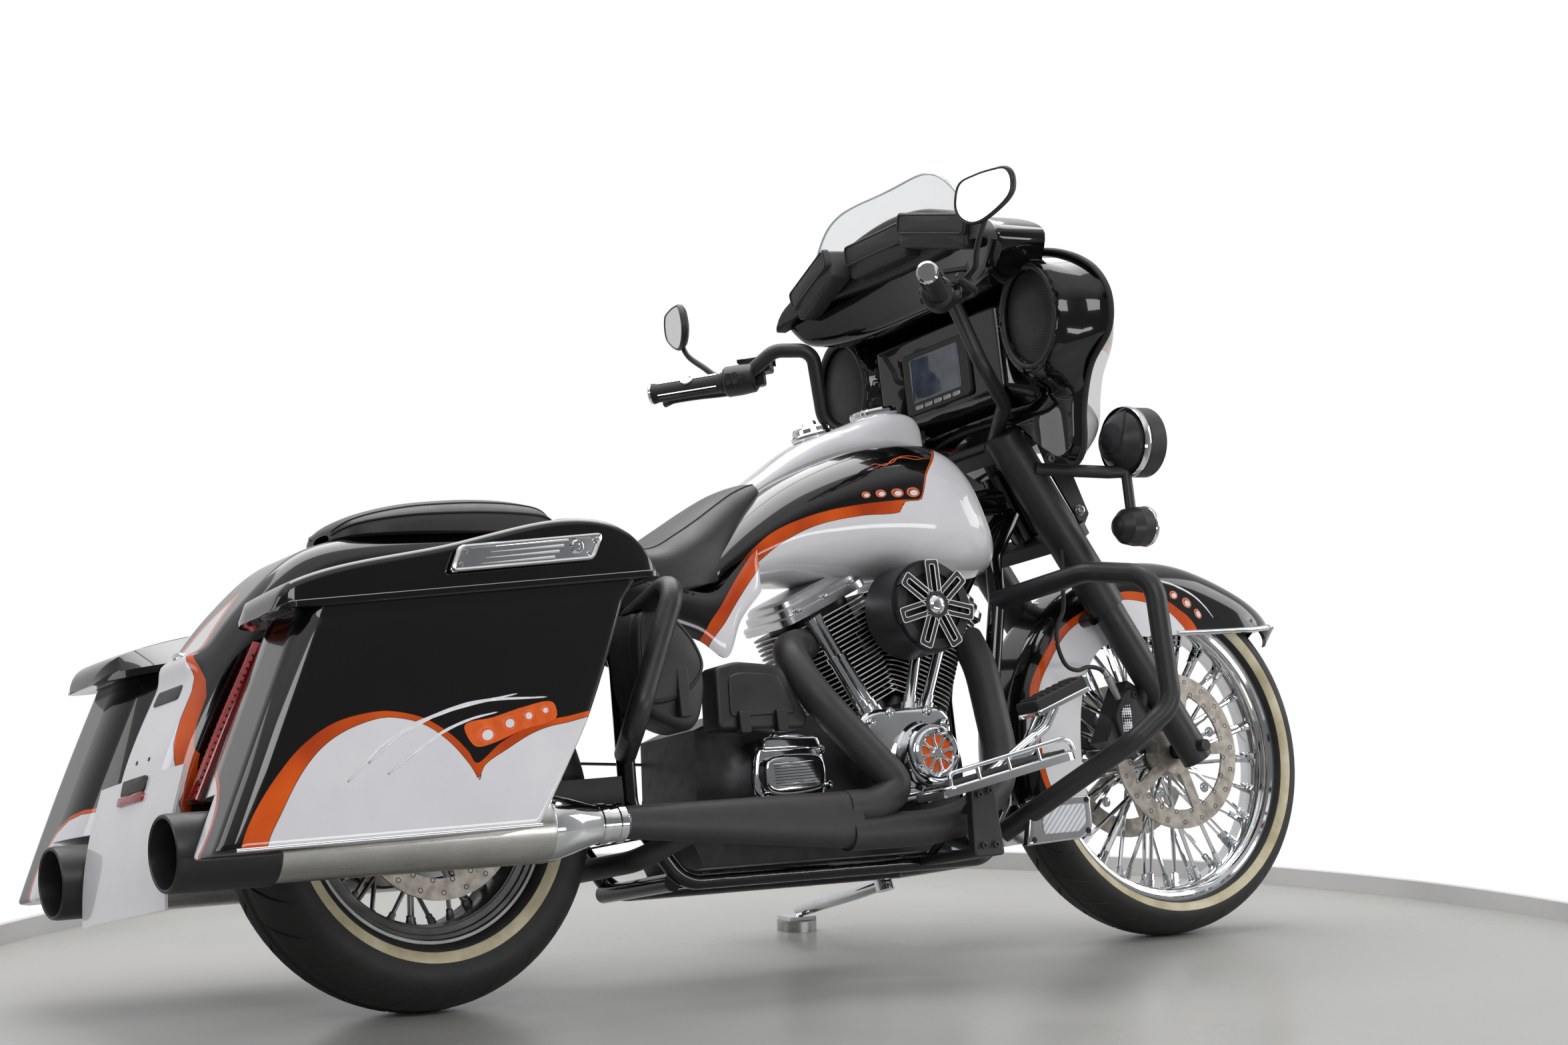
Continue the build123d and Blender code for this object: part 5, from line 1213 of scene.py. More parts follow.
def tyre(x, z, profile, grooves, depth, lean):
    """Profile turned about (x, z); column angle = turn + lean |y|; grooves go in by depth x mask(|y|)."""
    y, r = profile
    pattern = np.array([0, 0.28, 0.40, 0.43, 0.455, 0.49, 0.52, 0.75])
    turn = ((np.arange(grooves)[:, None] + pattern[None]) * 2 * np.pi / grooves).ravel()
    cut = np.tile([0, 0, 0, 1.0, 1.0, 0, 0, 0], grooves)
    half = y.max()
    mask = np.clip((np.abs(y) / half - 0.16) / 0.06, 0, 1) * np.clip((0.95 - np.abs(y) / half) / 0.08, 0, 1)
    mask = mask * (r > r.max() - (r.max() - r.min()) * 0.62)
    radius = r[None] - depth * cut[:, None] * mask[None]
    radius = radius - 3.0 * np.exp(-((np.abs(y[None]) - 13) / 2.2) ** 2) * (r[None] > r.max() - 8)
    angle = (turn[:, None] + lean * np.abs(y[None]) / half
        + np.where(y < 0, 0.5, 0)[None] * 2 * np.pi / grooves)
    return xyz(x + radius * np.cos(angle), y, z + radius * np.sin(angle))


def tyre_colour(tree, place, inputs, height):
    """Black rubber with a cream band where the stored distance is positive, worn browner in random patches."""
    band = add_node(tree, "Attribute", attribute_name="white_edge").outputs["Fac"]
    dirt = spread(tree, noise(tree, place, 22, 4), 0.3, 0.7)
    cream = mixed(tree, dirt, paint(176, 164, 128), paint(214, 204, 176))
    inputs["Base Color"] = mixed(tree, spread(tree, band, -0.4, 0.4), inputs["Base Color"], cream)
    return inputs, height


TYRE_RUBBER = finish("tyre_rubber", paint(30, 29, 28), 0.6, shade=0.25, blur=0.14, lumps=18, fine=700,
    bump=0.35, pattern=tyre_colour)


def tyre_piece(name, x, z, profile, grooves, depth, lean, band, body, node):
    """Tyre with its cream band between two radii on the sidewalls."""
    y, r = profile
    grid = tyre(x, z, profile, grooves, depth, lean)
    sidewall = np.abs(y) > 0.55 * y.max()
    value = np.where(sidewall, np.minimum(r - band[0], band[1] - r), -20.0)
    values = {"white_edge": np.broadcast_to(value, grid.shape[:2]).ravel()}
    make_piece(name, sheet(grid, close_rows=True, close_columns=True), body, "tyre_rubber", TYRE_RUBBER,
        replaces=[node], values=values, flat_angle=38)


FRONT_PROFILE = tyre_profile(346, 65, 306, 281, 41)
REAR_PROFILE = tyre_profile(320, 90, 262, 212, 64)
tyre_piece("front_tyre_ring", FRONT_AXLE_X, FRONT_AXLE_Z, FRONT_PROFILE, 30, 3.0, 0.2, (289, 305),
    "front_wheel", "front_tyre")
tyre_piece("rear_tyre_ring", 0, REAR_AXLE_Z, REAR_PROFILE, 26, 3.5, 0.26, (228, 246), "rear_wheel",
    "rear_tyre")

# %% [markdown]
# ## Spoked wheels
# The rim is a turned profile with a deep polished lip. The spokes are made once for one hole and turned about
# the axle: each leaves the hub's flange almost sideways, crosses its neighbours and ends in a nipple.

# %% Wheels
def about_axle(shape, x, z, turns):
    """Copies of a shape turned about the wheel's axle by each angle."""
    points, faces = shape
    p = points - (x, 0, z)
    c, s = np.cos(turns)[:, None], np.sin(turns)[:, None]
    px, pz = c * p[None, :, 0] - s * p[None, :, 2], s * p[None, :, 0] + c * p[None, :, 2]
    full = xyz(px + x, p[None, :, 1], pz + z).reshape(-1, 3)
    lift = (np.arange(len(turns)) * len(points))[:, None, None]
    return full, (faces[None] + lift).reshape(-1, faces.shape[1])


def spoke(x, z, hub_r, hub_y, rim_r, rim_y, sweep, radius):
    """Straight rod from hub flange to rim, swept by an angle, with a stepped nipple at the rim."""
    a = np.array([x + hub_r, hub_y, z])
    b = np.array([x + rim_r * math.cos(sweep), rim_y, z + rim_r * math.sin(sweep)])
    line = lambda t: a + (b - a) * t
    rod = tube([line(t) for t in (0, 0.5, 0.88)], [radius] * 3, 7, reference=(0, 1, 0))
    nipple = tube([line(t) for t in (0.87, 0.88, 0.93, 0.932, 0.99, 1.0)],
        [radius, radius + 2.2, radius + 2.2, radius + 3.4, radius + 3.4, radius + 1], 8,
        reference=(0, 1, 0))
    return merged(rod, nipple)


def spoke_set(x, z, count, hub_r, hub_y, rim_r, rim_y, sweep, radius):
    """Four fans of spokes: both flanges, swept both ways, each fan turned half a pitch from the next."""
    fans = []
    pitch = 2 * np.pi * 4 / count
    for k, (side, way) in enumerate(((1, 1), (1, -1), (-1, 1), (-1, -1))):
        one = spoke(x, z, hub_r, side * hub_y, rim_r, side * rim_y, way * sweep, radius)
        fans.append(about_axle(one, x, z, np.arange(count // 4) * pitch + k * pitch / 4))
    return merged(*fans)


def rim(x, z, lip_r, lip_y, well_r):
    """Turned rim: rounded lip, step, drop to the well, and the same back on the tyre's side."""
    half = [(lip_y + 2, lip_r + 1), (lip_y + 5, lip_r - 2), (lip_y + 5, lip_r - 7), (lip_y + 1, lip_r - 10),
        (lip_y - 1, lip_r - 16), (lip_y - 7, lip_r - 19), (lip_y - 11, well_r + 5), (lip_y - 20, well_r)]
    outer = [(lip_y - 20, well_r + 4), (lip_y - 8, well_r + 8), (lip_y - 4, lip_r - 13),
        (lip_y - 1, lip_r - 6)]
    ring = half + [(-y, r) for y, r in half[::-1]] + [(-y, r) for y, r in outer] + outer[::-1] + [half[0]]
    return turned(ring, (x, 0, z), (0, 1, 0), 120)


def hub(x, z, half, flange_y, flange_r):
    """Turned hub: end, barrel and two flanges that hold the spokes."""
    side = [(half, 15), (half, 30), (flange_y + 6, 32), (flange_y + 4, flange_r), (flange_y - 3, flange_r),
        (flange_y - 5, 34), (6, 28)]
    ring = side + [(-y, r) for y, r in side[::-1]] + [(-half, 15), (half, 15)]
    return turned(ring, (x, 0, z), (0, 1, 0), 48)


front_wheel = merged(rim(FRONT_AXLE_X, FRONT_AXLE_Z, 285, 40, 256),
    spoke_set(FRONT_AXLE_X, FRONT_AXLE_Z, 52, 40, 32, 258, 10, 0.42, 4.0),
    hub(FRONT_AXLE_X, FRONT_AXLE_Z, 44, 30, 46))
make_piece("front_wheel_spoked", front_wheel, "front_wheel", "chrome", replaces=["front_rim"], flat_angle=30)
RIM_GREY = finish("satin_rim", paint(150, 150, 150), 0.34, 1.0, shade=0.1, blur=0.1, lumps=20, bump=0.1)
rear_wheel = merged(rim(0, REAR_AXLE_Z, 216, 62, 180),
    spoke_set(0, REAR_AXLE_Z, 40, 46, 46, 182, 14, 0.5, 4.0), hub(0, REAR_AXLE_Z, 60, 44, 52))
make_piece("rear_wheel_spoked", rear_wheel, "rear_wheel", "steel", RIM_GREY, replaces=["rear_rim"],
    flat_angle=30)

# %% [markdown]
# ## Brake discs
# A disc is a thin ring, brushed by its pads and drilled right through. The ring keeps its shape from the
# frame. Each hole is a countersunk cup on its outer face, dark with painted shade, and the carrier's bolts sit on
# its arms.

# %% Discs
def disc_brush(tree, place, inputs, height):
    """Dull warm steel with blotches from heat and pads."""
    spots = spread(tree, noise(tree, place, 55, 5), 0.35, 0.65)
    inputs["Base Color"] = mixed(tree, spots, paint(150, 142, 132), paint(186, 180, 172))
    return inputs, height


DISC_STEEL = finish("disc_steel", paint(196, 190, 182), 0.36, 0.8, shade=0.05, blur=0.08, bump=0.15,
    pattern=disc_brush)


def disc_fittings(x, z, radius, y, side):
    """Countersunk holes in two staggered rows, dark cups of painted shade, and five carrier bolts with washers, on
    the outer face.
    """
    rows = []
    for depth, shift in ((12, 0), (32, 0.5)):
        hole_shade = turned([(-1.2, 0), (-1.2, 2.6), (0.35, 3.4), (0.5, 4.3), (0, 4.6)],
            (x + radius - depth, y, z), (0, side, 0), 12)
        rows.append(about_axle(hole_shade, x, z, (np.arange(20) + shift) * 2 * np.pi / 20))
    bolt = turned([(0, 0), (0, 10), (2, 10), (2, 6), (6, 5.5), (6, 3), (3.5, 2.4), (3.5, 0)],
        (x + radius - 56, y, z), (0, side, 0), 12)
    bolts = about_axle(bolt, x, z, np.arange(5) * 2 * np.pi / 5 + 0.35)
    return merged(*rows), bolts


for name, x, z, radius, face, body, sides in (("front", FRONT_AXLE_X, FRONT_AXLE_Z, 150, 81.5,
        "front_wheel", (-1, 1)), ("rear", 0, REAR_AXLE_Z, 146, 100.5, "rear_wheel", (-1,))):
    made = [disc_fittings(x, z, radius, side * face, side) for side in sides]
    # The hole cups take the dark satin finish as painted shade in the drilled holes.
    make_piece(f"{name}_disc_hole_shades", merged(*[m[0] for m in made]), body, "steel", SATIN_BLACK, flat_angle=30)
    make_piece(f"{name}_disc_bolts", merged(*[m[1] for m in made]), body, "steel", CHROME, flat_angle=30)
for part in ("front_discs", "rear_disc"):
    PARTS[part].data.materials[0] = DISC_STEEL

# %% [markdown]
# ## Front fender
# The same strip as behind, wrapped round the front tyre. Its crown is an arc about the axle that opens into a
# much larger arc, which makes the flared tip.

# %% Front fender
ARCH_R, TIP_R, FLARE, FRONT_COUNT = 374.0, 740.0, 71.6, 170


def arc_points(cx, cz, radius, start, stop, count):
    """Points of a circle between two angles given in degrees."""
    a = np.radians(np.linspace(start, stop, count))
    return xyz(cx + radius * np.cos(a), cz + radius * np.sin(a))


arch = arc_points(FRONT_AXLE_X, FRONT_AXLE_Z, ARCH_R, 192.5, FLARE, 120)
back, flare = TIP_R - ARCH_R, math.radians(FLARE)
tip = arc_points(FRONT_AXLE_X - back * math.cos(flare), FRONT_AXLE_Z - back * math.sin(flare), TIP_R, 71,
    52.6, 46)
front_crown = even(np.concatenate([arch, tip]), FRONT_COUNT)
front_foot = smooth_path([(1362, 267), (1358, 310), (1360, 362), (1371, 430), (1391, 491), (1412, 524),
    (1440, 548), (1500, 566), (1560, 568), (1640, 569), (1740, 570), (1846, 573), (1900, 580), (1930, 587)],
    FRONT_COUNT)
share_at = np.linspace(0, 1, FRONT_COUNT)
stations = [0, 0.1, 0.2, 0.3, 0.4, 0.5, 0.6, 0.7, 0.82, 1.0]
foot_share = np.interp(share_at, stations, [0, 0.10, 0.2, 0.3, 0.37, 0.44, 0.53, 0.63, 0.79, 1.0])
foot_at = distance_along(front_foot)
foot_even = np.stack([np.interp(foot_share * foot_at[-1], foot_at, side) for side in front_foot.T], -1)
F_HALF, F_SHOULDER = 86.0, 52.0
FRONT = fender_grid(front_crown, foot_even, F_HALF, F_SHOULDER)
narrow = np.sqrt(np.clip(1 - np.clip((share_at - 0.86) / 0.15, 0, 1) ** 2.4, 0.05, 1))
FRONT[..., 1] *= narrow[:, None]
F_WHITE = [(1330, 200), (1276, 300), (1268, 400), (1280, 474), (1316, 530), (1360, 578), (1410, 606),
    (1470, 628), (1511, 640), (1580, 630), (1614, 617), (1641, 594), (1656, 575), (1660, 540), (1660, 200)]
F_ORANGE = [(1320, 190), (1264, 300), (1256, 400), (1266, 478), (1303, 538), (1350, 588), (1402, 618),
    (1466, 642), (1513, 656), (1575, 650), (1618, 636), (1645, 619), (1666, 604), (1684, 580), (1690, 540),
    (1690, 190)]
values = walled_values(FRONT, F_ORANGE, F_WHITE)
make_piece("front_fender_shell", with_wall(FRONT, -3.0), "front_assembly", "white_paint", SCHEME_PAINT,
    replaces=["front_fender"], values=values, flat_angle=50)
edge = FRONT[:, 0][foot_even[:, 0] > 1630]
side_edge = edge[edge[:, 0] < edge[:, 0].max() - 26]
tip = [(edge[:, 0].max() + 2, 0, side_edge[-1, 2] + 5)]
trim_line = smooth_path(np.concatenate([side_edge[::6], tip, (side_edge[::6] * (1, -1, 1))[::-1]]), 120)
make_piece("fender_tip_trim", tube(trim_line + (0, 0, 3), 5.5, 10), "front_assembly", "chrome")
lugs = [turned([(0, 12), (34, 12)], (1404, s * (F_HALF - 4), 600), (0, s, 0), 16) for s in (-1, 1)]
make_piece("fender_lugs", merged(*lugs), "front_assembly", "satin_black")

# %% [markdown]
# ## Batwing fairing
# The shell is one closed outline that shrinks towards the lamp while it moves forward. How far it has shrunk
# lies between a straight line and a quarter of an ellipse, which gives the full cheeks.

# %% Fairing shell
FAIRING_X, NOSE_X, HEADLAMP_Z = 1262.0, 1486.0, 1075.0
BACK_OUTLINE = [(0, 1298), (150, 1292), (300, 1262), (400, 1212), (444, 1150), (436, 1085), (372, 1030),
    (338, 960), (322, 885), (290, 862), (250, 898), (150, 968), (0, 988)]
NOSE_OUTLINE = [(0, 1205), (50, 1200), (88, 1185), (112, 1158), (124, 1120), (122, 1082), (114, 1045),
    (104, 1010), (92, 985), (76, 968), (58, 958), (34, 952), (0, 950)]


def whole_outline(half):
    """Half outline and its mirror as one closed smooth ring of (y, z)."""
    ring = np.array(half, float)
    ring = np.concatenate([ring, (ring[1:-1] * (-1, 1))[::-1]])
    return smooth_path(ring, 220, closed=True)


back_ring, nose_ring = whole_outline(BACK_OUTLINE), whole_outline(NOSE_OUTLINE)


def fairing_grid(rows=44):
    """x = back + reach sin a / sin 72; share = 0.75 of that sine + 0.25 (1 - cos a) / (1 - cos 72)."""
    a = np.radians(np.linspace(0, 72, rows))[:, None, None]
    reach, curve = np.sin(a) / math.sin(math.radians(72)), (1 - np.cos(a)) / (1 - math.cos(math.radians(72)))
    ring = back_ring[None] + (nose_ring - back_ring)[None] * (0.75 * reach + 0.25 * curve)
    x = FAIRING_X + (NOSE_X - FAIRING_X) * reach[..., 0]
    return xyz(x, ring[..., 0], ring[..., 1])


SHELL = fairing_grid()
nose_cap = (SHELL[-1:]
    + (np.array([[NOSE_X, 0, HEADLAMP_Z]]) - SHELL[-1:]) * np.array([0.25, 0.6])[:, None, None])
SHELL = np.concatenate([SHELL, nose_cap * (0, 1, 1) + (NOSE_X + 2, 0, 0)])
front_y, front_z = np.abs(SHELL[..., 1]).ravel(), SHELL[..., 2].ravel()
cheek = np.minimum(1096 - 0.16 * (front_y - 200) - front_z, front_y - 110)
make_piece("fairing_cowl", sheet(SHELL, close_columns=True), "front_assembly", "white_paint", SCHEME_PAINT,
    replaces=["fairing_shell"], values=painted_values(cheek, cheek - 12), flat_angle=50)
fairing_rim = ring_tube(at_x(back_ring, FAIRING_X - 1), 5.5, 10, (1, 0, 0), 2)
make_piece("fairing_edge", fairing_rim, "front_assembly", "rubber")
bezel = turned([(0, 98), (16, 98), (22, 94), (24, 88), (14, 86)], (NOSE_X - 2, 0, HEADLAMP_Z), (1, 0, 0), 64)
make_piece("headlamp_ring", bezel, "front_assembly", "chrome")

# %% [markdown]
# The rider's side of the fairing is a height field over the same outline. Speaker pods and the middle block
# are smooth steps added to a flat panel, and the larger of them wins at each point.

# %% Inner fairing
POD_Y, POD_Z = 303.0, 1134.0
DASH_MIDDLE = np.array([0, 1110])


def smooth_step(v):
    """3 v^2 - 2 v^3 between 0 and 1."""
    v = np.clip(v, 0, 1)
    return v * v * (3 - 2 * v)


def dash_height(y, z):
    """Height towards the rider: the greatest of four smooth steps, for pods, middle, brow and lower edge."""
    r = np.hypot(np.abs(y) - POD_Y, (z - POD_Z) * 0.82)
    pods = 70 * smooth_step((122 - r) / 40) - 12 * smooth_step((80 - r) / 5)
    middle = (56 * smooth_step((236 - np.abs(y)) / 46) * smooth_step((z - 990) / 40)
        * smooth_step((1216 - z) / 36))
    brow = 40 * smooth_step((z - 1196) / 50) * smooth_step((330 - np.abs(y)) / 120)
    low = 22 * smooth_step((1010 - z) / 50) * smooth_step((300 - np.abs(y)) / 80)
    return np.maximum(np.maximum(pods, middle), np.maximum(brow, low)) + 14


def dash_grid(rings=84):
    """Outline shrunk to the middle ring by ring; x = back edge - height, blended to the edge at the rim."""
    t = np.linspace(0, 1, rings)[:, None, None] ** 0.9
    ring = back_ring * 0.985 + DASH_MIDDLE * 0.015
    yz = ring[None] + (DASH_MIDDLE - ring)[None] * t
    rise = dash_height(yz[..., 0], yz[..., 1]) * smooth_step(t[..., 0] / 0.05)
    return xyz(FAIRING_X + 4 - rise, yz[..., 0], yz[..., 1])


make_piece("inner_fairing", sheet(dash_grid(), close_columns=True), "front_assembly", "gloss_plastic",
    replaces=["fairing_dash"], flat_angle=80)


def facing_rider(shape, x=0.0):
    """A slab drawn in (x, z) with depth y, set to face the rider: outline in (y, z), depth along -x."""
    points, faces = shape
    return xyz(x - points[:, 1], points[:, 0], points[:, 2]), faces


def ellipse(cx, cz, rx, rz, count=48):
    """Closed ellipse in the plane of an outline."""
    a = full_turn(count)
    return xyz(cx + rx * np.cos(a), cz + rz * np.sin(a))


def rounded_box(y0, y1, z0, z1, corner, steps=5):
    """Closed rectangle with rounded corners in the plane of an outline."""
    a = np.radians(np.linspace(0, 90, steps))
    parts = []
    for cy, cz, turn in ((y1 - corner, z1 - corner, 0), (y0 + corner, z1 - corner, 90),
            (y0 + corner, z0 + corner, 180), (y1 - corner, z0 + corner, 270)):
        b = a + math.radians(turn)
        parts.append(xyz(cy + corner * np.cos(b), cz + corner * np.sin(b)))
    return np.concatenate(parts)


pod_rings, pod_grilles = [], []
for s in (-1, 1):
    pod_grilles.append(facing_rider(slab(ellipse(s * POD_Y, POD_Z, 72, 88), 0, 8, 4, crown=6),
        FAIRING_X - 62))
    ring = at_x(ellipse(s * POD_Y, POD_Z, 77, 93, 72), FAIRING_X - 76)
    pod_rings.append(ring_tube(ring, 6, 10, (1, 0, 0), 2))
make_piece("dash_speaker_mesh", merged(*pod_grilles), "front_assembly", "satin_black", MESH_BLACK)
make_piece("dash_speaker_rings", merged(*pod_rings), "front_assembly", "satin_black")

# The wide colour drift over broad lumps (shade 0.6) is a painted reflection: pale patches on the dark glass.
DISPLAY_PAINTED_REFLECTION = finish("display_glass_painted_reflection", paint(66, 72, 86), 0.1, shade=0.6, blur=0.06, lumps=16, bump=0.01,
    Coat_Weight=1.0)
frame_panel = facing_rider(slab(rounded_box(-102, 102, 1036, 1154, 8), 0, 16, 3), FAIRING_X - 58)
make_piece("display_frame", frame_panel, "front_assembly", "plastic", flat_angle=30)
glass = facing_rider(slab(rounded_box(-78, 78, 1056, 1142, 4), 0, 1.2, 0.5), FAIRING_X - 73.5)
make_piece("display_screen", glass, "front_assembly", "gloss_plastic", DISPLAY_PAINTED_REFLECTION)
keys = [facing_rider(slab(rounded_box(y - 12, y + 12, 1042, 1050, 2.5), 0, 2, 0.8, rings=3, fill=2),
    FAIRING_X - 73.5) for y in range(-60, 61, 30)]
make_piece("display_keys", merged(*keys), "front_assembly", "steel")

# %% [markdown]
# ## Windscreen, hood and pouch
# The screen is a thin sheet bowed across and raked back, with its top corners rounded off. Its edge gets a
# pale tube, because clear plastic shows itself mostly at the rim.

# %% Windscreen
SCREEN_FOOT = 1272.0


def screen_grid(rows=30, columns=70):
    """x = back(t) + bow(t) (1 - w^2), y = half(t) w, z = foot + (top(w) - foot) t; top falls by |w|^4.5."""
    t = np.linspace(0, 1, rows)[:, None]
    w = np.linspace(-1, 1, columns)[None, :]
    half = 300 - 14 * t - 44 * t ** 3
    top = 1454 - 84 * np.abs(w) ** 4.5
    z = SCREEN_FOOT + (top - SCREEN_FOOT) * t
    rise = (z - SCREEN_FOOT) / 180
    x = 1152 - 76 * rise + (90 - 40 * rise) * (1 - w ** 2)
    return xyz(x, half * w, z)


SCREEN = screen_grid()
make_piece("windscreen_sheet", with_wall(SCREEN, 4.0), "front_assembly", "screen", replaces=["windscreen"],
    flat_angle=30)
SMOKE_EDGE = finish("screen_edge", paint(196, 202, 204), 0.15, shade=0.05, bump=0.02, Transmission_Weight=0.4)
make_piece("windscreen_edge", tube(SCREEN[-1], 2.2, 8), "front_assembly", "screen", SMOKE_EDGE)
# The black tubes along both side edges are painted shade: the clear screen's edge, seen end-on, looks dark.
make_piece("windscreen_side_edge_shade", merged(tube(SCREEN[:, 0], 2.6, 8), tube(SCREEN[:, -1], 2.6, 8)),
    "front_assembly", "rubber")

# %% [markdown]
# A glossy hood closes the gap between the screen's foot and the instruments. Its sides are swept back.

# %% Hood
HOOD_TOP = [(-350, 1280), (-330, 1300), (-270, 1328), (-190, 1355), (-100, 1378), (0, 1385), (100, 1378),
    (190, 1355), (270, 1328), (330, 1300), (350, 1280)]
HOOD_FOOT = [(340, 1256), (300, 1222), (168, 1204), (0, 1206), (-168, 1204), (-300, 1222), (-340, 1256)]


def bowed(shape, amount=0.0004):
    """Sides swept back: x falls by amount y^2."""
    points, faces = shape
    return points - xyz(amount * points[:, 1] ** 2, 0, 0), faces


hood = bowed(facing_rider(slab(smooth_path(HOOD_TOP + HOOD_FOOT, 120, closed=True), 0, 118, 22, 4, fill=4),
    FAIRING_X - 4))
make_piece("fairing_hood", hood, "front_assembly", "gloss_plastic", flat_angle=60)

# %% [markdown]
# The pouch is soft: a padded backing on the hood and three stuffed pockets, each with a flap and a sewn edge.
# Crowned slabs give the stuffed look, and the outer two pockets are rolled and turned to follow the screen.

# %% Pouch
VINYL = finish("pouch_vinyl", paint(38, 37, 38), 0.5, shade=0.2, blur=0.12, lumps=20, fine=1300, bump=0.3,
    pattern=leather_grain)


def pocket(width, high, deep):
    """Stuffed pocket with a flap over its upper half: both are slabs with a crowned face."""
    bag = facing_rider(slab(rounded_box(-width / 2, width / 2, -high / 2, high / 2, 9), -deep / 2, deep / 2,
        9, 6))
    flap = facing_rider(slab(rounded_box(-width / 2 - 2, width / 2 + 2, -high * 0.12, high / 2 + 2, 8),
        deep / 2 - 5, deep / 2 + 6, 3, 3))
    line = at_x(rounded_box(-width / 2 + 3, width / 2 - 3, -high * 0.08, high / 2 - 2, 7), -deep / 2 - 7)
    return merged(bag, flap, ring_tube(line, 1.4, 6, (1, 0, 0)))


def placed(shape, centre, roll=0.0, yaw=0.0):
    """Turn by roll about x, then by yaw about z, then move."""
    points, faces = shape
    a, b = math.radians(roll), math.radians(yaw)
    x, y, z = points.T
    y, z = y * math.cos(a) - z * math.sin(a), y * math.sin(a) + z * math.cos(a)
    x, y = x * math.cos(b) - y * math.sin(b), x * math.sin(b) + y * math.cos(b)
    return xyz(x, y, z) + centre, faces


POUCH_X = 1126.0
POUCH_FOOT = [(352, 1262), (300, 1284), (200, 1292), (80, 1290), (0, 1290)]
backing_line = smooth_path([(y * 0.985, z + 16 - abs(y) / 30) for y, z in HOOD_TOP] + POUCH_FOOT
    + [(-y, z) for y, z in POUCH_FOOT[-2::-1]], 110, closed=True)
backing = bowed(facing_rider(slab(backing_line, -16, 10, 8, 5, fill=4), POUCH_X + 4))
side_pocket = placed(pocket(176, 62, 40), (POUCH_X - 40, 198, 1318), -15, -9)
pouch = make_piece("screen_pouch_pockets",
    merged(backing, placed(pocket(188, 64, 44), (POUCH_X - 22, 0, 1334)), twins(side_pocket)),
    "front_assembly", "leather", VINYL, replaces=["screen_pouch"], flat_angle=60)

# %% [markdown]
# ## Mirrors
# Each mirror is one smooth closed outline, drawn at several sizes: a shallow black bowl behind, a rim, and
# the glass set just inside the rim.

# %% Mirrors
MIRROR_AT = np.array([942.0, -520, 1297])
MIRROR_TILT = 11.0
YAW = math.radians(16)
MIRROR_OUT = np.array([-math.cos(YAW), -math.sin(YAW), 0])
MIRROR_SIDE = np.array([math.sin(YAW), -math.cos(YAW), 0])
GLASS_LINE = smooth_path([(-64, -4), (-50, 33), (-14, 41), (30, 41), (54, 37), (64, 20), (60, -6),
    (38, -24), (-8, -44), (-34, -44), (-56, -28)], 80, closed=True)


def mirror_rows(rows):
    """Rings of the outline: scaled by s and moved by d the way the mirror faces."""
    flat = GLASS_LINE[:, :1] * MIRROR_SIDE + GLASS_LINE[:, 1:] * np.array([0, 0, 1])
    return sheet(np.stack([MIRROR_AT + s * flat + d * MIRROR_OUT for s, d in rows]), close_columns=True)


bowl = mirror_rows([(0.9, 0), (0.95, 2.4), (1.0, 2), (1.04, -2), (1.02, -9), (0.86, -16), (0.55, -20),
    (0, -21)])
pane = mirror_rows([(0.93, 0.2), (0.93, 1.0), (0.5, 1.4), (0, 1.5)])
stalk = tube(smooth_path([(985, -352, 1165), (975, -430, 1186), (962, -456, 1208), (950, -490, 1236),
    (950, -512, 1264)], 30), np.linspace(6.5, 5, 30), 10)


def leaned(shape):
    """Lowered on the right and raised on the left by the tilt, in proportion to the height over the bar."""
    right, left = shape[0].copy(), mirrored(shape)
    lift = MIRROR_TILT * np.clip((right[:, 2] - 1165) / 110, 0, 1)
    right[:, 2] -= lift
    left[0][:, 2] += lift
    return merged((right, shape[1]), left)


make_piece("mirror_bowls", leaned(merged(bowl, stalk)), "front_assembly", "satin_black",
    replaces=["mirrors"], flat_angle=50)
make_piece("mirror_panes", leaned(pane), "front_assembly", "mirror_glass")

# %% [markdown]
# ## Grips and controls
# Everything on the bar is laid out along the grip's own direction, with one line forward of it for the lever.

# %% Grips and controls
GRIP_ROOT = np.array([965.0, -330, 1158])
GRIP_WAY = unit((-124, -138, 0))
AHEAD = np.array([-GRIP_WAY[1], GRIP_WAY[0], 0])
ABOVE = np.array([0, 0, 1.0])


def on_grip(along, ahead=0.0, above=0.0):
    """Point beside the right-hand grip."""
    return GRIP_ROOT + GRIP_WAY * along + AHEAD * ahead + ABOVE * above


def grip_block(along, ahead, above, size, edge):
    """Rounded block whose sides follow the grip: size along, ahead and above."""
    points, faces = slab(rounded_box(-size[0] / 2, size[0] / 2, -size[2] / 2, size[2] / 2, edge),
        -size[1] / 2, size[1] / 2, min(edge, size[1] * 0.4), 1.0, rings=4, fill=3)
    a, b, c = points.T[..., None]
    return on_grip(along, ahead, above) + a * GRIP_WAY + b * AHEAD + c * ABOVE, faces


rubber_part = turned([(34, 15), (34, 20), (38, 21), (42, 18.5), (172, 18.5), (178, 20), (182, 20)],
    GRIP_ROOT, GRIP_WAY, 32)
chrome_cap = turned([(182, 20.5), (186, 20), (189, 16), (190, 0)], GRIP_ROOT, GRIP_WAY, 32)
stripes = []
for a in np.radians([100, 118, 208, 226, 10, 28]):
    c, n = 18.6 * math.cos(a), 18.6 * math.sin(a)
    stripes.append(tube([on_grip(48, c, n), on_grip(168, c, n)], 1.9, 6))
badge = turned([(17, 12), (20, 12), (21, 9), (21, 0)], on_grip(108), unit(ABOVE * 0.75 - AHEAD * 0.65), 24)
make_piece("grip_sleeves", twins(rubber_part), "front_assembly", "rubber", replaces=["hand_grips"])
make_piece("grip_trim", twins(chrome_cap, badge, *stripes), "front_assembly", "chrome", flat_angle=30)

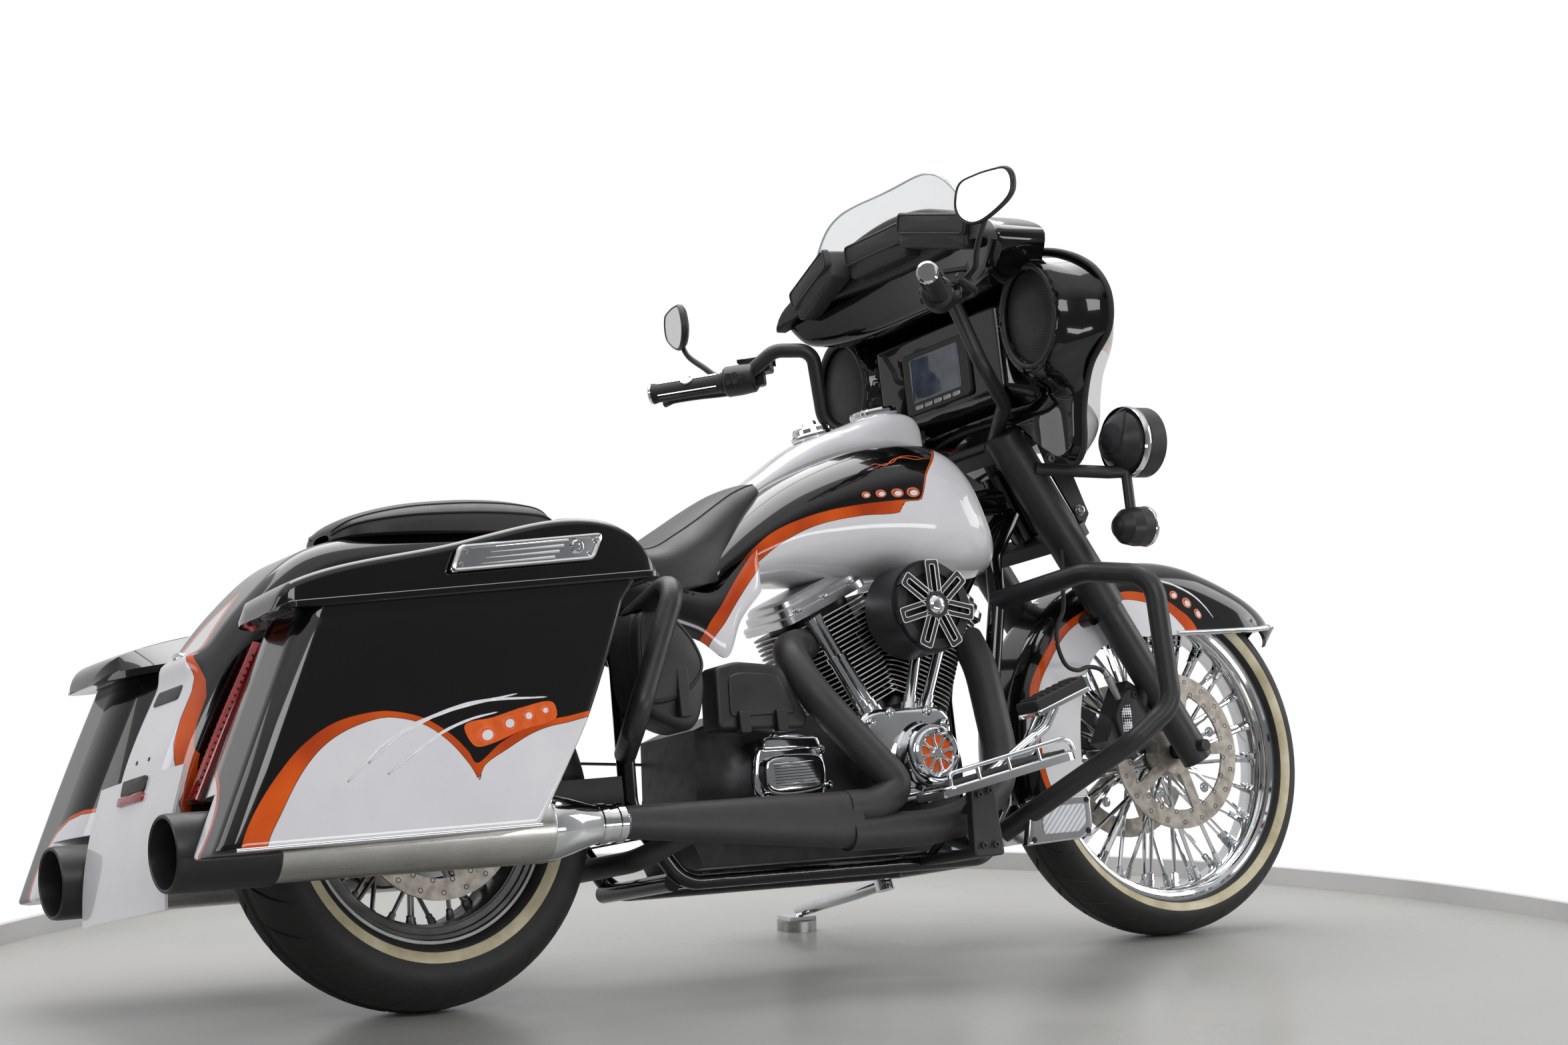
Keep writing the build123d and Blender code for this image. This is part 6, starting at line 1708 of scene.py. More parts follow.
housing = turned([(-30, 15), (-30, 24), (-26, 28), (0, 30), (28, 30), (32, 27), (32, 15)], GRIP_ROOT,
    GRIP_WAY, 32)
perch = grip_block(-16, 30, 2, (50, 26, 30), 7)
tank_box = grip_block(-24, 36, 26, (62, 40, 26), 6)
lid_box = grip_block(-24, 36, 41, (66, 44, 5), 6)
lever_line = smooth_path([on_grip(-18, 38, -4), on_grip(6, 62, -6), on_grip(50, 66, -8),
    on_grip(110, 56, -8), on_grip(160, 50, -10), on_grip(176, 56, -12)], 40)
lever = tube(lever_line, np.interp(np.linspace(0, 1, 40), [0, 0.1, 0.3, 0.9, 0.95, 1],
    [9, 8, 6.5, 5.5, 7, 7]), 12)
make_piece("bar_controls", twins(housing, perch, tank_box, lid_box, lever), "front_assembly", "satin_black",
    replaces=["hand_controls"], flat_angle=35)
buttons = [grip_block(a, -27, h, (11, 9, 9), 2.5) for a, h in ((6, 6), (19, 6), (6, -8), (19, -8), (-8, 0))]
make_piece("bar_buttons", twins(*buttons), "front_assembly", "plastic", flat_angle=35)
SCREW_HEAD = [(0, 3.4), (1.8, 3), (2.2, 0)]
cap_screws = [turned(SCREW_HEAD, on_grip(a, b, 43.5), ABOVE, 10) for a in (-50, 2) for b in (20, 52)]
make_piece("bar_screws", twins(*cap_screws), "front_assembly", "chrome")

# %% [markdown]
# ## Engine
# The V-twin is drawn in each cylinder's own frame: across the bike, along the bike and up the cylinder. One
# function tilts that frame into place. A fin is a flat ring with a bright machined edge, so the stack is one
# black shape with a thin band round each layer.

# %% Cylinders
CRANK_X, CRANK_Z, TILT = 957.0, 340.0, 22.5
BARREL_LOW, HEAD_LOW, HEAD_TOP = 135.0, 262.0, 330.0
LAYER_COUNT = 56


def on_cylinder(shape, tilt):
    """Local (across, along b, up l) to the bike: x = x0 + l sin t + b cos t, z = z0 + l cos t - b sin t."""
    points, faces = shape
    t = math.radians(tilt)
    a, b, l = points.T
    return xyz(CRANK_X + l * math.sin(t) + b * math.cos(t), a,
        CRANK_Z + l * math.cos(t) - b * math.sin(t)), faces


def square_ring(half_a, half_b, power):
    """Superellipse |a/A|^n + |b/B|^n = 1 as a ring of (a, b)."""
    t = full_turn(LAYER_COUNT)
    return xyz(half_a * np.sign(np.cos(t)) * np.abs(np.cos(t)) ** (2 / power),
        half_b * np.sign(np.sin(t)) * np.abs(np.sin(t)) ** (2 / power))


def layers(rows, power):
    """Stack of rings given as (half across, half along, height)."""
    grid = [np.concatenate([square_ring(max(a, 0.01), max(b, 0.01), power), np.full((LAYER_COUNT, 1), l)],
        1) for a, b, l in rows]
    return sheet(np.stack(grid), close_columns=True)


def fin_stack(tilt):
    """Fins and core of one cylinder, and the bright bands on the fins' edges."""
    core = layers([(62, 62, 100), (62, 62, HEAD_LOW), (66, 74, HEAD_LOW + 1), (66, 74, HEAD_TOP),
        (0, 0, HEAD_TOP)], 2.6)
    fins, bands = [core], []
    for l in np.arange(BARREL_LOW, HEAD_TOP - 10, 9.0):
        grown = 10.0 if l > HEAD_LOW else 0.0
        a, b = 78 + grown, 80 + grown * 1.4
        fins.append(layers([(50, 50, l), (a, b, l + 0.2), (a, b, l + 2.8), (50, 50, l + 3)], 4.2))
        bands.append(layers([(a + 0.3, b + 0.3, l + 0.5), (a + 0.3, b + 0.3, l + 2.7)], 4.2))
    return on_cylinder(merged(*fins), tilt), on_cylinder(merged(*bands), tilt)


stacks = [fin_stack(t) for t in (-TILT, TILT)]
make_piece("cylinder_fins", merged(*[s[0] for s in stacks]), "frame", "engine_black",
    replaces=["engine_cylinders"], flat_angle=30)
FIN_EDGE = finish("fin_edge", paint(226, 226, 224), 0.35, 0.4, shade=0.1, blur=0.1, bump=0.1)
make_piece("fin_edges", merged(*[s[1] for s in stacks]), "frame", "steel", FIN_EDGE, flat_angle=30)

# %% [markdown]
# The rocker boxes are stepped lids of polished alloy with a row of bolts, and four pushrod tubes run up to
# them from the cam case, each a telescoping tube with collars.

# %% Rocker boxes and pushrod tubes
ROCKER = [(78, 100, 330), (80, 102, 331), (80, 102, 344), (78, 100, 346), (72, 93, 346.5), (72, 93, 358),
    (70, 91, 361), (66, 87, 361.5), (65, 86, 370), (60, 80, 375), (0, 0, 376)]
rockers = [on_cylinder(layers(ROCKER, 7.0), t) for t in (-TILT, TILT)]
bolt = turned([(0, 7), (4, 7), (5, 6), (5, 3), (3, 2.4), (3, 0)], (0, 0, 0), (0, 0, 1), 12)
for t, a, b in itertools.product((-TILT, TILT), (-75, 75), (-66, 0, 66)):
    rockers.append(on_cylinder((bolt[0] + (a, b, 346), bolt[1]), t))
make_piece("rocker_boxes", merged(*rockers), "frame", "chrome", POLISHED, replaces=["valve_gear"],
    flat_angle=30)


def head_point(tilt, length, across):
    """Point up a tilted cylinder at an offset along the bike, in x and z."""
    t = math.radians(tilt)
    return (CRANK_X + length * math.sin(t) + across * math.cos(t),
        CRANK_Z + length * math.cos(t) - across * math.sin(t))


pushrods = []
for low_x, tilt, across, y in ((848, -TILT, -70, -128), (877, -TILT, -48, -116), (950, TILT, -54, -116),
        (976, TILT, 0, -128)):
    top_x, top_z = head_point(tilt, HEAD_TOP - 4, across)
    low, top = np.array([low_x, y, 440.0]), np.array([top_x, y + 24, top_z])
    run = np.array([0, 0.001, 0.06, 0.061, 0.13, 0.131, 0.55, 0.551, 0.6, 0.601, 0.94, 0.941, 1.0])
    wide = [16, 17, 17, 13, 13, 10.5, 10.5, 12.5, 12.5, 8, 8, 11, 11]
    pushrods.append(tube(low + (top - low) * run[:, None], wide, 18, reference=(0, 1, 0)))
make_piece("pushrod_tubes", merged(*pushrods), "frame", "chrome", flat_angle=25)

# %% [markdown]
# The cam cover is a polished casting with a round nose. A plain spoked ornament sits on the nose over an
# orange disc. Socket-head screws hold this cover and most that follow, so they get a helper.

# %% Cam cover
CAM_X, CAM_Z = CRANK_X - 10, 357.0
CAM_OUTLINE = [(816, 428), (850, 446), (1000, 446), (1022, 424), (1016, 330), (960, 284), (872, 276),
    (846, 300)]


def screw(x, y, z, size, way=(0, -1, 0)):
    """Socket-head screw: washer, round head with a bevel, and a dark socket."""
    return turned([(0, size + 2.5), (1, size + 2.5), (1.2, size), (size * 0.9, size), (size, size - 1),
        (size, size * 0.55), (size * 0.5, size * 0.5), (size * 0.5, 0)], (x, y, z), way, 14)


def screws(places, y, size=6.5):
    """Screws at places (x, z) that face away from the bike's middle on its right side."""
    return merged(*[screw(x, y, z, size) for x, z in places])


cam_plate = slab(corner_rounded(CAM_OUTLINE, 24, 7), -90, -150, 12, crown=3, rings=7)
cam_nose = turned([(-26, 84), (-14, 74), (0, 64), (6, 58), (28, 57), (34, 55), (37, 52), (38, 48), (38, 0)],
    (CAM_X, -150, CAM_Z), (0, -1, 0), 72)
cam_screws = screws([(840, 422), (885, 438), (966, 438), (1004, 414), (1002, 340), (862, 298), (950, 296)],
    -151)
make_piece("cam_cover_cast", merged(cam_plate, cam_nose, cam_screws), "frame", "chrome",
    replaces=["cam_cover"], flat_angle=30)
ORANGE_ENAMEL = finish("orange_enamel", PAINT_ORANGE, 0.25, shade=0.12, lumps=60, bump=0.03, Coat_Weight=0.8)
make_piece("badge_ground", turned([(0, 42), (2, 42), (2, 0)], (CAM_X, -188, CAM_Z), (0, -1, 0), 48),
    "frame", "chrome", ORANGE_ENAMEL)
badge_ring = turned([(0, 34), (0, 46), (6, 46), (8, 43), (8, 36), (6, 33.5), (0, 34)], (CAM_X, -187, CAM_Z),
    (0, -1, 0), 64)
badge_hub = turned([(0, 12), (6, 11), (8, 8), (8, 0)], (CAM_X, -187, CAM_Z), (0, -1, 0), 32)
arm_outline = np.array([(8, -4.2), (22, -2.2), (36, -5), (36, 5), (22, 2.2), (8, 4.2)])
arm = slab(arm_outline, -187, -194, 1, rings=3, fill=2)
arm = (arm[0] + (CAM_X, 0, CAM_Z), arm[1])
badge_arms = about_axle(arm, CAM_X, CAM_Z, np.arange(8) * np.pi / 4 + 0.2)
dot = turned([(7, 2.6), (9, 2.2), (9.6, 0)], (CAM_X + 40, -187, CAM_Z), (0, -1, 0), 10)
dots = about_axle(dot, CAM_X, CAM_Z, np.arange(8) * np.pi / 4 + 0.6)
make_piece("badge_wheel", merged(badge_ring, badge_hub, badge_arms, dots), "frame", "chrome", flat_angle=30)

# %% [markdown]
# The gearbox cover is a smooth plate under a ribbed oval. On the left the primary cover wraps the chain
# between crank and clutch. Its outline is a belt laid round two circles, and each circle carries a lid.

# %% Gearbox and primary covers
gear_cover = slab(smooth_path([(596, 300), (594, 350), (612, 398), (660, 412), (712, 408), (740, 384),
    (748, 330), (730, 288), (680, 274), (626, 276)], 64, closed=True), -90, -138, 12, crown=4, rings=6)
oval = smooth_path([(602, 336), (606, 362), (626, 371), (690, 373), (720, 368), (728, 342), (720, 314),
    (690, 306), (630, 304), (608, 312)], 60, closed=True)
oval_plate = slab(oval, -138, -163, 7, crown=2, rings=6)
ribs = [tube([(618, -164.6, z), (712, -164.6, z + 2)], 0.7, 6) for z in np.linspace(318, 358, 9)]
ledge = slab(corner_rounded([(608, 382), (612, 404), (726, 404), (732, 382)], 10, 5), -120, -150, 5, rings=4)
gear_screws = screws([(612, 300), (744, 318), (735, 380), (640, 405), (700, 285)], -139, 6)
make_piece("gearbox_cover", merged(gear_cover, oval_plate, ledge, *ribs, gear_screws), "frame", "chrome",
    flat_angle=30)


def hull_outline(circles, count=90):
    """Outline round circles (x, z, r): in each direction, the point of the one that reaches farthest."""
    a = full_turn(count)
    d = xyz(np.cos(a), np.sin(a))
    reach = np.stack([x * d[:, 0] + z * d[:, 1] + r for x, z, r in circles])
    best = reach.argmax(0)
    centre = np.array([(x, z) for x, z, r in circles])[best]
    radius = np.array([r for x, z, r in circles])[best]
    return centre + radius[:, None] * d


primary_line = hull_outline([(CRANK_X + 10, 345, 112), (640, 330, 100)])
primary = slab(primary_line, 92.5, 168, 18, crown=3, rings=8)
derby = turned([(0, 80), (8, 79), (14, 74), (17, 66), (18, 0)], (640, 168, 330), (0, 1, 0), 72)
stator = turned([(0, 66), (6, 65), (9, 60), (10, 0)], (CRANK_X + 10, 168, 345), (0, 1, 0), 60)
derby_screws = [screw(640 + 64 * math.cos(a), 182, 330 + 64 * math.sin(a), 5, (0, 1, 0))
    for a in np.arange(5) * 1.2566]
edge_screws = [screw(x, 168, z, 5.5, (0, 1, 0)) for x, z in inset(primary_line, 14)[::9]]
make_piece("primary_cover", merged(primary, derby, stator, *derby_screws, *edge_screws), "frame", "chrome",
    replaces=["drive_covers"], flat_angle=30)

# %% [markdown]
# ## Air cleaner
# The drum keeps its shape from the frame. Each of its seven slotted spokes gets a machined bright line
# round the spoke and another round the slot. A pleated filter shows between the spokes.

# %% Air cleaner lines
AIR_X, AIR_Z = CRANK_X - 3, 617.0
loops = []
for k in range(7):
    a = math.radians(360 / 7 * k + 12)
    for y0, y1, z0, z1, corner in ((13, 81, -13.5, 13.5, 5), (23, 73, -5.6, 5.6, 4)):
        ring = rounded_box(y0, y1, z0, z1, corner)
        x = AIR_X + ring[:, 0] * math.cos(a) + ring[:, 1] * math.sin(a)
        z = AIR_Z - ring[:, 0] * math.sin(a) + ring[:, 1] * math.cos(a)
        loops.append(ring_tube(at_y(xyz(x, z), -232.3), 0.9, 5, (0, 1, 0)))
make_piece("air_cleaner_lines", merged(*loops), "frame", "steel", FIN_EDGE)
boss = turned([(-2, 17), (2, 17), (5, 14), (7, 8), (7.5, 0)], (AIR_X, -232, AIR_Z), (0, -1, 0), 40)
make_piece("air_cleaner_boss", boss, "frame", "chrome")
pleats_a = full_turn(180)
pleats_r = 61 + 2.4 * np.sign(np.sin(pleats_a * 45))
pleat_x, pleat_z = pleats_r * np.cos(pleats_a), pleats_r * np.sin(pleats_a)
pleat_grid = np.stack([xyz(AIR_X + pleat_x * k, y, AIR_Z + pleat_z * k)
    for k, y in ((1, -213), (1, -218), (0.4, -218.5), (0, -218.5))])
make_piece("air_filter_pleats", sheet(pleat_grid, close_columns=True), "frame", "satin_black", MOULDED_BLACK)

# %% [markdown]
# ## Header pipes
# Each pipe leaves its cylinder head and sweeps down to a flat-sided collector, which narrows to the round
# muffler inlet. A crossover pipe runs behind the gearbox to the other muffler.

# %% Header pipes
def collector():
    """Plain blend of two rings: an upright slot, 100 by 58, at x 722 and a circle of radius 27 at x 262."""
    a = full_turn(48)
    slot = xyz(29 * np.cos(a), 29 * np.sin(a) + 21 * np.tanh(3 * np.sin(a)) + 247)
    pipe = xyz(27 * np.cos(a), 27 * np.sin(a) + MUFFLER_Z)
    rows = []
    for x, share, shrink in ((722, 0, 0), (722, 0, 0.9), (720, 0, 1), (560, 0.35, 1), (400, 0.7, 1),
            (262, 1, 1), (260, 1, 0)):
        ring = slot + (pipe - slot) * share
        ring = ring.mean(0) + (ring - ring.mean(0)) * shrink
        rows.append(at_x(ring - (MUFFLER_Y, 0), float(x)))
    return sheet(np.stack(rows), close_columns=True)


front_x, front_z = head_point(TILT, 290, 84)
rear_x, rear_z = head_point(-TILT, 290, -84)
front_pipe = tube(rounded_path([(front_x - 6, -62, front_z), (1128, -110, 520), (1100, -185, 300),
    (940, -238, 224), (700, -242, 224)], 95, 14), 31, 32, reference=(0, 1, 0))
rear_pipe = tube(rounded_path([(rear_x + 6, -66, rear_z), (676, -150, 556), (688, -206, 470),
    (826, -236, 300), (770, -242, 268), (700, -242, 268)], 46, 12), 30, 32, reference=(0, 1, 0))
cross_line = [(430, -238, 262), (335, -160, 210), (335, 160, 210), (318, 242, 262)]
cross_pipe = tube(rounded_path(cross_line, 45, 10), 19, 24)
left_inlet = tube([(262, MUFFLER_Y, MUFFLER_Z), (330, MUFFLER_Y, MUFFLER_Z)], 27, 24)
make_piece("header_pipes", merged(front_pipe, rear_pipe, collector(), cross_pipe, left_inlet), "frame",
    "pipe_black", replaces=["exhaust_headers"], flat_angle=50)

# %% [markdown]
# ## Floorboards and pedals
# A floorboard slopes up to the front, so it is drawn flat, along the board, across it and up from it, and
# then laid on its slope. It is a chromed tray with rubber strips and a bright rail along its outer side.

# %% Floorboards
BOARD = (812, 262, math.radians(10.6))
PEDAL = (1064, 401, math.atan2(39, 114))


def on_slope(shape, slope):
    """Shape (s, y, h) laid on a slope (x0, z0, a): x = x0 + s cos a - h sin a, z = z0 + s sin a + h cos a."""
    points, faces = shape
    s, y, h = points.T
    x0, z0, a = slope
    c, n = math.cos(a), math.sin(a)
    return xyz(x0 + s * c - h * n, y, z0 + s * n + h * c), faces


def flat_plate(outline, h0, h1, edge, crown=0.0):
    """Plate from an outline in (s, y) between two heights."""
    points, faces = slab(outline, h0, h1, edge, crown, rings=4, fill=3)
    return xyz(points[:, 0], points[:, 2], points[:, 1]), faces


tray = flat_plate(rounded_box(-2, 294, -401, -287, 26), 0, 17, 5)
strips = [flat_plate(rounded_box(18, 276, y, y + 13, 6), 15, 21, 2) for y in np.arange(-388, -304, 19.0)]
rail_path = rounded_path([(6, -398, 18), (10, -398, 38), (268, -398, 40), (282, -398, 30), (284, -398, 16)],
    10, 6)
rail = tube(rail_path, 4.2, 12)
posts = [turned([(0, 3.4), (24, 3.4)], (s, -398, 15), (0, 0, 1), 10) for s in (70, 138, 206)]
make_piece("floorboard_trays", twins(on_slope(merged(tray, rail, *posts), BOARD)), "frame", "chrome",
    replaces=["floorboards"], flat_angle=35)
make_piece("floorboard_rubbers", twins(on_slope(merged(*strips), BOARD)), "frame", "rubber")
foot = slab(rounded_box(925, 985, 163.5, 180.5, 5), -134.3, -302, 3)
upright = slab(corner_rounded([(922, 163.5), (930, 292), (981, 302), (988, 163.5)], 8), -285, -301, 3)
brace = tube([(936, -150, 180), (942, -240, 232), (948, -290, 276)], 7, 10)
bolts = screws([(942, 182), (968, 182), (944, 270), (966, 276)], -301, 6)
make_piece("floorboard_brackets", twins(foot, upright, brace, bolts), "frame", "satin_black")

# %% [markdown]
# The pedal in front of each board has the same build on a steeper slope, and a bent blade that carries it.

# %% Foot pedals
pad_rubber = flat_plate(rounded_box(-2, 124, -352, -288, 8), 4, 25, 5, 1)
ridges = [flat_plate(rounded_box(s, s + 9, -346, -294, 3), 24, 28, 1.5) for s in np.arange(8, 112, 16.0)]
pad_trim = flat_plate(rounded_box(118, 131, -354, -286, 6), -1, 27, 4)
pad_base = flat_plate(rounded_box(-4, 128, -354, -286, 9), -3, 6, 3)
make_piece("pedal_rubbers", twins(on_slope(merged(pad_rubber, *ridges), PEDAL)), "frame", "rubber")
blade = slab(corner_rounded([(1092, 408), (1124, 408), (1078, 338), (1040, 312), (1000, 304), (1004, 322),
    (1050, 348)], 8), -296, -306, 3, rings=3)
make_piece("pedal_trim", twins(on_slope(merged(pad_trim, pad_base), PEDAL), blade), "frame", "chrome",
    flat_angle=35)

# %% [markdown]
# ## Chin covers
# The chin cover is a bright frame round a woven insert. The weave is drawn by two sets of slanted waves.

# %% Chin cover
def woven(tree, place, inputs, height):
    """Twill: sin(k(x + z)) against sin(k(x - z)) gives light and dark slanted cells."""
    axes = add_node(tree, "SeparateXYZ", {"Vector": place}).outputs
    plus = maths(tree, "ADD", axes[0], axes[2])
    minus = maths(tree, "SUBTRACT", axes[0], axes[2])
    waves = []
    for line, turns in ((plus, 1500), (minus, 520)):
        angle = maths(tree, "MULTIPLY", line, float(turns))
        waves.append(maths(tree, "SINE", angle))
    cell = maths(tree, "ADD", waves[0], waves[1])
    inputs["Base Color"] = mixed(tree, spread(tree, cell, -1, 1), paint(140, 142, 146), paint(196, 198, 202))
    return inputs, cell


WOVEN_GREY = finish("woven_insert", paint(150, 152, 156), 0.35, 0.6, bump=0.3, depth=0.0004, pattern=woven)
chin_line = corner_rounded([(1122, 181), (1246, 186), (1274, 204), (1276, 264), (1138, 264)], 9)
chin_frame = slab(chin_line, -183, -198, 3, rings=4)
chin_insert = slab(corner_rounded([(1158, 198), (1240, 199), (1258, 212), (1260, 250), (1158, 248)], 7),
    -196, -200, 1.2)
make_piece("chin_frames", twins(chin_frame), "frame", "chrome", flat_angle=35)
make_piece("chin_inserts", twins(chin_insert), "frame", "brushed", WOVEN_GREY)
chin_bolts = screws([(1146, 256), (1266, 256), (1262, 200), (1136, 190)], -198, 3.4)
make_piece("chin_bolts", twins(chin_bolts), "frame", "satin_black")

# %% [markdown]
# ## Calipers, brake line and fork fittings
# A front caliper hides behind a cover with a mesh window. The brake line is a hose held at both ends, so it
# is one tube through measured points. Bolts and lamp rings finish the fork.

# %% Calipers and brake line
# The mesh holes on this cover are painted shade too, drawn by mesh_holes.
CALIPER_MESH = finish("caliper_mesh", paint(206, 207, 208), 0.4, 0.7, bump=0.8, depth=0.0006,
    pattern=mesh_holes)
caliper_side = slab(corner_rounded([(1448, 452), (1470, 470), (1520, 420), (1512, 372), (1484, 344),
    (1436, 366), (1424, 410)], 12), -104, -122, 6, 3)
mesh_plate = slab(corner_rounded([(1438, 430), (1462, 436), (1458, 376), (1436, 380)], 7), -120, -125, 1.5, 1)
caliper_bolts = screws([(1474, 452), (1506, 416), (1484, 358)], -121, 6)
make_piece("caliper_covers", twins(caliper_side, caliper_bolts), "front_assembly", "satin_black")
make_piece("caliper_meshes", twins(mesh_plate), "front_assembly", "brushed", CALIPER_MESH)
line_path = smooth_path([(1344, -128, 800), (1326, -142, 716), (1314, -148, 659), (1306, -150, 613),
    (1288, -150, 584), (1282, -150, 556), (1288, -150, 526), (1302, -148, 507), (1326, -146, 500),
    (1356, -140, 506), (1389, -132, 503), (1412, -126, 490)], 110)
make_piece("brake_line", tube(line_path, 4.2, 10), "front_assembly", "rubber")
fitting = tube([(1400, -130, 500), (1412, -126, 490), (1412.1, -126, 489.9), (1430, -118, 466),
    (1444, -112, 448)], [5.6, 5.6, 7.5, 7, 6], 12)
make_piece("brake_line_fitting", fitting, "front_assembly", "steel")

# %% Fork bracket bolts and lamp rings
fork_bolts = screws([(1330, 905), (1372, 884), (1388, 806)], -134, 8)
make_piece("fork_bracket_bolts", twins(fork_bolts), "front_assembly", "steel")
lamp_rings = [turned([(-8, 67), (0, 68.5), (6, 67.5), (8, 63), (4, 60)], (1440, -230, 917), (1, 0, 0), 56),
    turned([(-5, 37.6), (0, 38.6), (4, 37), (5, 33)], (1462, -230, 756), (1, 0, 0), 40)]
make_piece("lamp_rings", twins(*lamp_rings), "front_assembly", "chrome")

# %% [markdown]
# ## Side box and pouch
# The cover behind the engine is held by two clips. On the right a soft bag hangs behind it, with a flap, an
# edge seam and a strap. It is padded, so its body is a slab with a high crown.

# %% Side box and pouch
box_line = corner_rounded([(492, 417), (498, 524), (542, 533), (632, 524), (679, 430), (669, 412)], 14)
box_cover = slab(box_line, -150, -199, 8, 3)
box_panel = slab(corner_rounded([(516, 436), (520, 508), (546, 514), (622, 508), (652, 438)], 12), -196,
    -203, 4, 2)
clips = [slab(rounded_box(x, x + 22, 408, 446, 4), -196, -210, 3) for x in (530, 606)]
make_piece("side_box_cover", merged(box_cover, box_panel, *clips), "frame", "plastic",
    replaces=["electrics_box"], flat_angle=35)
bag_line = smooth_path([(372, 432), (334, 462), (322, 530), (334, 612), (372, 626), (404, 610), (440, 566),
    (462, 510), (448, 440), (423, 417)], 80, closed=True)
bag_body = slab(bag_line, -150, -226, 18, 14, rings=7)
flap_line = smooth_path([(328, 470), (324, 530), (336, 610), (372, 624), (402, 608), (438, 566), (452, 520),
    (420, 480), (370, 462)], 70, closed=True)
bag_flap = slab(flap_line, -218, -240, 7, 7, rings=5)
seam = ring_tube(at_y(inset(flap_line, 7), -240.5), 1.3, 6, (0, 1, 0), 2)
strap = slab(rounded_box(392, 414, 436, 520, 5), -232, -247, 3)
side_bag = make_piece("side_bag", merged(bag_body, bag_flap, seam, strap), "frame", "leather", VINYL,
    flat_angle=60)

# %% [markdown]
# ## Hand-painted details
# Rows of rings, tapered strokes and pinstripes lie on the paint. Each is drawn in side view and laid on the
# surface: for each point, the nearest grid point and the slope of the surface there give the height.

# %% Laying a line on a surface
def laid(grid, line, lift=0.0):
    """Side-view points (x, z) on the right face of a grid: y = yv - (nx dx + nz dz) / ny, less the lift."""
    line = np.asarray(line, float)
    du, dv = np.gradient(grid, axis=0), np.gradient(grid, axis=1)
    normal = unit(np.cross(du, dv)).reshape(-1, 3)
    points = grid.reshape(-1, 3)
    facing = (points[:, 1] < points[:, 1].min() * 0.6) & (np.abs(normal[:, 1]) > 0.25)
    points, normal = points[facing], normal[facing]
    far = (line[:, None, 0] - points[None, :, 0]) ** 2 + (line[:, None, 1] - points[None, :, 2]) ** 2
    k = far.argmin(1)
    dx, dz = line[:, 0] - points[k, 0], line[:, 1] - points[k, 2]
    y = points[k, 1] - (normal[k, 0] * dx + normal[k, 2] * dz) / normal[k, 1]
    return xyz(line[:, 0], y - lift, line[:, 1])


def painted_line(grid, line, half_width, proud=0.5):
    """Tube laid so that only a thin cap stands proud of the surface; its sides narrow with the half width."""
    half = np.broadcast_to(np.asarray(half_width, float), (len(line),))
    path = laid(grid, line)
    path[:, 1] += half - np.minimum(proud, half * 0.8)
    return tube(path, half, 10, reference=(0, 1, 0))


def ring_row(grid, marks):
    """Rings of (x, z, half width, half height, turn): a raised rim and a pale crescent inside it."""
    rims, crescents = [], []
    for x, z, a, b, turn in marks:
        t, c, s = np.linspace(0, 2 * np.pi, 37), math.cos(math.radians(turn)), math.sin(math.radians(turn))
        oval = lambda k, dx, dz: xyz(x + dx + k * (a * np.cos(t) * c - b * np.sin(t) * s),
            z + dz + k * (a * np.cos(t) * s + b * np.sin(t) * c))
        rims.append(painted_line(grid, oval(1, 0, 0), 1.5))
        rims.append(painted_line(grid, oval(0.8, 0, 0), 1.1))
        disc = np.stack([laid(grid, oval(k, a * 0.1, -b * 0.12), h)
            for k, h in ((0.68, -0.5), (0.64, 0.5), (0, 0.5))])
        crescents.append(sheet(disc[:, :-1], close_columns=True))
    return merged(*rims), merged(*crescents)


def tapered(points, widest, count=40):
    """Smooth stroke that swells as sin^0.7 of its length, with a slow ripple like a dry brush."""
    t = np.linspace(0, 1, count)
    ripple = 1 + 0.12 * np.sin(46 * t)
    return smooth_path(points, count), widest * (np.sin(np.pi * t) ** 0.7 + 0.04) * ripple

# %% [markdown]
# The same few marks return on tank, bag and front fender, so one table holds their places and one loop lays
# them. The strokes on the bag, the stroke on the fender and the tank's pinstripes follow one by one.

# %% Artwork pieces
ARTWORK = {
    "tank": (TANK, "frame",
        [(874, 828, 8, 5, 4), (905, 830, 10, 6, 2), (940, 831, 12, 7, 0), (974, 832, 13, 8, 0)]),
    "bag": (TUB, "frame",
        [(-82, 401, 15, 12, 20), (-42, 417, 12, 10, 16), (-8, 427, 9, 8, 12), (22, 434, 7, 6, 10)]),
    "front_fender": (FRONT, "front_assembly",
        [(1603, 656, 8, 5, -8), (1636, 647, 9, 7, -20), (1667, 631, 11, 8, -38), (1692, 609, 10, 6, -55)])}
WHITE_ENAMEL = finish("white_enamel", PAINT_WHITE, 0.25, shade=0.06, lumps=60, bump=0.03, Coat_Weight=0.8)
BLACK_ENAMEL = finish("black_enamel", PAINT_BLACK, 0.3, shade=0.1, lumps=60, bump=0.03, Coat_Weight=0.5)
for key, (grid, body, marks) in ARTWORK.items():
    rims, crescents = ring_row(grid, marks)
    make_piece(key + "_rings", twins(rims), body, "white_paint", ORANGE_ENAMEL)
    make_piece(key + "_ring_cores", twins(crescents), body, "white_paint", WHITE_ENAMEL)

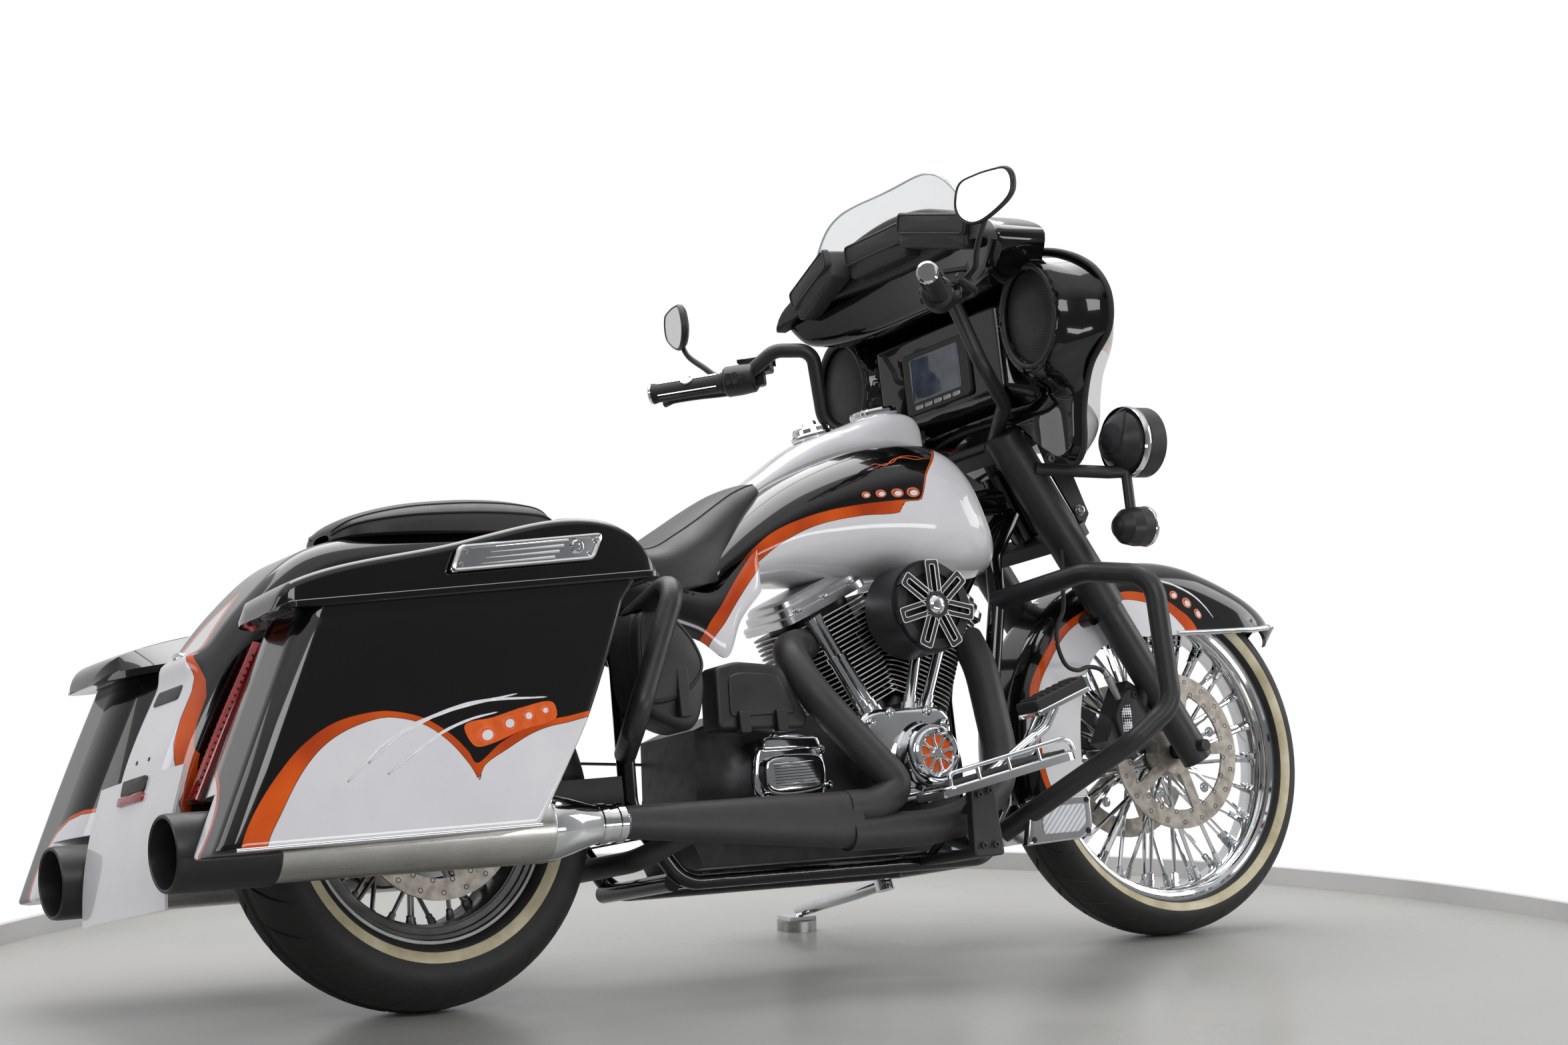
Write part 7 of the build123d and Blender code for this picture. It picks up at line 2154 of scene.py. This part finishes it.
bar_line = smooth_path([(-118, 416), (-104, 384), (-72, 387), (-20, 405), (40, 421), (36, 446), (-10, 441),
    (-70, 426)], 60, closed=True)
bar_middle = bar_line.mean(0)
bar_rows = np.stack([laid(TUB, bar_middle + (bar_line - bar_middle) * k, h)
    for k, h in ((1, -1), (1, 0.3), (0.75, 0.3), (0.5, 0.3), (0.25, 0.3), (0, 0.3))])
make_piece("bag_ring_bar", twins(sheet(bar_rows, close_columns=True)), "frame", "white_paint", ORANGE_ENAMEL)
strokes = [tapered([(-318, 340), (-242, 402), (-147, 438), (-23, 461)], 6.5),
    tapered([(-282, 366), (-215, 412), (-106, 449), (28, 454)], 5.5),
    tapered([(-252, 348), (-164, 403), (-110, 424), (-60, 434)], 5)]
white_strokes = twins(*[painted_line(TUB, line, wide, 0.7) for line, wide in strokes])
make_piece("bag_strokes", white_strokes, "frame", "white_paint", WHITE_ENAMEL)
dark_strokes = twins(*[painted_line(TUB, line, wide + 2.6, 0.35) for line, wide in strokes])
make_piece("bag_stroke_edges", dark_strokes, "frame", "black_paint", BLACK_ENAMEL)
sweep, sweep_width = tapered([(1573, 678), (1611, 674), (1646, 664), (1686, 645), (1713, 622), (1731, 600)],
    3.6, 60)
make_piece("front_fender_stroke", twins(painted_line(FRONT, sweep, sweep_width, 0.6)), "front_assembly",
    "white_paint", WHITE_ENAMEL)
upper_line = [(891, 880), (912, 888), (930, 884), (955, 897), (978, 900), (1000, 896), (1030, 899)]
lower_line = [(900, 876), (925, 886), (948, 890), (970, 902), (1000, 903), (1024, 896)]
pinstripes = [tapered(upper_line, 1.1, 80), tapered(lower_line, 0.9, 80)]
make_piece("tank_pinstripes", twins(*[painted_line(TANK, line, wide, 0.4) for line, wide in pinstripes]),
    "frame", "white_paint", ORANGE_ENAMEL)

# %% [markdown]
# ## Floor and room
# A round grey floor mirrors the tyres a little, and a thin pale skirting line runs round its edge. Both are
# stage pieces, so they aren't part of the bike.

# %% Floor
FLOOR_R, FLOOR_X, FLOOR_Y = 1620.0, 0.05, -0.3
CONCRETE = finish("studio_floor", paint(176, 175, 171), 0.3, shade=0.05, blur=0.16, lumps=1.4, fine=60,
    bump=0.03, Specular_IOR_Level=0.4)
SKIRTING = finish("skirting", paint(205, 204, 202), 0.6, lumps=3, bump=0.02)


def stage_disc(name, profile, material):
    """Turned profile round the bike's middle, marked as stage."""
    points, faces = turned(profile, (0, 0, 0), (0, 0, 1), 160)
    mesh = bpy.data.meshes.new(name)
    mesh.from_pydata(points / 1000 + (FLOOR_X, FLOOR_Y, 0), [], faces.tolist())
    bm = bmesh.new()
    bm.from_mesh(mesh)
    bmesh.ops.remove_doubles(bm, verts=bm.verts, dist=1e-5)
    bm.to_mesh(mesh)
    bm.free()
    mesh.materials.append(material)
    disc = bpy.data.objects.new(name, mesh)
    bpy.context.scene.collection.objects.link(disc)
    disc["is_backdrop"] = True


stage_disc("studio_floor", [(0, 0), (0, FLOOR_R)], CONCRETE)
stage_disc("skirting", [(0, FLOOR_R), (38, FLOOR_R), (40, FLOOR_R + 8)], SKIRTING)

# %% [markdown]
# ## Light of the room
# The world gives three answers. The camera, looking straight or through glass, sees plain white. Mirrors see
# a dimmer room, brighter beyond the bike and brightest overhead, so that black paint stays black. All other
# light is a soft, slightly blue grey.

# %% Room light
world = bpy.data.worlds.new("room")
bpy.context.scene.world = world
world.use_nodes = True
tree = world.node_tree
tree.nodes.clear()
path = add_node(tree, "LightPath").outputs
seen = maths(tree, "ADD", path["Is Camera Ray"], path["Is Glossy Ray"])
seen = maths(tree, "ADD", seen, path["Is Transmission Ray"], use_clamp=True)
soft = add_node(tree, "Background", {"Color": (0.92, 0.95, 1.0, 1), "Strength": 0.42}).outputs[0]
white = add_node(tree, "Background", {"Color": (1, 1, 1, 1), "Strength": 1.0}).outputs[0]
heading = (math.sin(math.radians(HEADING)), math.cos(math.radians(HEADING)), 0.0)
toward = add_node(tree, "TexCoord").outputs["Generated"]
facing = add_node(tree, "VectorMath", {0: toward, 1: heading}, operation="DOT_PRODUCT").outputs["Value"]
glow = spread(tree, facing, -0.45, 0.55, 0.17, 0.62)
above = add_node(tree, "SeparateXYZ", {"Vector": toward}).outputs["Z"]
glow = maths(tree, "MAXIMUM", glow, spread(tree, above, 0.4, 0.75, 0.0, 0.9))
mirror_room = add_node(tree, "Background", {"Color": (1, 1, 1, 1), "Strength": glow}).outputs[0]
glossy = add_node(tree, "MixShader", {0: path["Is Glossy Ray"], 1: white, 2: mirror_room}).outputs[0]
room = add_node(tree, "MixShader", {0: seen, 1: soft, 2: glossy}).outputs[0]
tree.links.new(room, tree.nodes.new("ShaderNodeOutputWorld").inputs["Surface"])

# %% [markdown]
# ## Sizes
# The box of the finished model is printed.

# %% Sizes and finish
low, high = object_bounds()
print("model box", [round(h - l, 3) for l, h in zip(low, high)])
